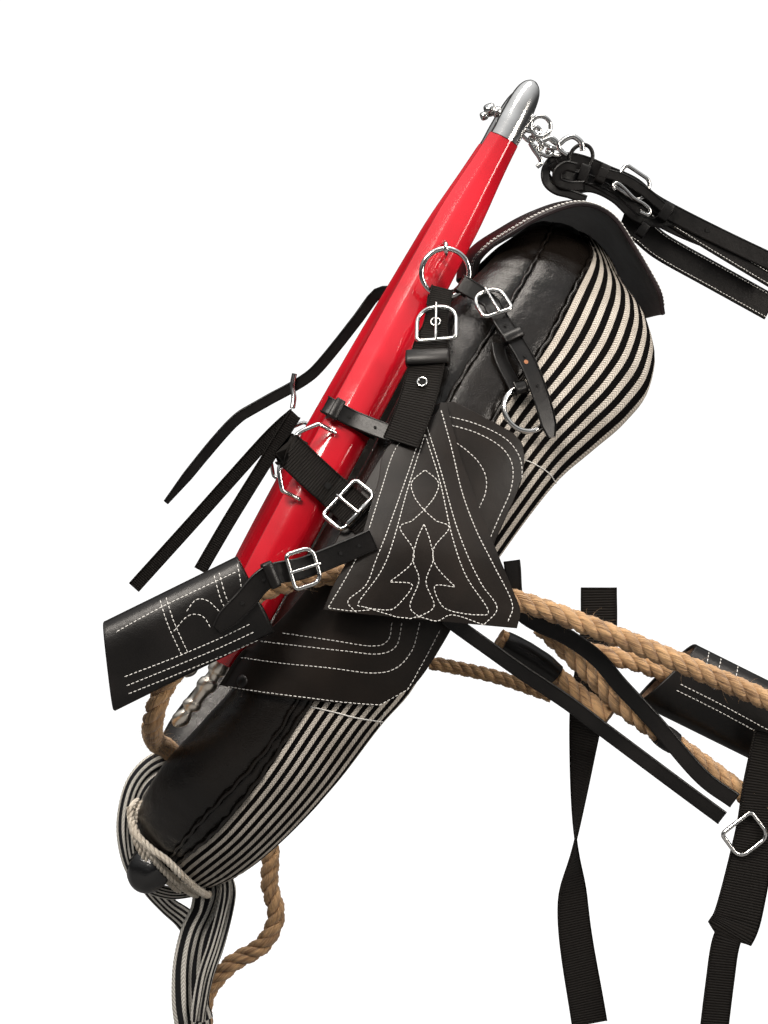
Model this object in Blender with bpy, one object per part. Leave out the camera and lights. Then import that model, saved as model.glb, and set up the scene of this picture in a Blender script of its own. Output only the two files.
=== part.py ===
"""Driving harness: an open-throated collar with its hames, housings, straps, webbing and rope traces.

The collar leans forward and the horse would face -X. Z is up, Y runs across the horse and the near
side is -Y. The origin is the middle of the neck opening. Places on the collar are given as a share
of the collar's length, down from the hame tops, and a share of its depth, back from the hames.
"""

import math

import bmesh
import bpy
from mathutils import Vector
from mathutils.bvhtree import BVHTree

for thing in list(bpy.data.objects):
    bpy.data.objects.remove(thing, do_unlink=True)

# Driving dimensions, in metres
COLLAR_LENGTH = 0.84
COLLAR_DEPTH = 0.246
COLLAR_SPREAD = 0.378
COLLAR_PADDING = 0.092
COLLAR_LEAN = math.radians(28)
SEAM_GAP = 0.001
SEAT_GAP = 0.0004
LAYER_GAP = 0.0011
COVER_GAP = 0.0015
HAME_WIDTH = 0.048
HAME_THICKNESS = 0.024
HAME_TOP_SPREAD = 0.094
CAP_LENGTH = 0.064
CAP_WIDTH = 0.032
FOOT_LENGTH = 0.078
FOOT_RADIUS = 0.0092
LEATHER = 0.0038
STRAP_LEATHER = 0.003
WEBBING = 0.003
WEBBING_WIDTH = 0.0365
RING_ROD = 0.0026
HAME_RING_RADIUS = 0.0238
HAME_RING_STAND = 0.0355
DROP_RING_RADIUS = 0.0222
ROPE_RADIUS = 0.0105
THIN_ROPE_RADIUS = 0.0075
BUCKLE_ROD = 0.0021
TONGUE_ROD = 0.0014

# The collar's egg-shaped centre line, seen along the neck
TOP_SHARE = 0.083
THROAT_SHARE = 0.9655
EGG_SHARE = 0.25
NECK_DOWN_SHARE = 0.5
NECK_BACK_SHARE = 0.488
END_TURN = math.radians(173)


def finish(name, colour, roughness, metallic=0.0):
    """A plain material in the piece's own colour."""
    made = bpy.data.materials.new(name)
    made.use_nodes = True
    shader = made.node_tree.nodes["Principled BSDF"]
    shader.inputs["Base Color"].default_value = (*colour, 1.0)
    shader.inputs["Roughness"].default_value = roughness
    shader.inputs["Metallic"].default_value = metallic
    made.diffuse_color = (*colour, 1.0)
    return made


def read_shares(table, at):
    """The value that a table of (place, value) pairs gives at a place, eased between its rows."""
    if at <= table[0][0]:
        return table[0][1]
    for (a, low), (b, high) in zip(table, table[1:]):
        if at <= b:
            return low + (high - low) * (at - a) / (b - a)
    return table[-1][1]


def ease(x):
    x = min(1.0, max(0.0, x))
    return x * x * (3 - 2 * x)


def unit(vector):
    return vector.normalized()


# The collar's own frame
DOWN = Vector((-math.sin(COLLAR_LEAN), 0, -math.cos(COLLAR_LEAN)))
BACK = Vector((math.cos(COLLAR_LEAN), 0, -math.sin(COLLAR_LEAN)))
OUT = Vector((0, -1, 0))
HALF_RUN = (THROAT_SHARE - TOP_SHARE) * COLLAR_LENGTH / 2
MIDDLE_RUN = (THROAT_SHARE + TOP_SHARE) * COLLAR_LENGTH / 2
HALF_SPREAD = COLLAR_SPREAD / 2
HALF_PADDING = COLLAR_PADDING / 2


def place(down, back, out):
    """A point from distances down the collar, back from the hames and out from the middle, near side."""
    return (
        DOWN * (down - NECK_DOWN_SHARE * COLLAR_LENGTH)
        + BACK * (back - NECK_BACK_SHARE * COLLAR_DEPTH)
        + OUT * out
    )


def spot(across, out, up):
    """A point from shares of the collar's length: along X, out to the near side and up."""
    return Vector((across, -out, up)) * COLLAR_LENGTH


def from_place(start, row, size):
    """A place from another one, by shares of a size: along X, out to the near side and up."""
    return start + Vector((row[0], -row[1], row[2])) * size


def egg_out(down, grow):
    """How far out the collar's outline is at a height, when it is grown all round."""
    turn = min(0.9995, max(-0.9995, (MIDDLE_RUN - down) / (HALF_RUN + grow)))
    return (HALF_SPREAD + grow) * math.sqrt(1 - turn * turn) * (1 - EGG_SHARE * turn)


# Where the collar's edges and seams run: share of its length, share of the hame's width or its depth
FRONT_SHARES = ((0.083, 1.45), (0.11, 1.2), (0.15, 0.98), (0.185, 0.78), (0.24, 0.58), (0.42, 0.56),
                (0.51, 0.42), (0.56, 0.398), (0.60, 0.385), (0.667, 0.36), (0.72, 0.3), (0.774, 0.1),
                (0.867, -0.2), (0.94, -0.06), (0.965, 0.2))
SEAM_SHARES = ((0.083, 0.385), (0.168, 0.354), (0.36, 0.276), (0.692, 0.285), (0.87, 0.18), (0.965, 0.16))
TICK_SHARES = ((0.083, 0.50), (0.112, 0.573), (0.157, 0.557), (0.221, 0.541), (0.313, 0.48),
               (0.694, 0.325), (0.761, 0.305), (0.842, 0.264), (0.91, 0.21), (0.965, 0.20))
BACK_SHARES = ((0.083, 0.74), (0.095, 0.77), (0.11, 0.83), (0.13, 0.95), (0.157, 1.01), (0.22, 1.02),
               (0.269, 0.935), (0.333, 0.83), (0.389, 0.80), (0.45, 0.752), (0.558, 0.695), (0.624, 0.683), (0.675, 0.642),
               (0.758, 0.60), (0.879, 0.512), (0.965, 0.425))
PADDING_SHARES = ((0.083, 0.92), (0.15, 1.0), (0.75, 1.0), (0.87, 0.86), (0.965, 0.62))
SECTION_POWER = 2.2


def edges(down):
    """The front, seam, ticking and back edges of the collar at a height, as distances back."""
    share = down / COLLAR_LENGTH
    return (
        read_shares(FRONT_SHARES, share) * HAME_WIDTH,
        read_shares(SEAM_SHARES, share) * COLLAR_DEPTH,
        read_shares(TICK_SHARES, share) * COLLAR_DEPTH,
        read_shares(BACK_SHARES, share) * COLLAR_DEPTH,
    )


def swell(share):
    """The half thickness of the padding, as a share of the greatest, across its depth."""
    return max(0.0, 1 - abs(2 * share - 1) ** SECTION_POWER) ** (1 / SECTION_POWER)


COVER_REACH_SHARE = 1.12
COVER_POWER = 0.6


def cover_grow(down, back):
    """How far out of the centre line a smooth cover over hame and padding lies at a place."""
    front, _, _, rear = edges(down)
    over = abs(2 * (back - front) / (rear - front) - 1) / COVER_REACH_SHARE
    rise = math.cos(math.pi / 2 * min(1.0, over)) ** COVER_POWER if over < 1 else 0.0
    floor = HAME_THICKNESS / 2 + COVER_GAP
    return floor + (HALF_PADDING + COVER_GAP - floor) * rise


def on_cover(down, back, lift):
    """The point that lies a lift above the cover, near side."""
    return place(down, back, egg_out(down, cover_grow(down, back) + lift))


def laid(down_share, back_share, lift):
    """The same point from shares of the collar's length and depth."""
    return on_cover(down_share * COLLAR_LENGTH, back_share * COLLAR_DEPTH, lift)


# Mesh makers
def solid(name, points, faces, material, sharp=40):
    """An object from points and faces, closed and facing out."""
    mesh = bpy.data.meshes.new(name)
    mesh.from_pydata([tuple(p) for p in points], [], faces)
    work = bmesh.new()
    work.from_mesh(mesh)
    bmesh.ops.recalc_face_normals(work, faces=work.faces)
    work.to_mesh(mesh)
    work.free()
    mesh.materials.append(material)
    mesh.shade_smooth()
    mesh.set_sharp_from_angle(angle=math.radians(sharp))
    made = bpy.data.objects.new(name, mesh)
    bpy.context.scene.collection.objects.link(made)
    return made


def loft(name, rings, material, closed=False, sharp=40, split=False):
    """A solid through rings of equally many points, capped at both ends or closed on itself. A split
    one is cut into triangles, the last strip along its other diagonal."""
    count = len(rings[0])
    points = [p for ring in rings for p in ring]
    faces = []
    last = len(rings) if closed else len(rings) - 1
    for i in range(last):
        a, b = i * count, (i + 1) % len(rings) * count
        for j in range(count):
            k = (j + 1) % count
            if not split:
                faces.append((a + j, a + k, b + k, b + j))
            elif k:
                faces += [(a + j, a + k, b + k), (a + j, b + k, b + j)]
            else:
                faces += [(a + j, a + k, b + j), (a + k, b + k, b + j)]
    if not closed:
        faces.append(tuple(range(count)))
        faces.append(tuple(range(len(points) - count, len(points))))
    return solid(name, points, faces, material, sharp)


def smooth_route(points, steps):
    """Points on a smooth curve through the route's own points."""
    ends = [points[0] * 2 - points[1], *points, points[-1] * 2 - points[-2]]
    curve = []
    for i in range(1, len(ends) - 2):
        before, a, b, after = ends[i - 1:i + 3]
        for j in range(steps):
            t = j / steps
            curve.append(
                (a * 2 + (b - before) * t + (before * 2 - a * 5 + b * 4 - after) * t * t
                 + (a * 3 - before - b * 3 + after) * t * t * t) / 2
            )
    curve.append(points[-1].copy())
    return curve


def directions(points, closed=False):
    """The direction of a route at each of its points."""
    count = len(points)
    found = []
    for i in range(count):
        before = points[(i - 1) % count] if closed or i else points[0]
        after = points[(i + 1) % count] if closed or i < count - 1 else points[-1]
        found.append(unit(after - before))
    return found


def ribbon(name, centres, acrosses, width, thickness, material, widths=None):
    """A strap: a flat section swept along its centres, with its edges eased."""
    edge = thickness * 0.3
    rings = []
    for i, (centre, along, across) in enumerate(zip(centres, directions(centres), acrosses)):
        across = unit(across - along * across.dot(along))
        face = across.cross(along)
        half = (widths[i] if widths else width) / 2
        thick = thickness / 2
        section = (
            (-half, -thick + edge), (-half + edge, -thick), (half - edge, -thick), (half, -thick + edge),
            (half, thick - edge), (half - edge, thick), (-half + edge, thick), (-half, thick - edge),
        )
        rings.append([centre + across * x + face * y for x, y in section])
    return loft(name, rings, material, sharp=30)


def cover_acrosses(plan, width):
    """The direction across a strap at each (down, back, lift) row of its way over the cover."""
    found = []
    for (down, back, lift), way in zip(plan, directions(plan)):
        side = unit(Vector((way.y, -way.x, 0))) * width / 2
        found.append(unit(on_cover(down + side.x, back + side.y, lift)
                          - on_cover(down - side.x, back - side.y, lift)))
    return found


def rod(name, points, radius, material, sides=8, closed=False, radii=None):
    """A round rod along points, capped or closed on itself."""
    ways = directions(points, closed)
    facing = unit(ways[0].orthogonal())
    rings = []
    for i, (point, way) in enumerate(zip(points, ways)):
        facing = unit(facing - way * facing.dot(way))
        other = way.cross(facing)
        size = radii[i] if radii else radius
        turns = [2 * math.pi * (j + 0.5) / sides for j in range(sides)]
        rings.append([point + (facing * math.cos(t) + other * math.sin(t)) * size for t in turns])
    return loft(name, rings, material, closed, sharp=60)


def ring(name, centre, normal, radius, rod_radius, material, count=24, sides=8):
    """A round ring."""
    side = unit(normal.orthogonal())
    other = unit(normal).cross(side)
    turns = [2 * math.pi * i / count for i in range(count)]
    points = [centre + (side * math.cos(t) + other * math.sin(t)) * radius for t in turns]
    rings = []
    for point in points:
        way = unit(point - centre)
        spins = [2 * math.pi * j / sides for j in range(sides)]
        rings.append([point + (way * math.cos(s) + unit(normal) * math.sin(s)) * rod_radius for s in spins])
    made = loft(name, rings, material, closed=True, sharp=60)
    return set_pivot(made, centre)


def set_pivot(made, pivot):
    """Puts an object's origin on its joint without moving its shape."""
    for vertex in made.data.vertices:
        vertex.co -= pivot
    made.location = pivot
    return made


CORNER_STEPS = 3
BUCKLE_CORNER = 0.006


def rounded_frame(centre, across, along, width, length, bend, arch):
    """Points round a frame, with its own bend at the bar it starts from and an arch at its far end."""
    points = []
    for quarter, (x, y) in enumerate(((1, -1), (1, 1), (-1, 1), (-1, -1))):
        corner = arch if y > 0 else bend
        middle = centre + across * x * (width / 2 - corner) + along * y * (length / 2 - corner)
        for step in range(CORNER_STEPS + 1):
            turn = math.pi / 2 * (quarter - 1 + step / CORNER_STEPS)
            points.append(middle + (across * math.cos(turn) + along * math.sin(turn)) * corner)
    return points


def buckle(name, centre, across, along, width, length, arch, rod_radius, material):
    """A buckle's wire frame."""
    points = rounded_frame(centre, across, along, width, length, BUCKLE_CORNER, arch)
    return rod(name, points, rod_radius, material, sides=6, closed=True)


TONGUE_DIP_SHARE = 0.5


def tongue(name, pivot, along, face, reach, bar_radius, material):
    """A buckle's pin: it starts on top of its bar and ends over the far bar."""
    stand = bar_radius + TONGUE_ROD + SEAT_GAP
    points = [
        pivot + face * stand - along * TONGUE_ROD,
        pivot + face * stand + along * bar_radius,
        pivot + face * stand + along * reach * 0.5,
        pivot + face * stand + along * reach,
        pivot + face * stand + along * (reach + bar_radius + TONGUE_ROD),
    ]
    radii = [TONGUE_ROD, TONGUE_ROD * 1.1, TONGUE_ROD, TONGUE_ROD, TONGUE_ROD * TONGUE_DIP_SHARE]
    made = rod(name, points, TONGUE_ROD, material, sides=8, radii=radii)
    return set_pivot(made, pivot)


def keeper(name, centre, across, along, face, inner_width, inner_height, length, wall, material):
    """A leather loop round a strap."""
    rings = []
    for end in (-0.5, 0.5):
        for grow in ((0.0, wall) if end < 0 else (wall, 0.0)):
            half = inner_width / 2 + grow
            high = inner_height / 2 + grow
            rings.append([
                centre + along * length * end + across * x * half + face * y * high
                for x, y in ((-1, -1), (1, -1), (1, 1), (-1, 1))
            ])
    return loft(name, rings, material, closed=True, sharp=30)


def laid_panel(name, corner, axis, rows, size, columns, steps, lift_at, thickness, material):
    """A leather sheet on the collar's cover. Its rows give the two ends of a line across it, as
    (along, across) twice, in shares of its size from its top corner."""
    left = smooth_route([Vector((row[0], row[1], 0)) for row in rows], steps)
    right = smooth_route([Vector((row[2], row[3], 0)) for row in rows], steps)
    top_down = corner[0] * COLLAR_LENGTH
    top_back = corner[1] * COLLAR_DEPTH
    points = []
    for extra in (0.0, thickness):
        for a, b in zip(left, right):
            for k in range(columns + 1):
                along, across, _ = a.lerp(b, k / columns) * size
                down = top_down + along * axis[0] - across * axis[1]
                back = top_back + along * axis[1] + across * axis[0]
                points.append(on_cover(down, back, lift_at(down, back) + extra))
    wide = columns + 1
    layer = wide * len(left)
    faces = []
    for i in range(len(left) - 1):
        for k in range(columns):
            a = i * wide + k
            quad = (a, a + 1, a + wide + 1, a + wide)
            faces += [quad, tuple(q + layer for q in quad[::-1])]
    last = layer - wide
    rim = [(k, k + 1) for k in range(columns)] + [(last + k + 1, last + k) for k in range(columns)]
    for i in range(len(left) - 1):
        rim += [((i + 1) * wide, i * wide), (i * wide + columns, (i + 1) * wide + columns)]
    faces += [(a, b, b + layer, a + layer) for a, b in rim]
    return solid(name, points, faces, material, sharp=30)


def cord(name, route, radius, material, sides=2):
    """A rope: a round tube along a smooth curve through the route's points."""
    curve = bpy.data.curves.new(name, "CURVE")
    curve.dimensions = "3D"
    curve.bevel_depth = radius
    curve.bevel_resolution = sides
    curve.use_fill_caps = True
    curve.resolution_u = 1
    points = even_route(smooth_route([Vector(p) for p in route], 12), radius * 4)
    spline = curve.splines.new("POLY")
    spline.points.add(len(points) - 1)
    for held, point in zip(spline.points, points):
        held.co = (*point, 1)
    curve.materials.append(material)
    made = bpy.data.objects.new(name, curve)
    bpy.context.scene.collection.objects.link(made)
    return made


def even_route(points, step):
    """The same route with points about one step apart."""
    total = sum((b - a).length for a, b in zip(points, points[1:]))
    count = max(2, round(total / step))
    spaced = [points[0]]
    gone = 0.0
    for a, b in zip(points, points[1:]):
        run = (b - a).length
        while len(spaced) < count and gone + run >= total * len(spaced) / count:
            spaced.append(a + (b - a) * ((total * len(spaced) / count - gone) / run))
        gone += run
    spaced.append(points[-1])
    return spaced


def mirrored(made, name):
    """A copy of an object for the far side."""
    mesh = made.data.copy()
    for vertex in mesh.vertices:
        vertex.co.y = -vertex.co.y
    mesh.flip_normals()
    copy = bpy.data.objects.new(name, mesh)
    copy.location = (made.location.x, -made.location.y, made.location.z)
    bpy.context.scene.collection.objects.link(copy)
    return copy


# Finishes
LEATHER_BLACK = finish("bridle_leather", (0.018, 0.017, 0.017), 0.38)
COLLAR_LEATHER = finish("collar_leather", (0.02, 0.018, 0.017), 0.34)
TICKING = finish("ticking", (0.36, 0.35, 0.31), 0.9)
CAP_LEATHER = finish("cap_leather", (0.02, 0.015, 0.016), 0.4)
HAME_RED = finish("hame_red", (0.62, 0.008, 0.012), 0.12)
CHROME = finish("chrome", (0.8, 0.8, 0.79), 0.12, 1.0)
NYLON = finish("nylon_webbing", (0.012, 0.012, 0.013), 0.6)
JUTE = finish("jute_rope", (0.5, 0.32, 0.17), 0.92)
COTTON = finish("cotton_cord", (0.72, 0.66, 0.55), 0.9)


# Collar
TURNS = 40
ROLL_STEPS = 6
WALE_STEPS = 3
BODY_STEPS = 7
INNER_SHARE = 0.82
END_CLOSE_SHARES = ((0.0, 0.42), (0.25, 0.74), (0.7, 0.95), (1.0, 1.0))
END_ROUND = 0.034
ROLL_END_DROP = 0.013
ROLL_END_TURN = math.radians(9)


def collar_slab(name, from_edge, to_edge, steps, material):
    """One part of the collar's padding, between two of its edges, from throat end to throat end."""
    rings = []
    turns = [END_TURN * (2 * i / TURNS - 1) for i in range(TURNS + 1)]
    round_turn = END_ROUND / HALF_SPREAD
    for end in (END_TURN - round_turn * 0.25, END_TURN - round_turn * 0.6):
        turns += [end, -end]
    turns.sort()
    for turn in turns:
        down = MIDDLE_RUN - HALF_RUN * math.cos(turn)
        marks = edges(down)
        front, rear = marks[0], marks[3]
        start = marks[from_edge] + (SEAM_GAP / 2 if from_edge else 0)
        stop = marks[to_edge] - (SEAM_GAP / 2 if to_edge < 3 else 0)
        close = read_shares(END_CLOSE_SHARES, (END_TURN - abs(turn)) / round_turn)
        padding = HALF_PADDING * read_shares(PADDING_SHARES, down / COLLAR_LENGTH)
        droop = 0.0 if from_edge else ROLL_END_DROP * ease(1 - (END_TURN - abs(turn)) / ROLL_END_TURN)
        outer = []
        inner = []
        for i in range(steps + 1):
            bend = 0.5 - 0.5 * math.cos(math.pi * i / steps) if from_edge == 0 or to_edge == 3 else i / steps
            back = start + (stop - start) * bend
            thick = padding * swell((back - front) / (rear - front))
            back = (front + rear) / 2 + (back - (front + rear) / 2) * (0.35 + 0.65 * close)
            outer.append((back, thick * close))
            inner.append((back, -thick * INNER_SHARE * close))
        if outer[0][1] - inner[0][1] < SEAM_GAP:
            inner = inner[1:]
        if outer[-1][1] - inner[-1][1] < SEAM_GAP:
            inner = inner[:-1]
        section = []
        for back, grow in outer + inner[::-1]:
            level = MIDDLE_RUN - (HALF_RUN + grow) * math.cos(turn)
            wide = (HALF_SPREAD + grow) * math.sin(turn) * (1 - EGG_SHARE * math.cos(turn))
            section.append(place(level + droop, back, wide))
        rings.append(section)
    return loft(name, rings, material, sharp=50, split=True)


collar_slab("collar_front_roll", 0, 1, ROLL_STEPS, COLLAR_LEATHER)
collar_slab("collar_leather_wale", 1, 2, WALE_STEPS, COLLAR_LEATHER)
collar_slab("collar_ticking_body", 2, 3, BODY_STEPS, TICKING)

# Collar cap: a stiff leather roof over the top of the collar, seen as an arch from the side
CAP_SPREAD = 0.19
CAP_DROOP = 0.010
CAP_LEATHER_THICKNESS = 0.0045
CAP_ARCH_SHARES = ((0.069, 0.347), (0.074, 0.372), (0.092, 0.392), (0.118, 0.409), (0.150, 0.427),
                   (0.186, 0.441), (0.212, 0.444), (0.238, 0.437), (0.261, 0.420), (0.2815, 0.390),
                   (0.300, 0.361), (0.317, 0.332), (0.327, 0.303))
CAP_WIDTH_SHARES = ((0, 0.62), (2, 0.9), (4, 1.0), (9, 1.0), (11, 0.95), (12, 0.8))
CAP_ACROSS = 6


def make_cap():
    line = [spot(x, 0, z) for x, z in CAP_ARCH_SHARES]
    rings = []
    for i, (point, way) in enumerate(zip(line, directions(line))):
        up = Vector((0, 1, 0)).cross(way) * -1
        half = CAP_SPREAD / 2 * read_shares(CAP_WIDTH_SHARES, i)
        section = []
        for skin, order in ((0.0, 1), (CAP_LEATHER_THICKNESS, -1)):
            for j in range(CAP_ACROSS + 1):
                share = (2 * j / CAP_ACROSS - 1) * order
                drop = CAP_DROOP * share * share
                section.append(point + Vector((0, share * half, 0)) - up * (drop + skin))
        rings.append(section)
    return loft("collar_cap", rings, CAP_LEATHER, sharp=40)


make_cap()

# Hames
HAME_TOP_SHARE = -0.011
HAME_FOOT_SHARE = 0.70
HAME_JOIN_SHARE = 0.238
HAME_TOP_SLOPE = 0.25
HAME_WIDTH_SHARES = ((-0.02, 0.66), (0.02, 0.74), (0.12, 0.96), (0.36, 1.0), (0.55, 0.98), (0.70, 0.9))
HAME_BACK_SHARES = ((-0.02, 0.14), (0.0, 0.12), (0.21, 0.0), (0.34, -0.06), (0.51, -0.12), (0.70, -0.14),
                    (0.80, -0.36))
HAME_SECTION_SHARES = ((-1, -0.45), (-0.72, -1), (0.72, -1), (1, -0.45), (1, 0.3), (0.42, 1), (-0.42, 1),
                       (-1, 0.3))
HAME_STEPS = 16


def hame_out(down):
    """How far out the middle of a hame lies: on the collar's outline, and straighter at its top."""
    join = HAME_JOIN_SHARE * COLLAR_LENGTH
    if down >= join:
        return egg_out(down, 0)
    top = HAME_TOP_SPREAD / 2
    if down <= 0:
        return top + HAME_TOP_SLOPE * down
    nudge = join / 200
    slope = (egg_out(join + nudge, 0) - egg_out(join - nudge, 0)) / (2 * nudge)
    t = down / join
    return (
        (2 * t ** 3 - 3 * t ** 2 + 1) * top + (t ** 3 - 2 * t ** 2 + t) * join * HAME_TOP_SLOPE
        + (3 * t ** 2 - 2 * t ** 3) * egg_out(join, 0) + (t ** 3 - t ** 2) * join * slope
    )


def hame_middle(down):
    return read_shares(HAME_BACK_SHARES, down / COLLAR_LENGTH) * HAME_WIDTH


def hame_point(down, back=0.0, out=0.0):
    """A point by its distances from the middle of the near hame."""
    return place(down, hame_middle(down) + back, hame_out(down) + out)


def make_hame():
    rings = []
    for i in range(HAME_STEPS + 1):
        share = HAME_TOP_SHARE + (HAME_FOOT_SHARE - HAME_TOP_SHARE) * i / HAME_STEPS
        down = share * COLLAR_LENGTH
        half = HAME_WIDTH / 2 * read_shares(HAME_WIDTH_SHARES, share)
        rings.append([hame_point(down, x * half, y * HAME_THICKNESS / 2) for x, y in HAME_SECTION_SHARES])
    return loft("near_hame", rings, HAME_RED, sharp=25)


mirrored(make_hame(), "far_hame")

# Hame caps, bullet shaped
CAP_PROFILE_SHARES = ((0.0, 0.98), (0.3, 1.0), (0.6, 0.94), (0.8, 0.81), (0.92, 0.58), (0.985, 0.28), (1.0, 0.07))
CAP_SIDES = 14
CAP_FLAT_SHARE = 0.86


def make_hame_cap():
    top = HAME_TOP_SHARE * COLLAR_LENGTH - SEAT_GAP
    rings = []
    for along, size in CAP_PROFILE_SHARES:
        down = top - along * CAP_LENGTH
        section = []
        for j in range(CAP_SIDES):
            turn = 2 * math.pi * j / CAP_SIDES
            wide = CAP_WIDTH / 2 * size * math.cos(turn)
            deep = CAP_WIDTH / 2 * CAP_FLAT_SHARE * size * math.sin(turn)
            section.append(hame_point(down, wide, deep))
        rings.append(section)
    return loft("near_hame_cap", rings, CHROME, sharp=50)


mirrored(make_hame_cap(), "far_hame_cap")

# Hame feet, turned like a bead
FOOT_PROFILE_SHARES = ((0.0, 0.9), (0.06, 1.0), (0.13, 1.0), (0.17, 0.72), (0.24, 0.72), (0.28, 1.0),
                       (0.36, 1.06), (0.43, 0.8), (0.56, 0.72), (0.62, 0.95), (0.68, 0.95), (0.73, 0.55),
                       (0.8, 0.8), (0.88, 0.92), (0.95, 0.7), (1.0, 0.25))
FOOT_SIDES = 12


def make_hame_foot():
    top = HAME_FOOT_SHARE * COLLAR_LENGTH + SEAT_GAP
    rings = []
    for along, size in FOOT_PROFILE_SHARES:
        turns = [2 * math.pi * j / FOOT_SIDES for j in range(FOOT_SIDES)]
        rings.append([
            hame_point(top + along * FOOT_LENGTH, FOOT_RADIUS * size * math.cos(t), FOOT_RADIUS * size * math.sin(t))
            for t in turns
        ])
    return loft("near_hame_foot", rings, CHROME, sharp=60)


mirrored(make_hame_foot(), "far_hame_foot")

# Staples and rings at the hame shoulders
STAPLE_ROD = 0.0022
STAPLE_REACH = 0.0072
RING_SHARE = 0.180
RING_BACK = 0.012
STAPLE_STEPS = 8


RING_CENTRE = place(RING_SHARE * COLLAR_LENGTH, RING_BACK,
                    hame_out(RING_SHARE * COLLAR_LENGTH) + HAME_RING_STAND)
RING_TOP = RING_CENTRE + Vector((0, 0, HAME_RING_RADIUS))


def make_staple():
    """A bent rod whose two feet stand on the hame and whose bow holds the ring's top."""
    hold = RING_TOP
    bow = STAPLE_ROD + RING_ROD + SEAT_GAP
    points = []
    for height in (-1, 1):
        level = (hold + Vector((0, 0, height * STAPLE_REACH))).dot(DOWN) + NECK_DOWN_SHARE * COLLAR_LENGTH
        foot_out = hame_out(level + STAPLE_ROD) + HAME_THICKNESS / 2 + SEAT_GAP
        arm = [Vector((hold.x, -foot_out, hold.z + height * STAPLE_REACH)),
               Vector((hold.x, hold.y + bow, hold.z + height * STAPLE_REACH))]
        arc = [
            hold + Vector((0, -bow * math.sin(t), height * bow * math.cos(t)))
            for t in [math.pi / 2 * k / STAPLE_STEPS for k in range(1, STAPLE_STEPS, 2)]
        ]
        points += arm + arc if height < 0 else (arm + arc)[::-1]
    return rod("near_staple", points, STAPLE_ROD, CHROME)


mirrored(make_staple(), "far_staple")
NEAR_RING = ring("near_hame_ring", RING_CENTRE, Vector((0, 1, 0)), HAME_RING_RADIUS, RING_ROD, CHROME)
mirrored(NEAR_RING, "far_hame_ring")

# Hame links: a bent rod that hooks on the hame's front edge and holds the draught webbing
LINK_ROD = 0.0023
LINK_STAND = 0.0082
LINK_REACH = 0.0165
LINK_TOP_SHARE = 0.408
LINK_LOW_SHARE = 0.494
LINK_BAR_SHARES = (0.428, 0.474)


def make_link():
    top = LINK_TOP_SHARE * COLLAR_LENGTH
    low = LINK_LOW_SHARE * COLLAR_LENGTH
    bar_top, bar_low = (share * COLLAR_LENGTH for share in LINK_BAR_SHARES)
    half = HAME_WIDTH / 2
    seat = HAME_THICKNESS / 2 + LINK_ROD + SEAT_GAP
    stand = seat + LINK_STAND
    route = [
        hame_point(top, -half * 0.35, seat), hame_point(top, -half * 0.6, seat + LINK_STAND * 0.2),
        hame_point(top, -half - LINK_REACH * 0.2, stand), hame_point(bar_top, -half - LINK_REACH, stand),
        hame_point(bar_low, -half - LINK_REACH, stand), hame_point(low, -half - LINK_REACH * 0.2, stand),
        hame_point(low, -half * 0.6, seat + LINK_STAND * 0.2), hame_point(low, -half * 0.35, seat),
    ]
    return rod("near_hame_link", route, LINK_ROD, CHROME)


mirrored(make_link(), "far_hame_link")

# Housings: shaped leather pads on the collar's sides
HOUSING_LENGTH = 0.35
HOUSING_TOP_SHARES = (0.312, 0.30)
HOUSING_AXIS_SHARES = (1, 0)
HOUSING_ROWS_SHARES = (
    (0.0, 0.0, 0.0, 0.183), (0.037, -0.046, 0.023, 0.228), (0.103, -0.086, 0.103, 0.263),
    (0.237, -0.111, 0.237, 0.271), (0.394, -0.117, 0.366, 0.274), (0.551, -0.117, 0.509, 0.277),
    (0.694, -0.137, 0.637, 0.271), (0.809, -0.171, 0.729, 0.257), (0.883, -0.200, 0.777, 0.226),
    (0.986, -0.209, 0.826, 0.194),
)
PANEL_COLUMNS = 7
PANEL_STEPS = 2


def flat_lift(down, back):
    """The housing lies straight on the cover."""
    return 0.0


HOUSING = laid_panel("near_housing", HOUSING_TOP_SHARES, HOUSING_AXIS_SHARES, HOUSING_ROWS_SHARES,
                     HOUSING_LENGTH, PANEL_COLUMNS, PANEL_STEPS, flat_lift, LEATHER, LEATHER_BLACK)
mirrored(HOUSING, "far_housing")

HOUSING_TOP = LEATHER
DRAUGHT_LIFT = HOUSING_TOP + LAYER_GAP
APRON_LIFT = DRAUGHT_LIFT + WEBBING + LAYER_GAP

# Apron: the stitched leather flap over the housing, lifted where the trace runs under it
APRON_HEIGHT = 0.205
APRON_TOP_SHARES = (0.320, 0.26)
APRON_AXIS_SHARES = (0.9388, 0.3445)
APRON_ROWS_SHARES = (
    (0.0, -0.012, 0.0, 0.016), (0.068, -0.040, 0.068, 0.041), (0.242, -0.234, 0.242, 0.107),
    (0.394, -0.259, 0.394, 0.182), (0.512, -0.285, 0.512, 0.240), (0.668, -0.319, 0.668, 0.322),
    (0.805, -0.378, 0.805, 0.400), (0.900, -0.417, 0.890, 0.444), (1.0, -0.443, 0.973, 0.439),
)
APRON_RISE_SHARES = (0.26, 0.70)


def apron_lift(down, back):
    """The flap's lift: close to the housing at its top and over the rope further down."""
    from_top = (down - APRON_TOP_SHARES[0] * COLLAR_LENGTH, back - APRON_TOP_SHARES[1] * COLLAR_DEPTH)
    along = (from_top[0] * APRON_AXIS_SHARES[0] + from_top[1] * APRON_AXIS_SHARES[1]) / APRON_HEIGHT
    start, stop = APRON_RISE_SHARES
    front, _, _, rear = edges(down)
    behind = ease((2 * back - front - rear) / (rear - front) * 4)
    rise = HOUSING_TOP + 2 * ROPE_RADIUS + 5 * LAYER_GAP - APRON_LIFT
    rise += behind * (HALF_PADDING + COVER_GAP - cover_grow(down, back))
    return APRON_LIFT + rise * ease((along - start) / (stop - start))


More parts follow.
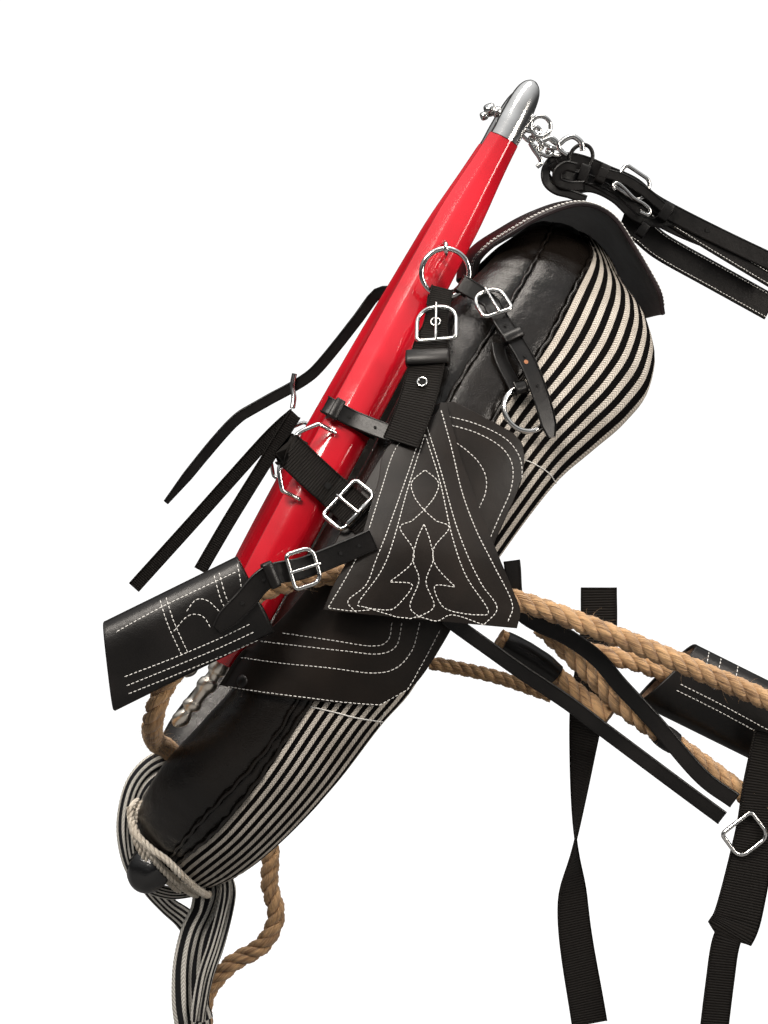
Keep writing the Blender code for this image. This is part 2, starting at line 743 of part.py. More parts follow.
laid_panel("near_apron", APRON_TOP_SHARES, APRON_AXIS_SHARES, APRON_ROWS_SHARES, APRON_HEIGHT,
           PANEL_COLUMNS, PANEL_STEPS, apron_lift, LEATHER, LEATHER_BLACK)


# Draught webbing: folded round the link's bar, over the hame and under the apron
BAR_DOWN = sum(LINK_BAR_SHARES) / 2 * COLLAR_LENGTH
BAR_BACK = hame_middle(BAR_DOWN) - HAME_WIDTH / 2 - LINK_REACH
BAR_OUT = HAME_THICKNESS / 2 + LINK_ROD + SEAT_GAP + LINK_STAND
DRAUGHT_WIDTH = 0.033
DRAUGHT_END_SHARES = (0.484, 0.262)
DRAUGHT_STEPS = 6


def fold_points(centre, way, face, radius, steps):
    """Points of a half turn round a bar, from under it to over it, on the side away from way."""
    turns = [math.pi * (1.5 - k / steps) for k in range(steps + 1)]
    return [centre + way * math.cos(t) * radius + face * math.sin(t) * radius for t in turns]


def make_draught_webbing():
    bar = place(BAR_DOWN, BAR_BACK, hame_out(BAR_DOWN) + BAR_OUT)
    top, low = (hame_point(share * COLLAR_LENGTH) for share in LINK_BAR_SHARES)
    across = unit(low - top)
    end_down, end_back = DRAUGHT_END_SHARES[0] * COLLAR_LENGTH, DRAUGHT_END_SHARES[1] * COLLAR_DEPTH
    lead = on_cover(end_down, end_back, 0) - bar
    way = unit(lead - across * lead.dot(across) - OUT * lead.dot(OUT))
    face = unit(across.cross(way))
    if face.dot(OUT) < 0:
        face = -face
    radius = LINK_ROD + SEAT_GAP * 1.5 + WEBBING / 2
    fold = fold_points(bar, way, face, radius, DRAUGHT_STEPS)
    under = [fold[0] + way * HAME_WIDTH * share for share in (0.3, 0.15)]
    lift = DRAUGHT_LIFT + WEBBING / 2
    front_lift = BAR_OUT + radius - HAME_THICKNESS / 2 - COVER_GAP
    over = [
        on_cover(BAR_DOWN + (end_down - BAR_DOWN) * share, BAR_BACK + (end_back - BAR_BACK) * share,
                 front_lift + (lift - front_lift) * ease((share - 0.35) / 0.3))
        for share in (0.25, 0.4, 0.5, 0.6, 0.7, 0.8, 0.9, 1.0)
    ]
    centres = under + fold + over
    return ribbon("near_draught_webbing", centres, [across] * len(centres), DRAUGHT_WIDTH, WEBBING, NYLON)


make_draught_webbing()


def strap_frame(down, back, lift, way):
    """Centre, across, along and face directions of a strap lying on the cover."""
    centre = on_cover(down, back, lift)
    step = HAME_WIDTH / 8
    along = unit(on_cover(down + way[0] * step, back + way[1] * step, lift)
                 - on_cover(down - way[0] * step, back - way[1] * step, lift))
    across = unit(on_cover(down - way[1] * step, back + way[0] * step, lift)
                  - on_cover(down + way[1] * step, back - way[0] * step, lift))
    face = unit(across.cross(along))
    if face.dot(OUT) < 0:
        face = -face
    across = unit(along.cross(face))
    return centre, across, along, face


def buckle_set(names, frame, width, length, arch):
    """A buckle's frame and its tongue, which turns on the bar it starts from."""
    centre, across, along, face = frame
    buckle(names[0], centre, across, along, width, length, arch, BUCKLE_ROD, CHROME)
    bar = centre - along * length / 2
    return tongue(names[1], bar, along, face, length, BUCKLE_ROD, CHROME)


# Draught buckle and its tongue
DRAUGHT_BUCKLE_WIDTH = 0.046
DRAUGHT_BUCKLE_LENGTH = 0.027
DRAUGHT_BUCKLE_CLEARANCE = 0.0055
DRAUGHT_BUCKLE_STEPS = 400
DRAUGHT_WAY_SHARES = (0.2, 0.98)
BUCKLE_STAND = BUCKLE_ROD + LAYER_GAP * 1.6


def apron_edge(down):
    """How far back the flap's front edge is at a place down the collar."""
    along_down, along_back = (share * APRON_HEIGHT for share in APRON_AXIS_SHARES)
    top_down, top_back = APRON_TOP_SHARES[0] * COLLAR_LENGTH, APRON_TOP_SHARES[1] * COLLAR_DEPTH
    rows = [
        (top_down + row[0] * along_down - row[1] * along_back, top_back + row[0] * along_back + row[1] * along_down)
        for row in APRON_ROWS_SHARES
    ]
    return read_shares(rows, down)


def draught_buckle_place():
    """Down and back of the buckle on the webbing, its clearance ahead of the flap's edge."""
    ahead = DRAUGHT_BUCKLE_LENGTH / 2 + DRAUGHT_BUCKLE_CLEARANCE
    end_down, end_back = DRAUGHT_END_SHARES[0] * COLLAR_LENGTH, DRAUGHT_END_SHARES[1] * COLLAR_DEPTH
    for k in range(DRAUGHT_BUCKLE_STEPS):
        share = k / DRAUGHT_BUCKLE_STEPS
        down = BAR_DOWN + (end_down - BAR_DOWN) * share
        back = BAR_BACK + (end_back - BAR_BACK) * share
        if back + ahead > apron_edge(down):
            return down, back
    return end_down, end_back


buckle_set(
    ("draught_buckle", "draught_tongue"),
    strap_frame(*draught_buckle_place(), DRAUGHT_LIFT + WEBBING + BUCKLE_STAND, DRAUGHT_WAY_SHARES),
    DRAUGHT_BUCKLE_WIDTH, DRAUGHT_BUCKLE_LENGTH, BUCKLE_CORNER)

# Tug webbing: folded over the hame ring, down the collar's side and over the apron's top
TUG_LIFT = APRON_LIFT + LEATHER + LAYER_GAP * 4.5 + WEBBING / 2
TUG_SHARES = ((0.240, 0.100), (0.275, 0.127), (0.315, 0.157), (0.350, 0.174), (0.384, 0.181))
TUG_FOLD_SHARE = 0.6
LOOP_STEPS = 6
TUG_UNDER_SHARES = (0.2,)
STRAP_UNDER_SHARES = (0.12,)


def loop_round(hold, onward, radius, under):
    """Where a strap runs that comes from under a rod, turns round it and goes onward: its points and
    the direction across it."""
    way = unit(onward - hold)
    across = unit(way.cross(OUT))
    face = unit(across.cross(way))
    if face.dot(OUT) < 0:
        face = -face
    fold = fold_points(hold, way, face, radius, LOOP_STEPS)
    run = (onward - hold).length
    return [fold[0] + way * run * share for share in under] + fold, across


def ring_clearance(width, ring_radius, thickness):
    """How far the middle of a strap stays from a ring's rod, so that its edges clear the ring's curve."""
    rise = ring_radius - math.sqrt(ring_radius ** 2 - width ** 2 / 4)
    return RING_ROD + rise + LAYER_GAP + thickness / 2


def ring_hold(centre, normal, radius, onward):
    """The point on a ring's rod that lies nearest to where a strap goes."""
    lead = onward - centre
    return centre + unit(lead - normal * lead.dot(normal)) * radius


def ring_strap_route(rows, lift, steps, width):
    """A strap's rows on the cover, made smooth, with their points and the directions across."""
    plan = smooth_route([Vector((down * COLLAR_LENGTH, back * COLLAR_DEPTH, lift)) for down, back in rows], steps)
    return [on_cover(*row) for row in plan], cover_acrosses(plan, width)


def make_tug_webbing(name):
    narrow = WEBBING_WIDTH * TUG_FOLD_SHARE
    over, acrosses = ring_strap_route(TUG_SHARES, TUG_LIFT, 3, WEBBING_WIDTH)
    hold = ring_hold(RING_CENTRE, OUT, HAME_RING_RADIUS, over[0])
    start, across = loop_round(hold, over[0], ring_clearance(narrow, HAME_RING_RADIUS, WEBBING), TUG_UNDER_SHARES)
    widths = [narrow] * len(start) + [
        narrow + (WEBBING_WIDTH - narrow) * ease((k + 1) / 4) for k in range(len(over))
    ]
    return ribbon(name, start + over, [across] * len(start) + acrosses, WEBBING_WIDTH, WEBBING, NYLON, widths)


TUG = make_tug_webbing("near_tug_webbing")
mirrored(TUG, "far_tug_webbing")

# Tug buckle, its tongue and the keeper that slides on the webbing
TUG_BUCKLE_WIDTH = 0.040
TUG_BUCKLE_LENGTH = 0.039
TUG_BUCKLE_ARCH = 0.0175
TUG_BUCKLE_SHARES = (0.2405, 0.1015)
TUG_BUCKLE_WAY = (-0.92, -0.39)
TUG_WAY = (0.92, 0.39)
TUG_TOP = TUG_LIFT + WEBBING / 2
KEEPER_LENGTH = 0.0165
KEEPER_WALL = 0.0022
KEEPER_SHARES = (0.282, 0.131)
buckle_set(
    ("tug_buckle", "tug_tongue"),
    strap_frame(TUG_BUCKLE_SHARES[0] * COLLAR_LENGTH, TUG_BUCKLE_SHARES[1] * COLLAR_DEPTH,
                TUG_TOP + BUCKLE_STAND + LAYER_GAP * 1.7, TUG_BUCKLE_WAY),
    TUG_BUCKLE_WIDTH, TUG_BUCKLE_LENGTH, TUG_BUCKLE_ARCH)


def make_keeper():
    centre, across, along, face = strap_frame(
        KEEPER_SHARES[0] * COLLAR_LENGTH, KEEPER_SHARES[1] * COLLAR_DEPTH, TUG_LIFT, TUG_WAY)
    wide = WEBBING_WIDTH + LAYER_GAP * 3.4
    return keeper("tug_keeper", centre, across, along, face, wide, WEBBING + LAYER_GAP * 3.4,
                  KEEPER_LENGTH, KEEPER_WALL, LEATHER_BLACK)


make_keeper()

# Hame belt: a strap wound once round the hame, its tail lying back over the collar
BELT_WIDTH = 0.0176
BELT_SHARE = 0.384
BELT_TAIL_SHARES = ((0.380, 0.115), (0.377, 0.160))
BELT_TAIL_LIFT = 0.0062
BELT_WRAP_SHARES = (
    (0.0, 1.0), (-0.72, 1.0), (-1.0, 0.55), (-1.0, -0.4), (-0.7, -1.0), (0.7, -1.0), (1.0, -0.45),
    (1.0, 0.3), (0.42, 1.0), (-0.2, 1.0),
)


def make_belt():
    down = BELT_SHARE * COLLAR_LENGTH
    step = STRAP_LEATHER / 2 + SEAT_GAP * 1.5
    half = HAME_WIDTH / 2 * read_shares(HAME_WIDTH_SHARES, BELT_SHARE)
    thick = HAME_THICKNESS / 2
    centres = []
    for i, (x, y) in enumerate(BELT_WRAP_SHARES):
        second = STRAP_LEATHER + LAYER_GAP if i < 3 else 0.0
        grow = step + second
        centres.append(hame_point(down, x * (half + grow), y * (thick + grow)))
    tail = [laid(*row, BELT_TAIL_LIFT) for row in BELT_TAIL_SHARES[::-1]]
    across = unit(hame_point(down + BELT_WIDTH) - hame_point(down - BELT_WIDTH))
    route = smooth_route(tail + centres, 2)
    return ribbon("hame_belt", route, [across] * len(route), BELT_WIDTH, STRAP_LEATHER, LEATHER_BLACK)


make_belt()

# Ring strap: from the hame ring back over the collar, with its buckle and tongue
RING_STRAP_WIDTH = 0.018
RING_STRAP_LIFT = 0.0155
RING_STRAP_SHARES = ((0.186, 0.250), (0.205, 0.350), (0.230, 0.484), (0.262, 0.602), (0.296, 0.703))
RING_STRAP_BUCKLE_SHARES = (0.187, 0.262)
RING_STRAP_BUCKLE_WIDTH = 0.031
RING_STRAP_BUCKLE_LENGTH = 0.028
RING_STRAP_BUCKLE_ARCH = 0.0125
RING_STRAP_WAY = (-0.57, -0.82)
TIP_SHARES = (0.94, 0.5)
DROP_RING_SHARES = (0.281, 0.565)
DROP_RING_LIFT = 0.0074
DROP_STRAP_WIDTH = 0.014
DROP_STRAP_LIFT = 0.0022
DROP_STRAP_SHARES = ((0.226, 0.358), (0.243, 0.400))
DROP_FRONT_SHARE = 0.35


def tip_widths(count, width):
    """A strap's widths along its length, with a pointed tip."""
    return [width] * (count - 2) + [width * TIP_SHARES[0], width * TIP_SHARES[1]]


def make_ring_strap():
    over, acrosses = ring_strap_route(RING_STRAP_SHARES, RING_STRAP_LIFT, 3, RING_STRAP_WIDTH)
    hold = ring_hold(RING_CENTRE, OUT, HAME_RING_RADIUS, over[0])
    start, across = loop_round(hold, over[0], ring_clearance(RING_STRAP_WIDTH, HAME_RING_RADIUS, STRAP_LEATHER),
                               STRAP_UNDER_SHARES)
    widths = tip_widths(len(start) + len(over), RING_STRAP_WIDTH)
    return ribbon("ring_strap", start + over, [across] * len(start) + acrosses, RING_STRAP_WIDTH,
                  STRAP_LEATHER, LEATHER_BLACK, widths)


make_ring_strap()
buckle_set(
    ("ring_strap_buckle", "ring_strap_tongue"),
    strap_frame(RING_STRAP_BUCKLE_SHARES[0] * COLLAR_LENGTH, RING_STRAP_BUCKLE_SHARES[1] * COLLAR_DEPTH,
                RING_STRAP_LIFT + STRAP_LEATHER / 2 + BUCKLE_STAND + LAYER_GAP * 1.4, RING_STRAP_WAY),
    RING_STRAP_BUCKLE_WIDTH, RING_STRAP_BUCKLE_LENGTH, RING_STRAP_BUCKLE_ARCH)

# Drop ring on its short strap, which comes from under the ring strap
DROP_CENTRE, _, _, DROP_FACE = strap_frame(
    DROP_RING_SHARES[0] * COLLAR_LENGTH, DROP_RING_SHARES[1] * COLLAR_DEPTH, DROP_RING_LIFT, (0.58, 0.81))
ring("drop_ring", DROP_CENTRE, DROP_FACE, DROP_RING_RADIUS, RING_ROD, CHROME)


def make_drop_strap():
    back = [laid(*row, DROP_STRAP_LIFT) for row in DROP_STRAP_SHARES]
    hold = ring_hold(DROP_CENTRE, DROP_FACE, DROP_RING_RADIUS, back[0])
    way = unit(back[0] - hold)
    across = unit(way.cross(DROP_FACE))
    fold = fold_points(hold, way, DROP_FACE, ring_clearance(DROP_STRAP_WIDTH, DROP_RING_RADIUS, STRAP_LEATHER),
                       LOOP_STEPS)
    centres = back + fold + [fold[-1] + way * DROP_STRAP_WIDTH * DROP_FRONT_SHARE]
    return ribbon("drop_strap", centres, [across] * len(centres), DROP_STRAP_WIDTH, STRAP_LEATHER, LEATHER_BLACK)


make_drop_strap()

# Leather sleeves that the traces run through
SLEEVE_HEIGHT = 0.078
SLEEVE_THICKNESS = 0.036
SLEEVE_WALL = 0.0035
SLEEVE_POWER = 2.6
SLEEVE_SIDES = 22
SLEEVE_STATIONS = 5
SLEEVE_SLANT_SHARE = 0.36
NEAR_SLEEVE_SHARES = ((-0.3467, 0.3167, -0.0964), (-0.1913, 0.3167, -0.0206))
SECOND_SLEEVE_SHARES = ((0.294, 0.2095, -0.128), (0.444, 0.2095, -0.203))


def make_sleeve(name, ends):
    start, stop = (spot(*row) for row in ends)
    way = unit(stop - start)
    high = unit(OUT.cross(way))
    rings = []
    order = [(k / SLEEVE_STATIONS, 0.0) for k in range(SLEEVE_STATIONS + 1)]
    order += [(along, SLEEVE_WALL) for along, _ in order[::-1]]
    for along, wall in order:
        tall = SLEEVE_HEIGHT / 2 - wall
        thick = SLEEVE_THICKNESS / 2 - wall
        centre = start.lerp(stop, along)
        section = []
        for j in range(SLEEVE_SIDES):
            turn = 2 * math.pi * j / SLEEVE_SIDES
            up = math.copysign(abs(math.cos(turn)) ** (2 / SLEEVE_POWER), math.cos(turn))
            side = math.copysign(abs(math.sin(turn)) ** (2 / SLEEVE_POWER), math.sin(turn))
            slant = way * tall * up * SLEEVE_SLANT_SHARE * (1 - along)
            section.append(centre + high * tall * up + OUT * thick * side + slant)
        rings.append(section)
    return loft(name, rings, LEATHER_BLACK, closed=True, sharp=50)


make_sleeve("near_rope_sleeve", NEAR_SLEEVE_SHARES)
make_sleeve("second_rope_sleeve", SECOND_SLEEVE_SHARES)


def free_strap(name, rows, width, thickness, material, steps=4, widths=None):
    """A strap through places in shares of the collar's length, its face across the horse."""
    centres = smooth_route([spot(*row) for row in rows], steps)
    acrosses = [unit(way.cross(OUT)) for way in directions(centres)]
    if widths:
        last = len(centres) - 1
        widths = [width * read_shares(widths, i / last) for i in range(last + 1)]
    return ribbon(name, centres, acrosses, width, thickness, material, widths)


def free_frame(centre, along):
    """Centre, across, along and face directions of a strap that faces across the horse."""
    across = unit(along.cross(OUT))
    face = unit(across.cross(along))
    if face.dot(OUT) < 0:
        face = -face
    return centre, across, unit(along), face


# Sleeve strap: over the sleeve's outer face to the slot in the apron, with its buckle
SLEEVE_STRAP_WIDTH = 0.0205
SLEEVE_STRAP_SHARES = (
    (-0.2314, 0.3403, -0.0549), (-0.2036, 0.3407, -0.0268), (-0.1757, 0.3403, 0.0018),
    (-0.1371, 0.3290, 0.0100), (-0.0929, 0.3193, 0.0262), (-0.0600, 0.3163, 0.0400),
)
SLEEVE_BUCKLE_SHARES = (-0.1371, 0.3351, 0.0100)
SLEEVE_BUCKLE_WIDTH = 0.033
SLEEVE_BUCKLE_LENGTH = 0.026
SLEEVE_BUCKLE_WAY_SHARES = (0.93, 0.26, 0.27)
POINTED_SHARES = ((0.0, 0.5), (0.08, 0.94), (0.14, 1.0), (1.0, 1.0))
free_strap("sleeve_strap", SLEEVE_STRAP_SHARES, SLEEVE_STRAP_WIDTH, STRAP_LEATHER, LEATHER_BLACK, 3, POINTED_SHARES)
buckle_set(
    ("sleeve_buckle", "sleeve_tongue"),
    free_frame(spot(*SLEEVE_BUCKLE_SHARES), Vector(SLEEVE_BUCKLE_WAY_SHARES)),
    SLEEVE_BUCKLE_WIDTH, SLEEVE_BUCKLE_LENGTH, BUCKLE_CORNER)

# Traces: jute ropes. Their points are places in metres.
NEAR_TRACE_ROUTE = (
    (-0.268, -0.2660, -0.0680), (-0.2100, -0.2660, -0.0410), (-0.1600, -0.2650, -0.0170),
    (-0.1250, -0.2530, -0.0060), (-0.0850, -0.2436, -0.0010), (-0.0550, -0.2560, -0.0025),
    (-0.0250, -0.2524, -0.0050), (0.0218, -0.2470, -0.0134), (0.0840, -0.2480, -0.0252),
    (0.1848, -0.2500, -0.0622),
    (0.3284, -0.2500, -0.1235), (0.3720, -0.2500, -0.1430),
)
TRACE_TAIL_ROUTE = (
    (-0.2000, -0.2375, -0.0520), (-0.2420, -0.2320, -0.1030), (-0.2560, -0.2150, -0.1436),
    (-0.2560, -0.1400, -0.1740), (-0.2480, -0.0850, -0.1900), (-0.2280, -0.0300, -0.2200),
    (-0.1950, 0.0100, -0.2450), (-0.1600, 0.0200, -0.2750), (-0.1420, 0.0200, -0.3150),
    (-0.1420, 0.0250, -0.3600),
    (-0.1350, 0.0250, -0.3950), (-0.1500, 0.0200, -0.4250), (-0.1850, 0.0150, -0.4450),
    (-0.2100, 0.0150, -0.4750), (-0.2150, 0.0150, -0.5100),
)
LOWER_TRACE_ROUTE = (
    (0.1142, -0.2113, -0.0538), (0.1369, -0.2113, -0.0748), (0.1714, -0.2113, -0.1092),
    (0.1974, -0.2113, -0.1352), (0.2621, -0.2113, -0.1814), (0.3167, -0.2113, -0.2218),
    (0.3650, -0.2113, -0.2560),
)
INNER_TRACE_ROUTE = (
    (0.0773, -0.1900, -0.0689), (0.1201, -0.1870, -0.0949), (0.1571, -0.1860, -0.1257),
    (0.1850, -0.1988, -0.1455),
)
MIDDLE_TRACE_ROUTE = (
    (0.1571, -0.1840, -0.0806), (0.1739, -0.1810, -0.0857), (0.2167, -0.1780, -0.0949),
    (0.2604, -0.1760, -0.1134), (0.3016, -0.1760, -0.1344), (0.3740, -0.1760, -0.1710),
    (0.4050, -0.1760, -0.1860),
)
THIN_TRACE_ROUTE = (
    (0.0193, -0.1050, -0.1033), (0.0361, -0.1100, -0.1058), (0.0857, -0.1250, -0.1159),
    (0.1380, -0.1400, -0.1330),
)
cord("near_trace_rope", NEAR_TRACE_ROUTE, ROPE_RADIUS, JUTE, 3)
cord("near_trace_tail", TRACE_TAIL_ROUTE, ROPE_RADIUS, JUTE, 3)
cord("lower_trace_rope", LOWER_TRACE_ROUTE, ROPE_RADIUS, JUTE, 3)
cord("inner_trace_rope", INNER_TRACE_ROUTE, ROPE_RADIUS, JUTE, 3)
cord("middle_trace_rope", MIDDLE_TRACE_ROUTE, ROPE_RADIUS, JUTE, 3)
cord("thin_trace_rope", THIN_TRACE_ROUTE, THIN_ROPE_RADIUS, JUTE, 2)

# Straps behind the collar
LOWER_STRAP_SHARES = (
    (0.025, 0.2830, -0.050), (0.038, 0.2800, -0.061), (0.075, 0.2710, -0.088), (0.111, 0.2665, -0.114),
    (0.167, 0.2660, -0.152), (0.205, 0.2660, -0.181), (0.290, 0.2690, -0.245), (0.345, 0.2710, -0.286),
)
CROSS_STRAP_SHARES = (
    (0.100, 0.2720, 0.012), (0.110, 0.2720, -0.045), (0.165, 0.2720, -0.076), (0.198, 0.2720, -0.100),
    (0.225, 0.2720, -0.131), (0.266, 0.2720, -0.175), (0.319, 0.2720, -0.236), (0.359, 0.2720, -0.266),
)
free_strap("lower_strap", LOWER_STRAP_SHARES, WEBBING_WIDTH * 0.4, STRAP_LEATHER, LEATHER_BLACK, 2)
free_strap("cross_strap", CROSS_STRAP_SHARES, WEBBING_WIDTH * 0.44, STRAP_LEATHER, LEATHER_BLACK, 3)

# Belly webbing and girth webbing, which hang and can swing
BELLY_SHARES = (
    (0.218, 0.1786, -0.028), (0.217, 0.1786, -0.091), (0.203, 0.1786, -0.186), (0.191, 0.1786, -0.330),
    (0.190, 0.1786, -0.426), (0.210, 0.1786, -0.553),
)
BELLY_WIDTH_SHARES = ((0.0, 1.0), (0.2, 0.98), (0.4, 0.84), (0.7, 0.86), (1.0, 1.12))
GIRTH_SHARES = (
    (0.405, 0.2665, -0.190), (0.393, 0.2665, -0.250), (0.385, 0.2665, -0.310), (0.366, 0.2665, -0.400),
    (0.352, 0.2665, -0.432), (0.345, 0.2665, -0.480), (0.336, 0.2665, -0.560),
)
GIRTH_WIDTH_SHARES = ((0.0, 1.05), (0.25, 1.1), (0.62, 1.36), (0.635, 0.78), (1.0, 0.78))
GIRTH_BUCKLE_SHARES = (0.372, 0.2713, -0.306)
GIRTH_BUCKLE_WIDTH = 0.036
GIRTH_BUCKLE_LENGTH = 0.03
GIRTH_WAY_SHARES = (0.6, 0.0, -0.8)
BELLY = free_strap("belly_webbing", BELLY_SHARES, WEBBING_WIDTH, WEBBING, NYLON, 3, BELLY_WIDTH_SHARES)
set_pivot(BELLY, spot(*BELLY_SHARES[0]))
GIRTH = free_strap("girth_webbing", GIRTH_SHARES, WEBBING_WIDTH, WEBBING, NYLON, 4, GIRTH_WIDTH_SHARES)
set_pivot(GIRTH, spot(*GIRTH_SHARES[0]))


def make_girth_buckle():
    centre, across, along, face = free_frame(spot(*GIRTH_BUCKLE_SHARES), unit(Vector(GIRTH_WAY_SHARES)))
    made = buckle("girth_buckle", centre, across, along, GIRTH_BUCKLE_WIDTH, GIRTH_BUCKLE_LENGTH,
                  BUCKLE_CORNER, BUCKLE_ROD, CHROME)
    return set_pivot(made, spot(*GIRTH_SHARES[0]))


make_girth_buckle()

# Straps above the collar, which go on to the back of the horse
TOP_RING_RADIUS = 0.0105
TOP_RING_SHARES = (2.347, -0.158, -1.213)
TOP_RING_CENTRE = from_place(hame_point(HAME_TOP_SHARE * COLLAR_LENGTH - CAP_LENGTH / 2),
                             TOP_RING_SHARES, TOP_RING_RADIUS)
SNAP_SHARES = ((0.8, 0, -1.08), (1.76, 0, -1.68), (2.48, 0, -1.2), (3.28, 0, -0.96), (4.08, 0, -1.52), (4.24, 0, -2.32))
UPPER_STRAP_WIDTH = 0.0185
UPPER_STRAP_SHARES = (
    (0.186, 0.0238, 0.489), (0.205, 0.0238, 0.4935), (0.228, 0.0238, 0.489), (0.255, 0.0238, 0.478),
    (0.288, 0.0238, 0.464), (0.318, 0.0238, 0.441), (0.390, 0.0238, 0.405), (0.475, 0.0238, 0.366),
)
UPPER_BUCKLE_SHARES = (0.287, 0.0286, 0.4655)
UPPER_BUCKLE_WIDTH = 0.026
UPPER_BUCKLE_LENGTH = 0.034
UPPER_WAY_SHARES = (0.84, 0.0, -0.54)
STITCHED_STRAP_SHARES = (
    (0.300, 0.0199, 0.440), (0.343, 0.0199, 0.420), (0.390, 0.0199, 0.392), (0.475, 0.0199, 0.343),
)
BACK_STRAP_WIDTH = 0.029
BACK_STRAP_SHARES = (
    (0.2795, -0.006, 0.4205), (0.305, -0.006, 0.411), (0.334, -0.006, 0.389), (0.400, -0.006, 0.3535),
    (0.475, -0.006, 0.3135),
)
ring("top_ring", TOP_RING_CENTRE, OUT, TOP_RING_RADIUS, STAPLE_ROD, CHROME, 20)
rod("top_snap", smooth_route([from_place(TOP_RING_CENTRE, row, TOP_RING_RADIUS) for row in SNAP_SHARES], 3),
    STAPLE_ROD * 1.3, CHROME)
free_strap("upper_strap", UPPER_STRAP_SHARES, UPPER_STRAP_WIDTH, STRAP_LEATHER, LEATHER_BLACK, 3)


def make_upper_buckle():
    centre, across, along, face = free_frame(spot(*UPPER_BUCKLE_SHARES), unit(Vector(UPPER_WAY_SHARES)))
    return buckle("upper_buckle", centre, across, along, UPPER_BUCKLE_WIDTH, UPPER_BUCKLE_LENGTH,
                  BUCKLE_CORNER, BUCKLE_ROD, CHROME)


make_upper_buckle()
free_strap("stitched_strap", STITCHED_STRAP_SHARES, UPPER_STRAP_WIDTH * 0.9, STRAP_LEATHER, LEATHER_BLACK, 3)
free_strap("back_strap", BACK_STRAP_SHARES, BACK_STRAP_WIDTH, LEATHER, LEATHER_BLACK, 3)

# Far side straps: the long strap on the far hame ring, the snap under it and the folded webbing
FAR_STRAP_WIDTH = 0.013
FAR_CENTRE = Vector((RING_CENTRE.x, -RING_CENTRE.y, RING_CENTRE.z))
FAR_STRAP_SHARES = (
    (-0.0547, -0.018, -0.0029), (-0.1257, -0.03, -0.0929), (-0.1577, -0.042, -0.1219), (-0.2167, -0.054, -0.1549),
    (-0.2577, -0.054, -0.1849), (-0.3427, -0.054, -0.2869),
)
FAR_SNAP_SHARES = (
    (-0.1667, -0.0365, -0.1109), (-0.1697, -0.038, -0.1279), (-0.1677, -0.035, -0.1429),
    (-0.1697, -0.0305, -0.1574),
)
FAR_WEBBING_WIDTH = 0.0155
FAR_WEBBING_SHARES = (
    (-0.3867, -0.052, -0.4029), (-0.3017, -0.046, -0.3089), (-0.2067, -0.04, -0.2029), (-0.1727, -0.0375, -0.1709),
    (-0.1667, -0.0305, -0.1664), (-0.1707, -0.0235, -0.1729), (-0.2017, -0.0235, -0.2229),
    (-0.2547, -0.0235, -0.3079), (-0.2957, -0.0235, -0.3779),
)


def far_places(rows):
    """Places on the far side, from the middle of its hame ring."""
    return [from_place(FAR_CENTRE, row, COLLAR_LENGTH) for row in rows]


def make_far_strap():
    first = far_places(FAR_STRAP_SHARES)[0]
    hold = ring_hold(FAR_CENTRE, OUT, HAME_RING_RADIUS, first)
    start, across = loop_round(hold, first, ring_clearance(FAR_STRAP_WIDTH, HAME_RING_RADIUS, STRAP_LEATHER),
                               STRAP_UNDER_SHARES)
    over = smooth_route(far_places(FAR_STRAP_SHARES), 3)
    acrosses = [across] * len(start) + [unit(way.cross(OUT)) for way in directions(over)]
    centres = start + over
    return ribbon("far_long_strap", centres, acrosses, FAR_STRAP_WIDTH, STRAP_LEATHER, LEATHER_BLACK,
                  tip_widths(len(centres), FAR_STRAP_WIDTH))


make_far_strap()
rod("far_snap", smooth_route(far_places(FAR_SNAP_SHARES), 2), STAPLE_ROD * 1.4, CHROME)


def make_far_webbing():
    centres = smooth_route(far_places(FAR_WEBBING_SHARES), 2)
    across = unit(Vector((0.72, 0, -0.69)))
    return ribbon("far_webbing", centres, [across] * len(centres), FAR_WEBBING_WIDTH, WEBBING, NYLON)


make_far_webbing()

# Tie cord: cotton cord wound round the collar's throat, from its front edge to its back edge
TIE_RADIUS = 0.004
TIE_TURNS = 3
TIE_PITCH = 0.0105
TIE_START_SHARES = (0.9179, -0.0407)
TIE_START = (TIE_START_SHARES[0] * COLLAR_LENGTH, TIE_START_SHARES[1] * COLLAR_DEPTH)
TIE_SLOPE = 1.5
TIE_FRONT_SHARE = -0.0671
TIE_FRONT = TIE_FRONT_SHARE * COLLAR_DEPTH
TIE_BOW = 0.065
TIE_BOW_SHARE = 0.45
TIE_REACH = 0.05
TIE_CLEARANCE = 0.0032
TIE_SEARCH_STEPS = 300
TIE_STEPS = 24
TIE_ACROSS_STEPS = 12


def tie_point(turn, shift):
    """A point of the cord on the outside of the collar's throat, at a turn round it."""
    centre = MIDDLE_RUN - HALF_RUN * math.cos(turn)
    front, _, _, rear = edges(centre)
    padding = HALF_PADDING * read_shares(PADDING_SHARES, centre / COLLAR_LENGTH)
    found = None
    for k in range(TIE_SEARCH_STEPS):
        back = TIE_FRONT + (rear + TIE_REACH - TIE_FRONT) * k / TIE_SEARCH_STEPS
        ahead = math.copysign(TIE_RADIUS + TIE_CLEARANCE, front + rear - 2 * back)
        share = min(1.0, max(0.0, (back + ahead - front) / (rear - front)))
        grow = padding * swell(share) + TIE_RADIUS + TIE_CLEARANCE
        down = MIDDLE_RUN - (HALF_RUN + grow) * math.cos(turn)
        miss = abs(TIE_START[1] + (down - TIE_START[0]) * TIE_SLOPE + shift - back)
        if found is None or miss < found[0]:
            found = (miss, down, back, grow)
    _, down, back, grow = found
    wide = (HALF_SPREAD + grow) * math.sin(turn) * (1 - EGG_SHARE * math.cos(turn))
    return place(down, back, wide)


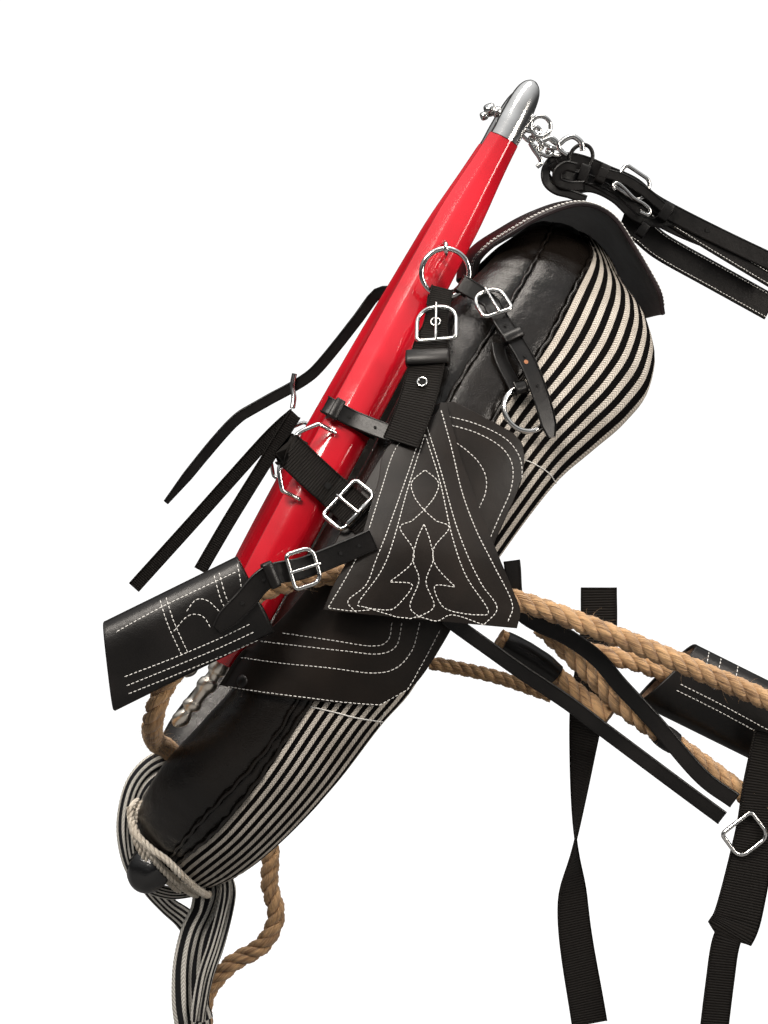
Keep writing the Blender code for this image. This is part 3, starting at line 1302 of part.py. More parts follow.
def tie_start_turn(shift):
    """The turn at which the cord leaves the collar's side for its front."""
    down = TIE_START[0] + (TIE_FRONT - TIE_START[1] - shift) / TIE_SLOPE
    return math.acos((MIDDLE_RUN - down) / (HALF_RUN + TIE_RADIUS + TIE_CLEARANCE))


def tie_route():
    """Round the throat's outside and back across its front, once for every lap."""
    step = TIE_PITCH * math.hypot(1, TIE_SLOPE)
    route = []
    for lap in range(TIE_TURNS):
        start = tie_start_turn(lap * step)
        for k in range(TIE_STEPS + 1):
            route.append(tie_point(start + (2 * math.pi - 2 * start) * k / TIE_STEPS, lap * step))
        if lap < TIE_TURNS - 1:
            onward = tie_point(tie_start_turn((lap + 1) * step), (lap + 1) * step)
            last = route[-1]
            for k in range(1, TIE_ACROSS_STEPS):
                share = k / TIE_ACROSS_STEPS
                bow = TIE_BOW * ease(1 - abs(1 - 2 * share) / TIE_BOW_SHARE)
                route.append(last.lerp(onward, share) + BACK * bow)
    return route


def seated(points, names, lift):
    """The same points, each at least a lift away from the named pieces."""
    scene_now = bpy.context.evaluated_depsgraph_get()
    trees = [BVHTree.FromObject(bpy.data.objects[name], scene_now) for name in names]
    kept = [point.copy() for point in points]
    for _ in range(4):
        for i, point in enumerate(kept):
            for tree in trees:
                near, normal, _, gap = tree.find_nearest(point)
                if gap < lift or (point - near).dot(normal) < 0 and gap < 4 * lift:
                    point = near + normal * lift
            kept[i] = point
    return kept


def make_tie():
    curve = bpy.data.curves.new("tie_cord", "CURVE")
    curve.dimensions = "3D"
    curve.bevel_depth = TIE_RADIUS
    curve.bevel_resolution = 2
    curve.use_fill_caps = True
    curve.resolution_u = 1
    points = even_route(tie_route(), TIE_RADIUS * 6.8)
    points = seated(points, ("collar_front_roll", "collar_leather_wale", "collar_ticking_body"),
                    TIE_RADIUS + TIE_CLEARANCE)
    spline = curve.splines.new("POLY")
    spline.points.add(len(points) - 1)
    for held, point in zip(spline.points, points):
        held.co = (*point, 1)
    curve.materials.append(COTTON)
    made = bpy.data.objects.new("tie_cord", curve)
    bpy.context.scene.collection.objects.link(made)
    nearest = min(
        (a - b).length for i, a in enumerate(points) for j, b in enumerate(points) if j > i + 4)
    print("tie cord points", len(points), "least gap to itself, mm", round((nearest - 2 * TIE_RADIUS) * 1000, 2))
    return made


make_tie()

# Tie band: striped cloth looped round the collar's throat and hanging down behind it
BAND_WIDTH = 0.022
BAND_THICKNESS = 0.009
BAND_PLACES_SHARES = (
    (0.876, -0.045, 0.044), (0.893, -0.070, 0.036), (0.917, -0.068, 0.030),
    (0.940, -0.035, 0.024), (0.955, -0.005, 0.012), (0.980, 0.060, 0.004), (1.003, 0.120, 0.000),
    (1.022, 0.200, -0.002), (1.034, 0.300, -0.002), (1.040, 0.400, 0.000), (1.054, 0.490, 0.004),
    (1.085, 0.545, 0.006), (1.119, 0.590, 0.008), (1.153, 0.648, 0.010), (1.193, 0.711, 0.010),
)
BAND_WIDTH_SHARES = ((0.0, 0.8), (0.25, 1.0), (0.5, 0.9), (0.62, 1.0), (0.75, 1.25), (0.9, 1.5), (1.0, 1.75))
BAND_SIDES = 12
BAND_FOLD_SHARE = 0.16


def make_band():
    centres = smooth_route([
        place(down * COLLAR_LENGTH, back * COLLAR_DEPTH, out * COLLAR_LENGTH)
        for down, back, out in BAND_PLACES_SHARES], 2)
    rings = []
    last = len(centres) - 1
    for i, (centre, way) in enumerate(zip(centres, directions(centres))):
        across = unit(way.cross(OUT))
        face = unit(across.cross(way))
        half = BAND_WIDTH / 2 * read_shares(BAND_WIDTH_SHARES, i / last)
        section = []
        for j in range(BAND_SIDES):
            turn = 2 * math.pi * j / BAND_SIDES
            fold = 1 + BAND_FOLD_SHARE * math.cos(3 * turn + i * BAND_FOLD_SHARE)
            section.append(centre + across * half * math.cos(turn)
                           + face * BAND_THICKNESS / 2 * fold * math.sin(turn))
        rings.append(section)
    return loft("tie_band", rings, TICKING, sharp=60)


make_band()
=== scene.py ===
import math

import bmesh
import bpy
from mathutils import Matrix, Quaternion, Vector, noise
from mathutils.bvhtree import BVHTree


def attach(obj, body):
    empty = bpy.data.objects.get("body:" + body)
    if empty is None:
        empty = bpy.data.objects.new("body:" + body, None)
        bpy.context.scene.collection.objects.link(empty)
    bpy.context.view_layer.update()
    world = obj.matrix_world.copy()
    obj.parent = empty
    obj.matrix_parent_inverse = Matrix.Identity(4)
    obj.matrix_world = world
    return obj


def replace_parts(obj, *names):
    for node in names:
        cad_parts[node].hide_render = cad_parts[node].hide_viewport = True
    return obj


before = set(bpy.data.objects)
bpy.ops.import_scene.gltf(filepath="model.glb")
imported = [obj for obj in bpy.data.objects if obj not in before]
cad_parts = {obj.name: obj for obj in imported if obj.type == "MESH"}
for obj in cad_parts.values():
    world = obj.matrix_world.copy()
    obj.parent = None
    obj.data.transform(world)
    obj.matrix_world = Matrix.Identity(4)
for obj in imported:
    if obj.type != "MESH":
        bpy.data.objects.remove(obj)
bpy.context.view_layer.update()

# Camera: the whole harness seen from its near side, a little from the front and from above.
# Places that are read off the picture use the same lens.
VIEW_TURN = math.radians(4.5)
VIEW_TILT = math.radians(3)
VIEW_AIM = Vector((-0.029, -0.12, 0.051))
VIEW_DISTANCE = 1.88
VIEW_LENS = 1880
PICTURE_MIDDLE = (384, 512)
SENSOR_HEIGHT = 36
ahead = Vector((math.sin(VIEW_TURN) * math.cos(VIEW_TILT), math.cos(VIEW_TURN) * math.cos(VIEW_TILT),
                -math.sin(VIEW_TILT)))
rightward = Vector((math.cos(VIEW_TURN), -math.sin(VIEW_TURN), 0))
upward = rightward.cross(ahead)
eye = VIEW_AIM - ahead * VIEW_DISTANCE


def in_scene(name, data):
    """An object that shows its data in the scene."""
    made = bpy.data.objects.new(name, data)
    bpy.context.scene.collection.objects.link(made)
    return made


lens = bpy.data.cameras.new("photo_camera")
lens.sensor_fit = "VERTICAL"
lens.sensor_height = SENSOR_HEIGHT
lens.lens = SENSOR_HEIGHT * VIEW_LENS / (2 * PICTURE_MIDDLE[1])
camera = in_scene("photo_camera", lens)
camera.location = eye
camera.rotation_euler = ahead.to_track_quat("-Z", "Y").to_euler()
bpy.context.scene.camera = camera


def sight(u, v):
    """The direction from the eye through a place in the picture."""
    return (ahead + rightward * (u - PICTURE_MIDDLE[0]) / VIEW_LENS
            + upward * (PICTURE_MIDDLE[1] - v) / VIEW_LENS).normalized()


def at_picture(u, v, y):
    """The point that shows at a place in the picture and lies at a distance across the horse."""
    way = sight(u, v)
    return eye + way * ((y - eye.y) / way.y)


# Studio: a pale paper floor that curves up into its backdrop, soft lamps in front, beside and
# above, and an even sky. The paper shows white and keeps the harness's shadow.
FLOOR_LEVEL = -0.62
FLOOR_REACH = 4.0
FLOOR_DEPTH = 3.4
FLOOR_HALF_WIDTH = 6.0
BACKDROP_HEIGHT = 7.0
BACKDROP_CURVE = 1.2
CURVE_STEPS = 12
WARM_LIGHT = (1.0, 0.925, 0.84)
LAMPS_AIM = Vector((0, -0.1, 0))
LAMPS = (
    ("key_lamp", (-1.1, -1.9, 1.9), (1.0, 0.6), 68),
    ("side_lamp", (1.9, -1.6, 0.7), (0.5, 1.2), 32),
    ("top_lamp", (0.2, -0.3, 2.2), (1.6, 0.5), 30),
)
SKY_GREYS = ((0.0, 0.30), (0.40, 0.26), (0.49, 0.04), (0.58, 0.06), (0.70, 0.28), (1.0, 0.46))


def finish(name, colour, roughness, metallic=0.0):
    """A material with its shader, ready for the surface's own detail."""
    made = bpy.data.materials.new(name)
    made.use_nodes = True
    set_shader(made, Base_Color=(*colour, 1), Roughness=roughness, Metallic=metallic)
    return made


def set_shader(made, **values):
    """Values that are the same all over a surface, on the shader's own sockets."""
    for key, value in values.items():
        made.node_tree.nodes["Principled BSDF"].inputs[key.replace("_", " ")].default_value = value


def add_node(made, kind, **values):
    """A shader node with its inputs set by name or number, or linked where a socket is given."""
    added = made.node_tree.nodes.new(kind)
    for key, value in values.items():
        if hasattr(added, key) and not key[0].isupper():
            setattr(added, key, value)
            continue
        numbered = key[0] == "i" and key[1:].isdigit()
        socket = added.inputs[int(key[1:]) if numbered else key.replace("_", " ")]
        if isinstance(value, bpy.types.NodeSocket):
            made.node_tree.links.new(value, socket)
        else:
            socket.default_value = value
    return added


profile = [(-FLOOR_REACH, 0.0), (FLOOR_DEPTH, 0.0)]
for k in range(1, CURVE_STEPS + 1):
    turn = math.pi / 2 * k / CURVE_STEPS
    profile.append((FLOOR_DEPTH + BACKDROP_CURVE * math.sin(turn), BACKDROP_CURVE * (1 - math.cos(turn))))
profile.append((FLOOR_DEPTH + BACKDROP_CURVE, BACKDROP_HEIGHT))
corners = [(x, y, FLOOR_LEVEL + z) for y, z in profile for x in (-FLOOR_HALF_WIDTH, FLOOR_HALF_WIDTH)]
floor_mesh = bpy.data.meshes.new("studio_floor")
floor_mesh.from_pydata(corners, [], [(2 * i, 2 * i + 1, 2 * i + 3, 2 * i + 2) for i in range(len(profile) - 1)])
floor_mesh.shade_smooth()
paper = finish("studio_paper", (0.16, 0.16, 0.16), 0.9)
rays = add_node(paper, "ShaderNodeLightPath")
white = add_node(paper, "ShaderNodeEmission", Color=(1, 1, 1, 1), Strength=rays.outputs["Is Camera Ray"])
both = add_node(paper, "ShaderNodeAddShader", i0=paper.node_tree.nodes["Principled BSDF"].outputs[0],
                i1=white.outputs[0])
paper.node_tree.links.new(both.outputs[0], paper.node_tree.nodes["Material Output"].inputs["Surface"])
floor_mesh.materials.append(paper)
in_scene("studio_floor", floor_mesh)
for name, spot_at, size, power in LAMPS:
    light = bpy.data.lights.new(name, "AREA")
    light.shape = "RECTANGLE"
    light.size, light.size_y = size
    light.energy = power
    light.color = WARM_LIGHT
    lamp = in_scene(name, light)
    lamp.location = spot_at
    lamp.rotation_euler = (LAMPS_AIM - lamp.location).to_track_quat("-Z", "Y").to_euler()
world = bpy.data.worlds.new("studio_sky")
bpy.context.scene.world = world
world.use_nodes = True
rays = add_node(world, "ShaderNodeLightPath")
around = add_node(world, "ShaderNodeTexCoord")
height = add_node(world, "ShaderNodeSeparateXYZ", i0=around.outputs["Generated"])
half = add_node(world, "ShaderNodeMapRange", From_Min=-1.0, Value=height.outputs["Z"])
fade = add_node(world, "ShaderNodeValToRGB", Fac=half.outputs["Result"])
for share, grey in SKY_GREYS:
    fade.color_ramp.elements.new(share).color = (grey, grey, grey, 1)
fade.color_ramp.elements.remove(fade.color_ramp.elements[0])
fade.color_ramp.elements.remove(fade.color_ramp.elements[-1])
strength = add_node(world, "ShaderNodeMapRange", Value=rays.outputs["Is Camera Ray"],
                    To_Min=fade.outputs["Color"], To_Max=1.0)
background = world.node_tree.nodes["Background"].inputs
background["Color"].default_value = (1, 1, 1, 1)
world.node_tree.links.new(strength.outputs["Result"], background["Strength"])
bpy.context.scene.view_settings.view_transform = "Standard"

# Rope traces: three-strand jute rope, laid right-handed, with loose fibres. They run under the
# apron and through the leather sleeves, and end in a crown knot.
ROPE_RADIUS = 0.0105
THIN_ROPE_RADIUS = 0.0075
ROPE_LAY_SHARE = 4.4
STRAND_GROOVE_SHARE = 0.34
ROPE_SIDES = 30


def unit(vector):
    return vector.normalized()


def smooth_route(points, steps):
    """Points on a smooth curve through the route's own points."""
    ends = [points[0] * 2 - points[1], *points, points[-1] * 2 - points[-2]]
    curve = []
    for i in range(1, len(ends) - 2):
        before, a, b, after = ends[i - 1:i + 3]
        for j in range(steps):
            t = j / steps
            curve.append(
                (a * 2 + (b - before) * t + (before * 2 - a * 5 + b * 4 - after) * t * t
                 + (a * 3 - before - b * 3 + after) * t * t * t) / 2
            )
    curve.append(points[-1].copy())
    return curve


def flat_route(rows, steps):
    """A smooth route through pairs of numbers."""
    return smooth_route([Vector((a, b, 0)) for a, b in rows], steps)


def length_of(points):
    return sum((b - a).length for a, b in zip(points, points[1:]))


def even_route(points, step):
    """The same route with points about one step apart."""
    total = length_of(points)
    count = max(2, round(total / step))
    spaced = [points[0]]
    gone = 0.0
    for a, b in zip(points, points[1:]):
        run = (b - a).length
        while len(spaced) < count and gone + run >= total * len(spaced) / count:
            spaced.append(a + (b - a) * ((total * len(spaced) / count - gone) / run))
        gone += run
    spaced.append(points[-1])
    return spaced


def directions(points, closed=False):
    """The direction of a route at each of its points."""
    count = len(points)
    found = []
    for i in range(count):
        before = points[(i - 1) % count] if closed or i else points[0]
        after = points[(i + 1) % count] if closed or i < count - 1 else points[-1]
        found.append(unit(after - before))
    return found


def stretched(made, source, scale):
    """The surface's own coordinates (Object or UV), stretched by three factors."""
    coordinates = add_node(made, "ShaderNodeTexCoord")
    return add_node(made, "ShaderNodeMapping", Vector=coordinates.outputs[source], Scale=scale).outputs[0]


def mottle(made, source, scale, detail=4, stretch=(1, 1, 1)):
    """Noise from nought to one over the surface."""
    place = stretched(made, source, stretch)
    return add_node(made, "ShaderNodeTexNoise", Vector=place, Scale=scale, Detail=detail).outputs["Fac"]


def shades(made, factor, low, high, start=0.3, stop=0.7):
    """A colour between two shades by a factor, into the shader's base colour."""
    ramp = add_node(made, "ShaderNodeValToRGB", Fac=factor)
    ramp.color_ramp.elements[0].position = start
    ramp.color_ramp.elements[0].color = (*low, 1)
    ramp.color_ramp.elements[1].position = stop
    ramp.color_ramp.elements[1].color = (*high, 1)
    return ramp.outputs[0]


def into(made, name, socket):
    made.node_tree.links.new(socket, made.node_tree.nodes["Principled BSDF"].inputs[name])


def between(made, factor, low, high):
    """A value that goes from low to high with a factor."""
    return add_node(made, "ShaderNodeMapRange", Value=factor, i3=low, i4=high).outputs["Result"]


def raised(made, height, distance, strength=1.0):
    """Bumps the surface by a height from nought to one."""
    bump = add_node(made, "ShaderNodeBump", Height=height, Distance=distance, Strength=strength)
    into(made, "Normal", bump.outputs[0])


def arith(made, operation, a, b=0.0):
    return add_node(made, "ShaderNodeMath", operation=operation, i0=a, i1=b).outputs[0]


def rope_finish(name, dark, light):
    """Fibres that run along the yarns in their own tones, with darker streaks between the yarns that are painted
    shade in the grooves.
    """
    made = finish(name, light, 0.9)
    fibre = mottle(made, "UV", 900, 5, (1, 0.05, 1))
    # Yarn streaks: partly the fibres' own tone and partly painted shade in the grooves between the yarns.
    yarn_tone_and_groove_shade = mottle(made, "UV", 260, 2, (1, 0.07, 1))
    blotch = mottle(made, "UV", 22, 3)
    mixed = arith(made, "ADD", arith(made, "MULTIPLY", fibre, 0.4), arith(made, "MULTIPLY", yarn_tone_and_groove_shade, 0.35))
    mixed = arith(made, "ADD", mixed, arith(made, "MULTIPLY", blotch, 0.3))
    into(made, "Base Color", shades(made, mixed, dark, light, 0.40, 0.60))
    raised(made, arith(made, "ADD", fibre, yarn_tone_and_groove_shade), 0.0022)
    set_shader(made, Sheen_Weight=0.25, Sheen_Roughness=0.6)
    return made


jute = rope_finish("jute_rope", (0.15, 0.070, 0.026), (0.66, 0.40, 0.19))


def skin(name, rings, uvs, material, closed=False, sharp=50, wrap=0.0):
    """A smooth surface through rings of equally many points, with a place on it for each point."""
    count = len(rings[0])
    faces = []
    places = []
    for i in range(len(rings) if closed else len(rings) - 1):
        k = (i + 1) % len(rings)
        for j in range(count):
            m = (j + 1) % count
            over = wrap if m == 0 else 0.0
            faces.append((i * count + j, i * count + m, k * count + m, k * count + j))
            places += [uvs[i][j], (uvs[i][m][0] + over, uvs[i][m][1]),
                       (uvs[k][m][0] + over, uvs[k][m][1]), uvs[k][j]]
    if not closed:
        faces += [tuple(range(count)), tuple(range((len(rings) - 1) * count, len(rings) * count))]
        places += uvs[0] + uvs[-1]
    return surface(name, [p for ring in rings for p in ring], faces, places, material, sharp)


def surface(name, points, faces, places, material, sharp):
    """A mesh object that faces out, with a place in its UV map for each face corner."""
    mesh = bpy.data.meshes.new(name)
    mesh.from_pydata([tuple(p) for p in points], [], faces)
    layer = mesh.uv_layers.new(name="surface")
    layer.data.foreach_set("uv", [value for place in places for value in place[:2]])
    work = bmesh.new()
    work.from_mesh(mesh)
    bmesh.ops.recalc_face_normals(work, faces=work.faces)
    work.to_mesh(mesh)
    work.free()
    mesh.materials.append(material)
    mesh.shade_smooth()
    mesh.set_sharp_from_angle(angle=math.radians(sharp))
    return in_scene(name, mesh)


def fitted(made, body, slot_name, *nodes):
    """A piece in the frame: the nodes it stands for and the body it moves with. slot_name, the name of its finish,
    is not used.
    """
    if nodes:
        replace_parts(made, *nodes)
    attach(made, body)
    return made


def circle(count, first=0.0):
    """Turns spaced evenly round a circle."""
    return [2 * math.pi * (j + first) / count for j in range(count)]


def strand_share(turn):
    """How far out a three-strand rope's surface is, as a share of its radius."""
    return 1 - STRAND_GROOVE_SHARE * (1 - abs(math.cos(1.5 * turn)) ** 0.55)


def tube(name, points, radius, material, corners_at, closed=False, sharp=70):
    """A surface round a line. corners_at gives the (turn, size) of its corners at a point's number
    and its distance along the line."""
    ways = directions(points, closed)
    facing = unit(ways[0].orthogonal())
    gone = 0.0
    rings = []
    uvs = []
    for i, (point, way) in enumerate(zip(points, ways)):
        if i:
            gone += (point - points[i - 1]).length
        facing = unit(facing - way * facing.dot(way))
        other = way.cross(facing)
        corners = corners_at(i, gone)
        rings.append([point + (facing * math.cos(turn) + other * math.sin(turn)) * size
                      for turn, size in corners])
        uvs.append([(turn * radius, gone) for turn, _ in corners])
    return skin(name, rings, uvs, material, closed, sharp, 2 * math.pi * radius)


def laid_rope(name, points, radius, material, first_turn=0.0):
    """A rope's surface: three strands that turn round its middle line."""
    def corners_at(_, gone):
        twist = 2 * math.pi * gone / (radius * ROPE_LAY_SHARE) + first_turn
        turns = [turn + math.pi / 3 for turn in circle(ROPE_SIDES)]
        return [(turn + twist, radius * strand_share(turn)) for turn in turns]
    return tube(name, points, radius, material, corners_at, sharp=60)


def knob(name, centre, way, radius, stretch, rows, sides, end, size_at, material, sharp):
    """A closed rounded end round an axis, with its size at each (rise, turn)."""
    side = unit(way.orthogonal())
    other = way.cross(side)
    rises = [math.pi * (end + (1 - 2 * end) * i / rows) for i in range(rows + 1)]
    turns = circle(sides)
    rings = [[centre + (side * math.cos(t) + other * math.sin(t)) * size_at(rise, t)
              - way * radius * stretch * math.cos(rise) for t in turns] for rise in rises]
    uvs = [[(t * radius, rise * radius) for t in turns] for rise in rises]
    return skin(name, rings, uvs, material, sharp=sharp, wrap=2 * math.pi * radius)


def crown_knot(name, centre, way, radius):
    """The knot that stops a rope's end: its strands folded back over each other."""
    return knob(name, centre, way, radius, 1.25, 14, 24, 0.04,
                lambda rise, turn: radius * 1.3 * math.sin(rise) * strand_share(turn + rise * 0.9), jute, 70)


FUZZ_RADIUS = 0.00013
FUZZ_PER_METRE = 420
FUZZ_SEED = 5


def fuzz(name, points, radius, length):
    """Loose fibres that stand off a rope, each a thin curved thread."""
    ways = directions(points)
    spots = []
    faces = []
    for k in range(int(length * FUZZ_PER_METRE)):
        pick = noise.random_vector()
        at = min(len(points) - 1, int(noise.random() * len(points)))
        way = ways[at]
        out = unit(pick - way * pick.dot(way))
        lean = unit(out * (0.35 + 0.5 * noise.random()) + way * (noise.random() - 0.5) * 2
                    + noise.random_vector() * 0.4)
        reach = radius * (0.35 + 0.8 * noise.random())
        base = len(spots)
        start = points[at] + out * radius * 0.86
        side = unit(lean.orthogonal())
        other = unit(lean.cross(side))
        for share in (0, 1 / 3, 2 / 3, 1):
            centre = start + lean * reach * share + way * reach * 0.5 * share * share
            thin = FUZZ_RADIUS * (1 - 0.6 * share)
            spots += [centre + (side * math.cos(turn) + other * math.sin(turn)) * thin for turn in circle(3)]
        for a in (base, base + 3, base + 6):
            faces += [(a + j, a + m, a + 3 + m, a + 3 + j) for j, m in ((0, 1), (1, 2), (2, 0))]
        faces += [(base + 2, base + 1, base), (base + 9, base + 10, base + 11)]
    places = [(k * 0.0007, k * 0.0011) for face in faces for k in face]
    return fitted(surface(name, spots, faces, places, jute, 80), "collar", "jute_rope")


noise.seed_set(FUZZ_SEED)


def trace(name, route, radius, knotted, first_turn=0.0):
    """One rope with its knot, along the places that the frame gives it."""
    points = even_route(smooth_route([Vector(p) for p in route], 12), radius * 0.45)
    made = fitted(laid_rope(name + "_laid", points, radius, jute, first_turn), "collar", "jute_rope", name)
    length = length_of(points)
    pieces = [fuzz(name + "_fuzz", points, radius, length)]
    if knotted:
        knot = crown_knot(name + "_knot", points[-1], unit(points[-1] - points[-2]), radius)
        pieces.append(fitted(knot, "collar", "jute_rope"))


NEAR_TRACE_ROUTE = (
    (-0.268, -0.266, -0.068), (-0.21, -0.266, -0.041), (-0.16, -0.265, -0.017), (-0.125, -0.253, -0.006),
    (-0.085, -0.2436, -0.001), (-0.055, -0.256, -0.0025), (-0.025, -0.2524, -0.005),
    (0.0218, -0.247, -0.0134), (0.084, -0.248, -0.0252), (0.1848, -0.25, -0.0622), (0.3284, -0.25, -0.1235),
    (0.372, -0.25, -0.143),
)
TRACE_TAIL_ROUTE = (
    (-0.2, -0.2375, -0.052), (-0.242, -0.232, -0.103), (-0.256, -0.215, -0.1436), (-0.256, -0.14, -0.174),
    (-0.248, -0.085, -0.19), (-0.228, -0.03, -0.22), (-0.195, 0.01, -0.245), (-0.16, 0.02, -0.275),
    (-0.142, 0.02, -0.315), (-0.142, 0.025, -0.36), (-0.135, 0.025, -0.395), (-0.15, 0.02, -0.425),
    (-0.185, 0.015, -0.445), (-0.21, 0.015, -0.475), (-0.215, 0.015, -0.51),
)
LOWER_TRACE_ROUTE = (
    (0.1142, -0.2113, -0.0538), (0.1369, -0.2113, -0.0748), (0.1714, -0.2113, -0.1092),
    (0.1974, -0.2113, -0.1352), (0.2621, -0.2113, -0.1814), (0.3167, -0.2113, -0.2218),
    (0.365, -0.2113, -0.256),
)
INNER_TRACE_ROUTE = (
    (0.0773, -0.19, -0.0689), (0.1201, -0.187, -0.0949), (0.1571, -0.186, -0.1257), (0.185, -0.1988, -0.1455),
)
MIDDLE_TRACE_ROUTE = (
    (0.1571, -0.184, -0.0806), (0.1739, -0.181, -0.0857), (0.2167, -0.178, -0.0949),
    (0.2604, -0.176, -0.1134), (0.3016, -0.176, -0.1344), (0.374, -0.176, -0.171), (0.405, -0.176, -0.186),
)
THIN_TRACE_ROUTE = (
    (0.0193, -0.105, -0.1033), (0.0361, -0.11, -0.1058), (0.0857, -0.125, -0.1159), (0.138, -0.14, -0.133),
)
for name, route, radius, lay, knotted, first_turn in (
        ("near_trace_rope", NEAR_TRACE_ROUTE, ROPE_RADIUS, "taut", True, 0.0),
        ("near_trace_tail", TRACE_TAIL_ROUTE, ROPE_RADIUS, "hanging", True, 0.6),
        ("lower_trace_rope", LOWER_TRACE_ROUTE, ROPE_RADIUS, "taut", True, 1.2),
        ("inner_trace_rope", INNER_TRACE_ROUTE, ROPE_RADIUS, "taut", False, 0.3),
        ("middle_trace_rope", MIDDLE_TRACE_ROUTE, ROPE_RADIUS, "taut", True, 1.9),
        ("thin_trace_rope", THIN_TRACE_ROUTE, THIN_ROPE_RADIUS, "taut", False, 0.9)):
    trace(name, route, radius, knotted, first_turn)

# Collar: a long leather roll and wale, sewn to a body of black and cream ticking, all stuffed
# hard with straw. The seams are drawn tight and the leather wrinkles where it bends.
COLLAR_LENGTH = 0.84
COLLAR_DEPTH = 0.246
COLLAR_SPREAD = 0.378
COLLAR_PADDING = 0.092
COLLAR_LEAN = math.radians(28)
SEAM_GAP = 0.001
SEAT_GAP = 0.0004
LAYER_GAP = 0.0011
COVER_GAP = 0.0015
HAME_WIDTH = 0.048
HAME_THICKNESS = 0.024
TOP_SHARE = 0.083
THROAT_SHARE = 0.9655
EGG_SHARE = 0.25
NECK_DOWN_SHARE = 0.5
NECK_BACK_SHARE = 0.488
END_TURN = math.radians(173)


def ease(x):
    x = min(1.0, max(0.0, x))
    return x * x * (3 - 2 * x)


def read_shares(rows, at):
    """A value read off a smooth curve through rows of shares, which never overshoots them."""
    if at <= rows[0][0]:
        return rows[0][1]
    if at >= rows[-1][0]:
        return rows[-1][1]
    steps = [(b[1] - a[1]) / (b[0] - a[0]) for a, b in zip(rows, rows[1:])]
    k = next(i for i in range(len(steps)) if at <= rows[i + 1][0])
    ends = []
    for i in (k, k + 1):
        before, after = steps[max(0, i - 1)], steps[min(len(steps) - 1, i)]
        ends.append(2 * before * after / (before + after) if before * after > 0 else 0.0)
    wide = rows[k + 1][0] - rows[k][0]
    s = (at - rows[k][0]) / wide
    rise = rows[k + 1][1] - rows[k][1]
    return (rows[k][1] + rise * s * s * (3 - 2 * s) + wide * s * (1 - s) * (ends[0] * (1 - s) - ends[1] * s))


DOWN = Vector((-math.sin(COLLAR_LEAN), 0, -math.cos(COLLAR_LEAN)))
BACK = Vector((math.cos(COLLAR_LEAN), 0, -math.sin(COLLAR_LEAN)))
OUT = Vector((0, -1, 0))
HALF_RUN = (THROAT_SHARE - TOP_SHARE) * COLLAR_LENGTH / 2
MIDDLE_RUN = (THROAT_SHARE + TOP_SHARE) * COLLAR_LENGTH / 2
HALF_SPREAD = COLLAR_SPREAD / 2
HALF_PADDING = COLLAR_PADDING / 2


def place(down, back, out):
    """A point from distances down the collar, back from the hames and out from the middle, near side."""
    return (
        DOWN * (down - NECK_DOWN_SHARE * COLLAR_LENGTH)
        + BACK * (back - NECK_BACK_SHARE * COLLAR_DEPTH)
        + OUT * out
    )


def spot(across, out, up):
    """A point from shares of the collar's length: along X, out to the near side and up."""
    return Vector((across, -out, up)) * COLLAR_LENGTH


def egg_out(down, grow):
    """How far out the collar's outline is at a height, when it is grown all round."""
    turn = min(0.9995, max(-0.9995, (MIDDLE_RUN - down) / (HALF_RUN + grow)))
    return (HALF_SPREAD + grow) * math.sqrt(1 - turn * turn) * (1 - EGG_SHARE * turn)


FRONT_SHARES = (
    (0.083, 1.45), (0.11, 1.2), (0.15, 0.98), (0.185, 0.78), (0.24, 0.58), (0.42, 0.56), (0.51, 0.42),
    (0.56, 0.398), (0.6, 0.385), (0.667, 0.36), (0.72, 0.3), (0.774, 0.1), (0.867, -0.2), (0.94, -0.06),
    (0.965, 0.2),
)
SEAM_SHARES = ((0.083, 0.385), (0.168, 0.354), (0.36, 0.276), (0.692, 0.285), (0.87, 0.18), (0.965, 0.16))
TICK_SHARES = (
    (0.083, 0.5), (0.112, 0.573), (0.157, 0.557), (0.221, 0.541), (0.313, 0.48), (0.694, 0.325),
    (0.761, 0.305), (0.842, 0.264), (0.91, 0.21), (0.965, 0.2),
)
BACK_SHARES = (
    (0.083, 0.74), (0.095, 0.77), (0.11, 0.83), (0.13, 0.95), (0.157, 1.015), (0.19, 1.03), (0.23, 0.995),
    (0.28, 0.918), (0.333, 0.838), (0.389, 0.79), (0.45, 0.752), (0.558, 0.695), (0.624, 0.683),
    (0.675, 0.642), (0.758, 0.6), (0.879, 0.512), (0.965, 0.425),
)
PADDING_SHARES = ((0.083, 0.92), (0.15, 1.0), (0.75, 1.0), (0.87, 0.86), (0.965, 0.62))
SECTION_POWER = 2.2


def edges(down):
    """The front, seam, ticking and back edges of the collar at a height, as distances back."""
    share = down / COLLAR_LENGTH
    return (
        read_shares(FRONT_SHARES, share) * HAME_WIDTH,
        read_shares(SEAM_SHARES, share) * COLLAR_DEPTH,
        read_shares(TICK_SHARES, share) * COLLAR_DEPTH,
        read_shares(BACK_SHARES, share) * COLLAR_DEPTH,
    )


def swell(share):
    """The half thickness of the padding, as a share of the greatest, across its depth."""
    return max(0.0, 1 - abs(2 * share - 1) ** SECTION_POWER) ** (1 / SECTION_POWER)


COVER_REACH_SHARE = 1.12
COVER_POWER = 0.6


def cover_grow(down, back):
    """How far out of the centre line a smooth cover over hame and padding lies at a place."""
    front, _, _, rear = edges(down)
    over = abs(2 * (back - front) / (rear - front) - 1) / COVER_REACH_SHARE
    rise = math.cos(math.pi / 2 * min(1.0, over)) ** COVER_POWER if over < 1 else 0.0
    floor = HAME_THICKNESS / 2 + COVER_GAP
    return floor + (HALF_PADDING + COVER_GAP - floor) * rise


def on_cover(down, back, lift):
    """The point that lies a lift above the cover, near side."""
    return place(down, back, egg_out(down, cover_grow(down, back) + lift))


def laid(down_share, back_share, lift):
    """The same point from shares of the collar's length and depth."""
    return on_cover(down_share * COLLAR_LENGTH, back_share * COLLAR_DEPTH, lift)


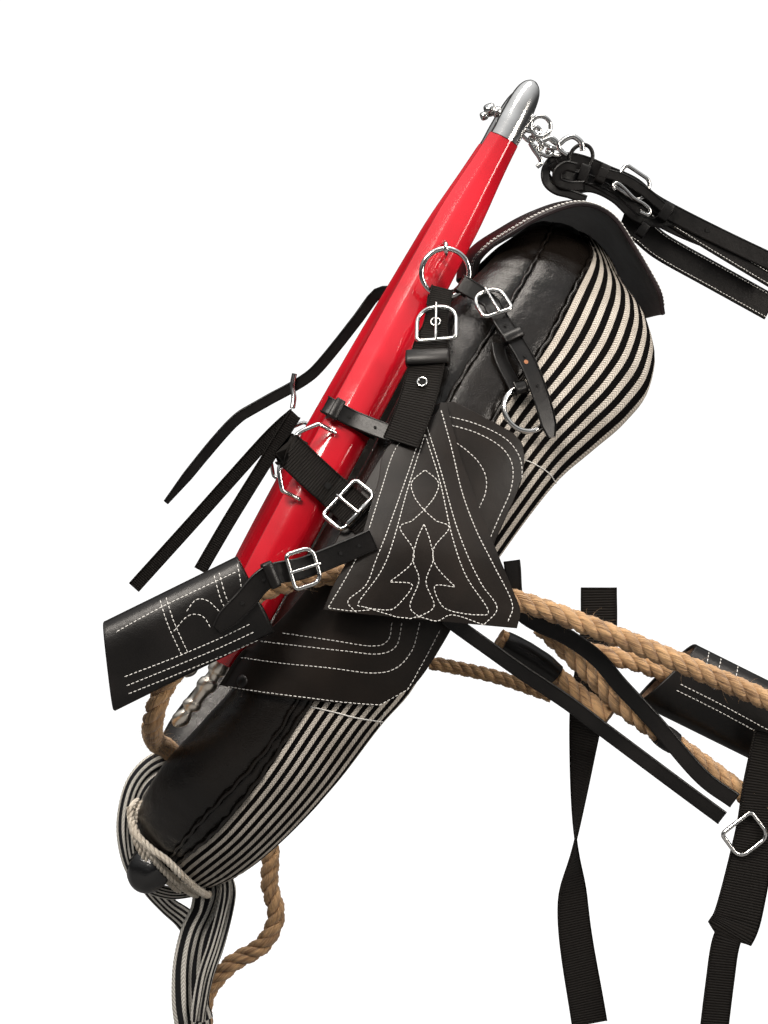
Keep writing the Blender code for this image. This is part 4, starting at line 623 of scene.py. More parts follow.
INNER_SHARE = 0.82
END_CLOSE_SHARES = ((0.0, 0.42), (0.25, 0.74), (0.7, 0.95), (1.0, 1.0))
END_ROUND = 0.034
ROLL_END_DROP = 0.013
ROLL_END_TURN = math.radians(9)
COLLAR_TURNS = 260


def leather_finish(name, dark, light, rough, grain, crease, bump=0.0004, shine=0.35):
    """Leather: a fine pebble grain over broader creases, duller where it is worn."""
    made = finish(name, light, rough)
    fine = add_node(made, "ShaderNodeTexVoronoi", Vector=stretched(made, "Object", (1, 1, 1)), Scale=grain)
    broad = mottle(made, "Object", crease, 5)
    worn = mottle(made, "Object", 14, 3)
    into(made, "Base Color", shades(made, worn, dark, light, 0.35, 0.75))
    into(made, "Roughness", between(made, worn, rough - 0.07, rough + 0.12))
    raised(made, arith(made, "ADD", arith(made, "MULTIPLY", fine.outputs["Distance"], 0.16), broad), bump)
    set_shader(made, Specular_IOR_Level=shine)
    return made


collar_leather = leather_finish("collar_leather", (0.0035, 0.0026, 0.002), (0.010, 0.0074, 0.0058), 0.24, 700,
                                60, 0.0013, 0.44)


def ticking_finish(name, stripes, cream, black, soil):
    """Ticking: cream and black stripes that run along the cloth, each woven in herringbone."""
    made = finish(name, cream, 0.85)
    apart = add_node(made, "ShaderNodeSeparateXYZ", Vector=stretched(made, "UV", (1, 1, 1)))

    def of(operation, a, b=0.0):
        return arith(made, operation, a, b)

    across = of("MULTIPLY", apart.outputs[0], stripes)
    from_middle = of("ABSOLUTE", of("SUBTRACT", of("FRACT", across), 0.5))
    striped = add_node(made, "ShaderNodeMapRange", Value=from_middle, i1=0.225, i2=0.255, i3=1.0,
                       i4=0.0).outputs["Result"]
    zig = of("ABSOLUTE", of("SUBTRACT", of("FRACT", of("MULTIPLY", across, 2)), 0.5))
    run = of("ADD", of("MULTIPLY", apart.outputs[1], 250), of("MULTIPLY", zig, 2.4))
    twill = of("ADD", of("MULTIPLY", of("SINE", of("MULTIPLY", run, 6.2832)), 0.5), 0.5)
    light = shades(made, mottle(made, "Object", 26, 5), soil, cream, 0.2, 0.6)
    woven = add_node(made, "ShaderNodeMix", data_type="RGBA", i0=of("MULTIPLY", twill, 0.62), i6=light,
                     i7=(0.11, 0.095, 0.08, 1))
    mixed = add_node(made, "ShaderNodeMix", data_type="RGBA", i0=striped, i6=(*black, 1), i7=woven.outputs[2])
    into(made, "Base Color", mixed.outputs[2])
    into(made, "Specular IOR Level", between(made, striped, 0.05, 0.3))
    raised(made, twill, 0.0005, 0.8)
    return made


ticking = ticking_finish("ticking", 8.5, (0.76, 0.70, 0.62), (0.0035, 0.003, 0.003), (0.46, 0.41, 0.35))
SEAM_DRAW = 0.0022
SEAM_REACH = 0.012
THIN_EDGE = 0.012


def round_neck(turn, back, grow, droop=0.0):
    """A place on the collar by its turn round the neck, grown all round."""
    wide = (HALF_SPREAD + grow) * math.sin(turn) * (1 - EGG_SHARE * math.cos(turn))
    return place(MIDDLE_RUN - (HALF_RUN + grow) * math.cos(turn) + droop, back, wide)


def padding_at(down):
    return HALF_PADDING * read_shares(PADDING_SHARES, down / COLLAR_LENGTH)


def collar_part(name, node, slot_name, from_edge, to_edge, steps, material):
    """One part of the collar between two of its edges, from throat end to throat end."""
    rings = []
    uvs = []
    turns = [END_TURN * (2 * i / COLLAR_TURNS - 1) for i in range(COLLAR_TURNS + 1)]
    round_turn = END_ROUND / HALF_SPREAD
    for end in (0.06, 0.14, 0.25, 0.4, 0.6, 0.8):
        turns += [END_TURN - round_turn * end, round_turn * end - END_TURN]
    turns.sort()
    leather = to_edge < 3
    for turn in turns:
        down = MIDDLE_RUN - HALF_RUN * math.cos(turn)
        marks = edges(down)
        front, rear = marks[0], marks[3]
        start = marks[from_edge] + (SEAM_GAP / 2 if from_edge else 0)
        stop = marks[to_edge] - (SEAM_GAP / 2 if leather else 0)
        close = read_shares(END_CLOSE_SHARES, (END_TURN - abs(turn)) / round_turn)
        padding = padding_at(down)
        droop = 0.0 if from_edge else ROLL_END_DROP * ease(1 - (END_TURN - abs(turn)) / ROLL_END_TURN)
        outer = []
        inner = []
        for i in range(steps + 1):
            bend = 0.5 - 0.5 * math.cos(math.pi * i / steps) if from_edge == 0 or not leather else i / steps
            back = start + (stop - start) * bend
            thick = padding * swell((back - front) / (rear - front))
            near_seam = min(1.0, abs(back - (stop if from_edge == 0 else start)) / SEAM_REACH)
            if from_edge == 1:
                near_seam = min(near_seam, abs(back - stop) / SEAM_REACH, 1.0)
            rub = noise.noise(Vector((turn * 5, back * 22, from_edge * 3.0))) * 0.0012
            ripple = noise.noise(Vector((turn * 36, back * 16, 1.0 + from_edge)))
            ripple *= 0.0016 if leather else 0.0007
            pull = noise.noise(Vector((turn * 95, back * 9, 4.0))) * SEAM_DRAW * (1 - near_seam) ** 0.6
            draw = -SEAM_DRAW * (1 - near_seam) ** 2 * (1 + 0.5 * math.sin(turn * 150))
            draw += pull if leather else 0.0
            thick += (rub + ripple + draw - 0.0012) * (1 if thick > THIN_EDGE else 0)
            back = (front + rear) / 2 + (back - (front + rear) / 2) * (0.35 + 0.65 * close)
            share = (i / steps) if leather else bend
            outer.append((back, thick * close, share))
            inner.append((back, -thick * INNER_SHARE * close, share))
        if outer[0][1] - inner[0][1] < SEAM_GAP:
            inner = inner[1:]
        if outer[-1][1] - inner[-1][1] < SEAM_GAP:
            inner = inner[:-1]
        section = outer + inner[::-1]
        rings.append([round_neck(turn, back, grow, droop) for back, grow, _ in section])
        uvs.append([(share, turn * HALF_RUN * 1.1) for _, _, share in section])
    made = fitted(skin(name, rings, uvs, material, sharp=75), "collar", slot_name, node)


collar_part("roll_leather", "collar_front_roll", "collar_leather", 0, 1, 20, collar_leather)
collar_part("wale_leather", "collar_leather_wale", "collar_leather", 1, 2, 12, collar_leather)
collar_part("ticking_cloth", "collar_ticking_body", "ticking", 2, 3, 30, ticking)

# Welts: cords covered in leather, piped into the seams between the roll, the wale and the ticking
# on both sides. The seam thread pulls each a little out of line.
WELT_RADIUS = 0.0017
WELT_STEPS = 260
WELT_DEPTH = 0.0016
WELT_FROM = 9
WELT_SWEEP = 155


def rod(name, points, radius, material, body, sides=16, slot_name="chrome", closed=False, radii=None):
    """A round rod or cord along points, capped or closed on itself."""
    turns = circle(sides, 0.5)
    made = tube(name, points, radius, material,
                lambda i, _: [(turn, radii[i] if radii else radius) for turn in turns], closed)
    return fitted(made, body, slot_name)


for name, edge, sign in (("near_welt", 1, 1), ("far_welt", 1, -1), ("near_tick_seam", 2, 1),
                         ("far_tick_seam", 2, -1)):
    line = []
    for k in range(WELT_STEPS):
        turn = sign * math.radians(WELT_FROM + WELT_SWEEP * k / (WELT_STEPS - 1))
        down = MIDDLE_RUN - HALF_RUN * math.cos(turn)
        marks = edges(down)
        share = (marks[edge] - marks[0]) / (marks[3] - marks[0])
        grow = padding_at(down) * swell(share) - WELT_DEPTH + 0.0004 * math.sin(k * 1.1)
        line.append(round_neck(turn, marks[edge] + 0.0007 * math.sin(k * 0.9), grow))
    rod(name, line, WELT_RADIUS, collar_leather, "collar", 10, "collar_leather")

# Thread: white waxed linen, a bead of thread for each machine stitch, with a few loose tacking
# threads left on the ticking. Rivets are domed heads set through the leather.
STITCH_LENGTH = 0.0032
STITCH_PITCH = 0.0043
STITCH_RADIUS = 0.00048
STITCH_PROFILE = ((-1, 0.35, -0.4), (-0.7, 0.9, 0.35), (0, 1.0, 0.6), (0.7, 0.9, 0.35), (1, 0.35, -0.4))
STITCH_SIDES = 5
TACK_MARKS = (
    ("tack_thread_upper", 0.0006, ((519, 459), (530, 462), (543, 469), (551, 476), (558, 488), (563, 499))),
    ("tack_thread_lower", 0.0006, ((303, 705), (330, 711), (358, 718), (386, 722))),
    ("tack_thread_end", 0.0005, ((384, 712), (380, 722), (383, 730))),
)
thread_white = finish("white_thread", (0.80, 0.79, 0.76), 0.6)
raised(thread_white, mottle(thread_white, "Object", 2400, 2), 0.0002)


def stitches(name, row, body, pitch=STITCH_PITCH, radius=STITCH_RADIUS):
    """A line of stitches along a row of (place, normal) on a surface."""
    gone = [0.0]
    for (a, _), (b, _) in zip(row, row[1:]):
        gone.append(gone[-1] + (b - a).length)
    points = []
    faces = []
    count = max(1, int(gone[-1] / pitch))
    half = STITCH_LENGTH / STITCH_PITCH * pitch / 2
    step = 0
    for s in range(count):
        at = gone[-1] * (s + 0.5) / count
        while step < len(gone) - 2 and gone[step + 1] < at:
            step += 1
        share = (at - gone[step]) / max(1e-9, gone[step + 1] - gone[step])
        (a, a_normal), (b, b_normal) = row[step:step + 2]
        centre = a.lerp(b, share)
        normal = unit(a_normal.lerp(b_normal, share))
        way = unit(b - a)
        side = unit(way.cross(normal))
        base = len(points)
        for along, size, lift in STITCH_PROFILE:
            for t in circle(STITCH_SIDES):
                points.append(centre + way * half * along
                              + (side * math.cos(t) + normal * (math.sin(t) + lift)) * radius * size)
        for ring in range(base, base + 4 * STITCH_SIDES, STITCH_SIDES):
            for j in range(STITCH_SIDES):
                m = (j + 1) % STITCH_SIDES
                faces.append((ring + j, ring + m, ring + STITCH_SIDES + m, ring + STITCH_SIDES + j))
        faces.append(tuple(range(base, base + STITCH_SIDES)))
        faces.append(tuple(range(base + 4 * STITCH_SIDES, base + 5 * STITCH_SIDES)))
    places = [(0.0, 0.0)] * sum(len(face) for face in faces)
    fitted(surface(name, points, faces, places, thread_white, 80), body, "cotton_cord")


def tree_of(made):
    bpy.context.view_layer.update()
    return BVHTree.FromObject(made, bpy.context.evaluated_depsgraph_get())


def lying_on(tree, marks, lift):
    """Places on a surface that show at marks in the picture, lifted off it, with their normals."""
    found = [tree.ray_cast(eye, sight(*mark[:2])) for mark in marks]
    return [(spot_at + normal * lift, normal) for spot_at, normal, _, _ in found if spot_at is not None]


def sewn(name, carrier, lines, body, **more):
    """Stitches on a carrier along lines of marks in the picture."""
    tree = tree_of(carrier)
    for k, line in enumerate(lines):
        row = lying_on(tree, flat_route(line, 10 if len(line) > 2 else 20), 0.0)
        if len(row) > 1:
            stitches(name + "_" + str(k + 1), row, body, **more)


def rivet_on(name, carrier, mark, radius, material):
    """A domed rivet head on a carrier, at a mark in the picture."""
    for centre, normal in lying_on(tree_of(carrier), [mark], 0.0):
        line = [centre + normal * radius * h for h in (-0.2, 0.05, 0.22, 0.36, 0.42)]
        rod(name, line, radius, material, "collar", 20, radii=[radius * s for s in (1.0, 1.0, 0.85, 0.5, 0.08)])


for name, radius, marks in TACK_MARKS:
    row = lying_on(tree_of(bpy.data.objects["ticking_cloth"]), flat_route(marks, 8), radius)
    rod(name, [spot_at for spot_at, _ in row], radius, thread_white, "collar", 6, "cotton_cord")

# Collar cap: a stiff leather roof over the top of the collar that keeps rain out of the stuffing,
# its edges bound, and sewn in white along both sides.
CAP_SPREAD = 0.19
CAP_DROOP = 0.010
CAP_LEATHER_THICKNESS = 0.0045
CAP_EDGE = 0.0012
CAP_COLUMNS = 24
CAP_SEWN_IN = (0.006, 0.011)
CAP_ARCH_SHARES = (
    (0.069, 0.347), (0.074, 0.372), (0.092, 0.392), (0.118, 0.409), (0.15, 0.427), (0.186, 0.441),
    (0.212, 0.444), (0.238, 0.437), (0.261, 0.42), (0.2815, 0.39), (0.3, 0.361), (0.317, 0.332),
    (0.327, 0.303),
)
CAP_WIDTH_SHARES = ((0, 0.62), (2, 0.9), (4, 1.0), (9, 1.0), (11, 0.95), (12, 0.8))
cap_leather = leather_finish("cap_leather", (0.006, 0.0035, 0.004), (0.022, 0.012, 0.014), 0.36, 900, 60)


def ease_edges(made, width, angle=30):
    """Rounds off the edges of a cut sheet."""
    edge = made.modifiers.new("edge", "BEVEL")
    edge.width = width
    edge.segments = 2
    edge.limit_method = "ANGLE"
    edge.angle_limit = math.radians(angle)


line = smooth_route([spot(x, 0, z) for x, z in CAP_ARCH_SHARES], 6)
rings = []
uvs = []
tops = []
for i, (point, way) in enumerate(zip(line, directions(line))):
    up = Vector((0, 1, 0)).cross(way) * -1
    half = CAP_SPREAD / 2 * read_shares(CAP_WIDTH_SHARES, i / 6)
    shares = [(order * (2 * j / CAP_COLUMNS - 1), deep)
              for deep, order in ((0.0, 1), (CAP_LEATHER_THICKNESS, -1)) for j in range(CAP_COLUMNS + 1)]
    rings.append([point + Vector((0, share * half, 0)) - up * (CAP_DROOP * share * share + deep)
                  for share, deep in shares])
    uvs.append([(share, length_of(line[:i + 1])) for share, _ in shares])
    tops.append((point, up, half))
cap = skin("cap_roof", rings, uvs, cap_leather, sharp=40)
ease_edges(cap, CAP_EDGE)
fitted(cap, "collar", "cap_leather", "collar_cap")
for side in (-1, 1):
    for k, inset in enumerate(CAP_SEWN_IN):
        row = []
        for point, up, half in tops[2:-2]:
            across = side * (half - inset)
            row.append((point + Vector((0, across, 0)) - up * (CAP_DROOP * (across / half) ** 2 - 0.0002), up))
        stitches("cap_stitches_" + ("near" if side < 0 else "far") + "_" + str(k + 1), row, "collar")

# Hames: two steel bars with eased ridges, painted gloss red and lacquered, that lie in the groove
# between roll and wale and carry the draught.
HAME_TOP_SPREAD = 0.094
HAME_TOP_SHARE = -0.011
HAME_FOOT_SHARE = 0.70
HAME_JOIN_SHARE = 0.238
HAME_TOP_SLOPE = 0.25
HAME_WIDTH_SHARES = ((-0.02, 0.66), (0.02, 0.74), (0.12, 0.96), (0.36, 1.0), (0.55, 0.98), (0.70, 0.9))
HAME_BACK_SHARES = (
    (-0.02, 0.14), (0.0, 0.12), (0.21, 0.0), (0.34, -0.06), (0.51, -0.12), (0.7, -0.14), (0.8, -0.36),
)
HAME_SECTION_SHARES = (
    (-1, -0.45), (-0.72, -1), (0.72, -1), (1, -0.45), (1, 0.3), (0.42, 1), (-0.42, 1), (-1, 0.3),
)


def hame_out(down):
    """How far out the middle of a hame lies: on the collar's outline, and straighter at its top."""
    join = HAME_JOIN_SHARE * COLLAR_LENGTH
    if down >= join:
        return egg_out(down, 0)
    top = HAME_TOP_SPREAD / 2
    if down <= 0:
        return top + HAME_TOP_SLOPE * down
    nudge = join / 200
    slope = (egg_out(join + nudge, 0) - egg_out(join - nudge, 0)) / (2 * nudge)
    t = down / join
    return (
        (2 * t ** 3 - 3 * t ** 2 + 1) * top + (t ** 3 - 2 * t ** 2 + t) * join * HAME_TOP_SLOPE
        + (3 * t ** 2 - 2 * t ** 3) * egg_out(join, 0) + (t ** 3 - t ** 2) * join * slope
    )


def hame_middle(down):
    return read_shares(HAME_BACK_SHARES, down / COLLAR_LENGTH) * HAME_WIDTH


def hame_point(down, back=0.0, out=0.0):
    """A point by its distances from the middle of the near hame."""
    return place(down, hame_middle(down) + back, hame_out(down) + out)


HAME_RINGS = 110
EDGE_CUT_SHARE = 0.2
hame_red = finish("hame_red", (0.62, 0.006, 0.018), 0.16)
into(hame_red, "Base Color", shades(hame_red, mottle(hame_red, "Object", 9, 2), (0.40, 0.003, 0.010),
                                    (0.66, 0.008, 0.022), 0.3, 0.7))
into(hame_red, "Roughness", between(hame_red, mottle(hame_red, "Object", 60, 4), 0.10, 0.24))
raised(hame_red, mottle(hame_red, "Object", 120, 2), 0.00025, 0.5)
set_shader(hame_red, Coat_Weight=0.6, Coat_Roughness=0.05)


def rounded_section(shares):
    """The bar's section with its ridges eased."""
    eased = []
    for i, corner in enumerate(shares):
        before, after = shares[i - 1], shares[(i + 1) % len(shares)]
        a = [c + (b - c) * EDGE_CUT_SHARE for c, b in zip(corner, before)]
        b = [c + (d - c) * EDGE_CUT_SHARE for c, d in zip(corner, after)]
        for t in (0.0, 0.33, 0.67, 1.0):
            eased.append([(1 - t) ** 2 * p + 2 * t * (1 - t) * c + t * t * q for p, c, q in zip(a, corner, b)])
    return eased


def pair(made, nodes, slot_name, bodies=("collar", "collar")):
    """Puts a near piece and its mirror image, for the far side of the horse, in the frame."""
    mesh = made.data.copy()
    for vertex in mesh.vertices:
        vertex.co.y = -vertex.co.y
    mesh.flip_normals()
    other = in_scene(made.name.replace("near", "far"), mesh)
    fitted(made, bodies[0], slot_name, nodes[0])
    return fitted(other, bodies[1], slot_name, nodes[1])


shape = rounded_section(HAME_SECTION_SHARES)
rings = []
uvs = []
for i in range(HAME_RINGS + 1):
    share = HAME_TOP_SHARE + (HAME_FOOT_SHARE - HAME_TOP_SHARE) * i / HAME_RINGS
    half = HAME_WIDTH / 2 * read_shares(HAME_WIDTH_SHARES, share)
    rings.append([hame_point(share * COLLAR_LENGTH, x * half, y * HAME_THICKNESS / 2) for x, y in shape])
    uvs.append([(x, share * COLLAR_LENGTH) for x, _ in shape])
pair(skin("near_hame_bar", rings, uvs, hame_red), ("near_hame", "far_hame"), "hame_red")

# Hame caps, feet, staples and rings: steel, chromed and polished, a little scratched. The caps and
# feet are turned and pushed on to the hames; each staple holds its ring loosely.
CAP_LENGTH = 0.064
CAP_RISE = 0.008
CAP_WIDTH = 0.032
FOOT_LENGTH = 0.078
FOOT_RADIUS = 0.0092
CAP_PROFILE_SHARES = (
    (0.0, 0.98), (0.3, 1.0), (0.6, 0.94), (0.8, 0.81), (0.92, 0.58), (0.985, 0.28), (1.0, 0.07),
)
CAP_FLAT_SHARE = 0.86
FOOT_PROFILE_SHARES = (
    (0.0, 0.9), (0.06, 1.0), (0.13, 1.0), (0.17, 0.72), (0.24, 0.72), (0.28, 1.0), (0.36, 1.06), (0.43, 0.8),
    (0.56, 0.72), (0.62, 0.95), (0.68, 0.95), (0.73, 0.55), (0.8, 0.8), (0.88, 0.92), (0.95, 0.7),
    (1.0, 0.25),
)
RING_ROD = 0.0026
HOOP_STEPS = 72
HOOP_SIDES = 16
HAME_RING_RADIUS = 0.0238
HAME_RING_STAND = 0.0355
STAPLE_ROD = 0.0022
STAPLE_REACH = 0.0072
RING_SHARE = 0.180
RING_BACK = 0.012
RING_CENTRE = place(RING_SHARE * COLLAR_LENGTH, RING_BACK,
                    hame_out(RING_SHARE * COLLAR_LENGTH) + HAME_RING_STAND)
RING_TOP = RING_CENTRE + Vector((0, 0, HAME_RING_RADIUS))
chrome = finish("chrome", (0.80, 0.80, 0.79), 0.1, 1.0)
into(chrome, "Roughness", between(chrome, mottle(chrome, "Object", 90, 5), 0.05, 0.22))
into(chrome, "Base Color", shades(chrome, mottle(chrome, "Object", 40, 3), (0.62, 0.62, 0.61),
                                  (0.86, 0.86, 0.85)))
raised(chrome, mottle(chrome, "Object", 260, 3), 0.00012, 0.4)
# The chromed feet get a paler, warmer and rougher copy of the chrome. This is painted light that makes up for the
# dark floor their polish would reflect.
foot_metal = finish("foot_metal", (0.92, 0.86, 0.76), 0.3, 1.0)
into(foot_metal, "Roughness", between(foot_metal, mottle(foot_metal, "Object", 90, 5), 0.22, 0.40))


def turned(name, profile, top, length, wide, deep, sides, steps, metal):
    """A turned piece on the hame's line, from a profile of (place, size) shares."""
    rings = []
    uvs = []
    for row in flat_route(profile, steps):
        down = top + length * row.x
        size = max(0.02, row.y)
        rings.append([hame_point(down, wide * size * math.cos(t), deep * size * math.sin(t))
                      for t in circle(sides)])
        uvs.append([(t * wide, down) for t in circle(sides)])
    return skin(name, rings, uvs, metal, sharp=60, wrap=2 * math.pi * wide)


def hoop(name, centre, normal, radius, rod_radius, body, *nodes):
    """A round ring of chromed rod."""
    side = unit(normal.orthogonal())
    other = unit(normal).cross(side)
    rings = []
    uvs = []
    for i, turn in enumerate(circle(HOOP_STEPS)):
        point = centre + (side * math.cos(turn) + other * math.sin(turn)) * radius
        way = unit(point - centre)
        rings.append([point + (way * math.cos(s) + unit(normal) * math.sin(s)) * rod_radius
                      for s in circle(HOOP_SIDES)])
        uvs.append([(s * rod_radius, i * radius / 11.5) for s in circle(HOOP_SIDES)])
    made = skin(name, rings, uvs, chrome, closed=True, sharp=70, wrap=2 * math.pi * rod_radius)
    return fitted(made, body, "chrome", *nodes)


cap = turned("near_cap_shell", CAP_PROFILE_SHARES, HAME_TOP_SHARE * COLLAR_LENGTH - SEAT_GAP,
             -CAP_LENGTH - CAP_RISE, CAP_WIDTH / 2, CAP_WIDTH / 2 * CAP_FLAT_SHARE, 48, 5, chrome)
pair(cap, ("near_hame_cap", "far_hame_cap"), "chrome")
foot = turned("near_foot_bead", FOOT_PROFILE_SHARES, HAME_FOOT_SHARE * COLLAR_LENGTH + SEAT_GAP, FOOT_LENGTH,
              FOOT_RADIUS, FOOT_RADIUS, 36, 4, foot_metal)
pair(foot, ("near_hame_foot", "far_hame_foot"), "chrome")
bow = STAPLE_ROD + RING_ROD + SEAT_GAP
line = []
for height in (-1, 1):
    level = RING_TOP + Vector((0, 0, height * STAPLE_REACH))
    foot_down = level.dot(DOWN) + NECK_DOWN_SHARE * COLLAR_LENGTH
    foot_out = hame_out(foot_down + STAPLE_ROD) + HAME_THICKNESS / 2 + SEAT_GAP
    arm = [Vector((level.x, -foot_out, level.z)), Vector((level.x, level.y + bow, level.z))]
    arm += [RING_TOP + Vector((0, -bow * math.sin(t), height * bow * math.cos(t)))
            for t in [math.pi / 2 * k / 10 for k in range(1, 10)]]
    line += arm if height < 0 else arm[::-1]
pair(rod("near_ring_staple", line, STAPLE_ROD, chrome, "collar"), ("near_staple", "far_staple"), "chrome")
near_ring = hoop("near_ring_hoop", RING_CENTRE, Vector((0, 1, 0)), HAME_RING_RADIUS, RING_ROD, "near_ring")
pair(near_ring, ("near_hame_ring", "far_hame_ring"), "chrome", ("near_ring", "far_ring"))

# Hame links: chromed rod, bent to hook over the front of each hame, with a straight bar that the
# draught webbing is folded round.
LINK_ROD = 0.0023
LINK_STAND = 0.0082
LINK_REACH = 0.0165
LINK_TOP_SHARE = 0.408
LINK_LOW_SHARE = 0.494
LINK_BAR_SHARES = (0.428, 0.474)
half = HAME_WIDTH / 2
seat = HAME_THICKNESS / 2 + LINK_ROD + SEAT_GAP
route = [hame_point(share * COLLAR_LENGTH, back, out) for share, back, out in (
    (LINK_TOP_SHARE, -half * 0.35, seat), (LINK_TOP_SHARE, -half * 0.6, seat + LINK_STAND * 0.2),
    (LINK_TOP_SHARE, -half - LINK_REACH * 0.2, seat + LINK_STAND),
    (LINK_BAR_SHARES[0], -half - LINK_REACH, seat + LINK_STAND),
    (LINK_BAR_SHARES[1], -half - LINK_REACH, seat + LINK_STAND),
    (LINK_LOW_SHARE, -half - LINK_REACH * 0.2, seat + LINK_STAND),
    (LINK_LOW_SHARE, -half * 0.6, seat + LINK_STAND * 0.2), (LINK_LOW_SHARE, -half * 0.35, seat))]
eased = [route[0]]
for a, b, c in zip(route, route[1:], route[2:]):
    eased += [b.lerp(a, 0.2), b.lerp(a, 0.06).lerp(b.lerp(c, 0.06), 0.5), b.lerp(c, 0.2)]
eased.append(route[-1])
pair(rod("near_link_rod", eased, LINK_ROD, chrome, "collar"), ("near_hame_link", "far_hame_link"), "chrome")

# Housings: shaped pads of black bridle leather that lie over the collar's sides, fixed under the
# draught webbing, with rows of white stitching that follow their edges.
LEATHER = 0.0038
HOUSING_LENGTH = 0.35
HOUSING_TOP_SHARES = (0.312, 0.30)
HOUSING_AXIS_SHARES = (1, 0)
HOUSING_ROWS_SHARES = (
    (0.0, 0.0, 0.0, 0.183), (0.037, -0.046, 0.023, 0.228), (0.103, -0.086, 0.103, 0.263),
    (0.237, -0.111, 0.237, 0.271), (0.394, -0.117, 0.366, 0.274), (0.551, -0.117, 0.509, 0.277),
    (0.694, -0.137, 0.637, 0.271), (0.809, -0.171, 0.729, 0.257), (0.883, -0.2, 0.777, 0.226),
    (0.986, -0.209, 0.826, 0.194),
)
STRAP_LEATHER = 0.003
WEBBING = 0.003
WEBBING_WIDTH = 0.0365
DRAUGHT_LIFT = LEATHER + LAYER_GAP
APRON_LIFT = DRAUGHT_LIFT + WEBBING + LAYER_GAP
APRON_HEIGHT = 0.205
APRON_TOP_SHARES = (0.320, 0.26)
APRON_AXIS_SHARES = (0.9388, 0.3445)
APRON_ROWS_SHARES = (
    (0.0, -0.012, 0.0, 0.016), (0.068, -0.04, 0.068, 0.041), (0.242, -0.234, 0.242, 0.107),
    (0.394, -0.259, 0.394, 0.182), (0.512, -0.285, 0.512, 0.24), (0.668, -0.319, 0.668, 0.322),
    (0.805, -0.378, 0.805, 0.4), (0.9, -0.417, 0.89, 0.444), (1.0, -0.443, 0.973, 0.439),
)
APRON_RISE_SHARES = (0.26, 0.70)


def apron_lift(down, back):
    """The flap's lift: close to the housing at its top and over the rope further down."""
    from_top = (down - APRON_TOP_SHARES[0] * COLLAR_LENGTH, back - APRON_TOP_SHARES[1] * COLLAR_DEPTH)
    along = (from_top[0] * APRON_AXIS_SHARES[0] + from_top[1] * APRON_AXIS_SHARES[1]) / APRON_HEIGHT
    start, stop = APRON_RISE_SHARES
    front, _, _, rear = edges(down)
    behind = ease((2 * back - front - rear) / (rear - front) * 4)
    rise = LEATHER + 2 * ROPE_RADIUS + 5 * LAYER_GAP - APRON_LIFT
    rise += behind * (HALF_PADDING + COVER_GAP - cover_grow(down, back))
    return APRON_LIFT + rise * ease((along - start) / (stop - start))


bridle = leather_finish("bridle_leather", (0.0035, 0.0033, 0.0033), (0.011, 0.0095, 0.009), 0.33, 1100, 90)
panel_leather = leather_finish("panel_leather", (0.0045, 0.0033, 0.0026), (0.013, 0.0085, 0.006), 0.42, 1300, 70,
                               0.0003, 0.25)
PANEL_COLUMNS = 34
PANEL_EDGE = 0.0009
PANEL_EDGE_ANGLE = 50


def panel(name, corner, axis, rows, size, lift_at):
    """A leather sheet on the collar's cover, with its edges eased."""
    left = flat_route([row[:2] for row in rows], 7)
    right = flat_route([row[2:] for row in rows], 7)
    points = []
    spots = []
    for extra in (0.0, LEATHER):
        for a, b in zip(left, right):
            for k in range(PANEL_COLUMNS + 1):
                along, across, _ = a.lerp(b, k / PANEL_COLUMNS) * size
                down = corner[0] * COLLAR_LENGTH + along * axis[0] - across * axis[1]
                back = corner[1] * COLLAR_DEPTH + along * axis[1] + across * axis[0]
                points.append(on_cover(down, back, lift_at(down, back) + extra))
                spots.append((across, along))
    wide = PANEL_COLUMNS + 1
    layer = wide * len(left)
    last = layer - wide
    faces = []
    rim = [(k, k + 1) for k in range(PANEL_COLUMNS)] + [(last + k + 1, last + k) for k in range(PANEL_COLUMNS)]
    for start in range(0, last, wide):
        for a in range(start, start + PANEL_COLUMNS):
            quad = (a, a + 1, a + wide + 1, a + wide)
            faces += [quad, tuple(q + layer for q in quad[::-1])]
        rim += [(start + wide, start), (start + PANEL_COLUMNS, start + wide + PANEL_COLUMNS)]
    faces += [(a, b, b + layer, a + layer) for a, b in rim]
    made = surface(name, points, faces, [spots[q] for face in faces for q in face], panel_leather, 40)
    ease_edges(made, PANEL_EDGE, PANEL_EDGE_ANGLE)
    return made


housing = panel("near_housing_pad", HOUSING_TOP_SHARES, HOUSING_AXIS_SHARES, HOUSING_ROWS_SHARES, HOUSING_LENGTH,
                lambda down, back: 0.0)
far_housing = pair(housing, ("near_housing", "far_housing"), "bridle_leather")
ease_edges(far_housing, PANEL_EDGE, PANEL_EDGE_ANGLE)
HOUSING_LINES = (
    ((447, 416), (476, 424), (503, 437), (517, 452), (522, 470), (519, 494), (508, 520), (497, 545)),
    ((446, 424), (474, 432), (497, 444), (509, 457), (513, 472), (510, 492), (500, 515), (490, 538)),
    ((452, 440), (466, 450), (479, 463), (486, 478), (485, 494), (478, 510)),
    ((282, 633), (330, 640), (372, 646), (388, 640), (392, 622)),
    ((250, 640), (300, 646), (345, 651), (378, 654), (396, 646), (402, 622)),
    ((236, 657), (280, 663), (330, 668), (372, 673), (396, 668), (412, 650), (420, 622)),
    ((224, 686), (262, 692), (310, 698), (352, 703), (386, 704), (404, 694), (422, 664), (440, 630)),
)
sewn("housing_stitches", housing, HOUSING_LINES, "collar")

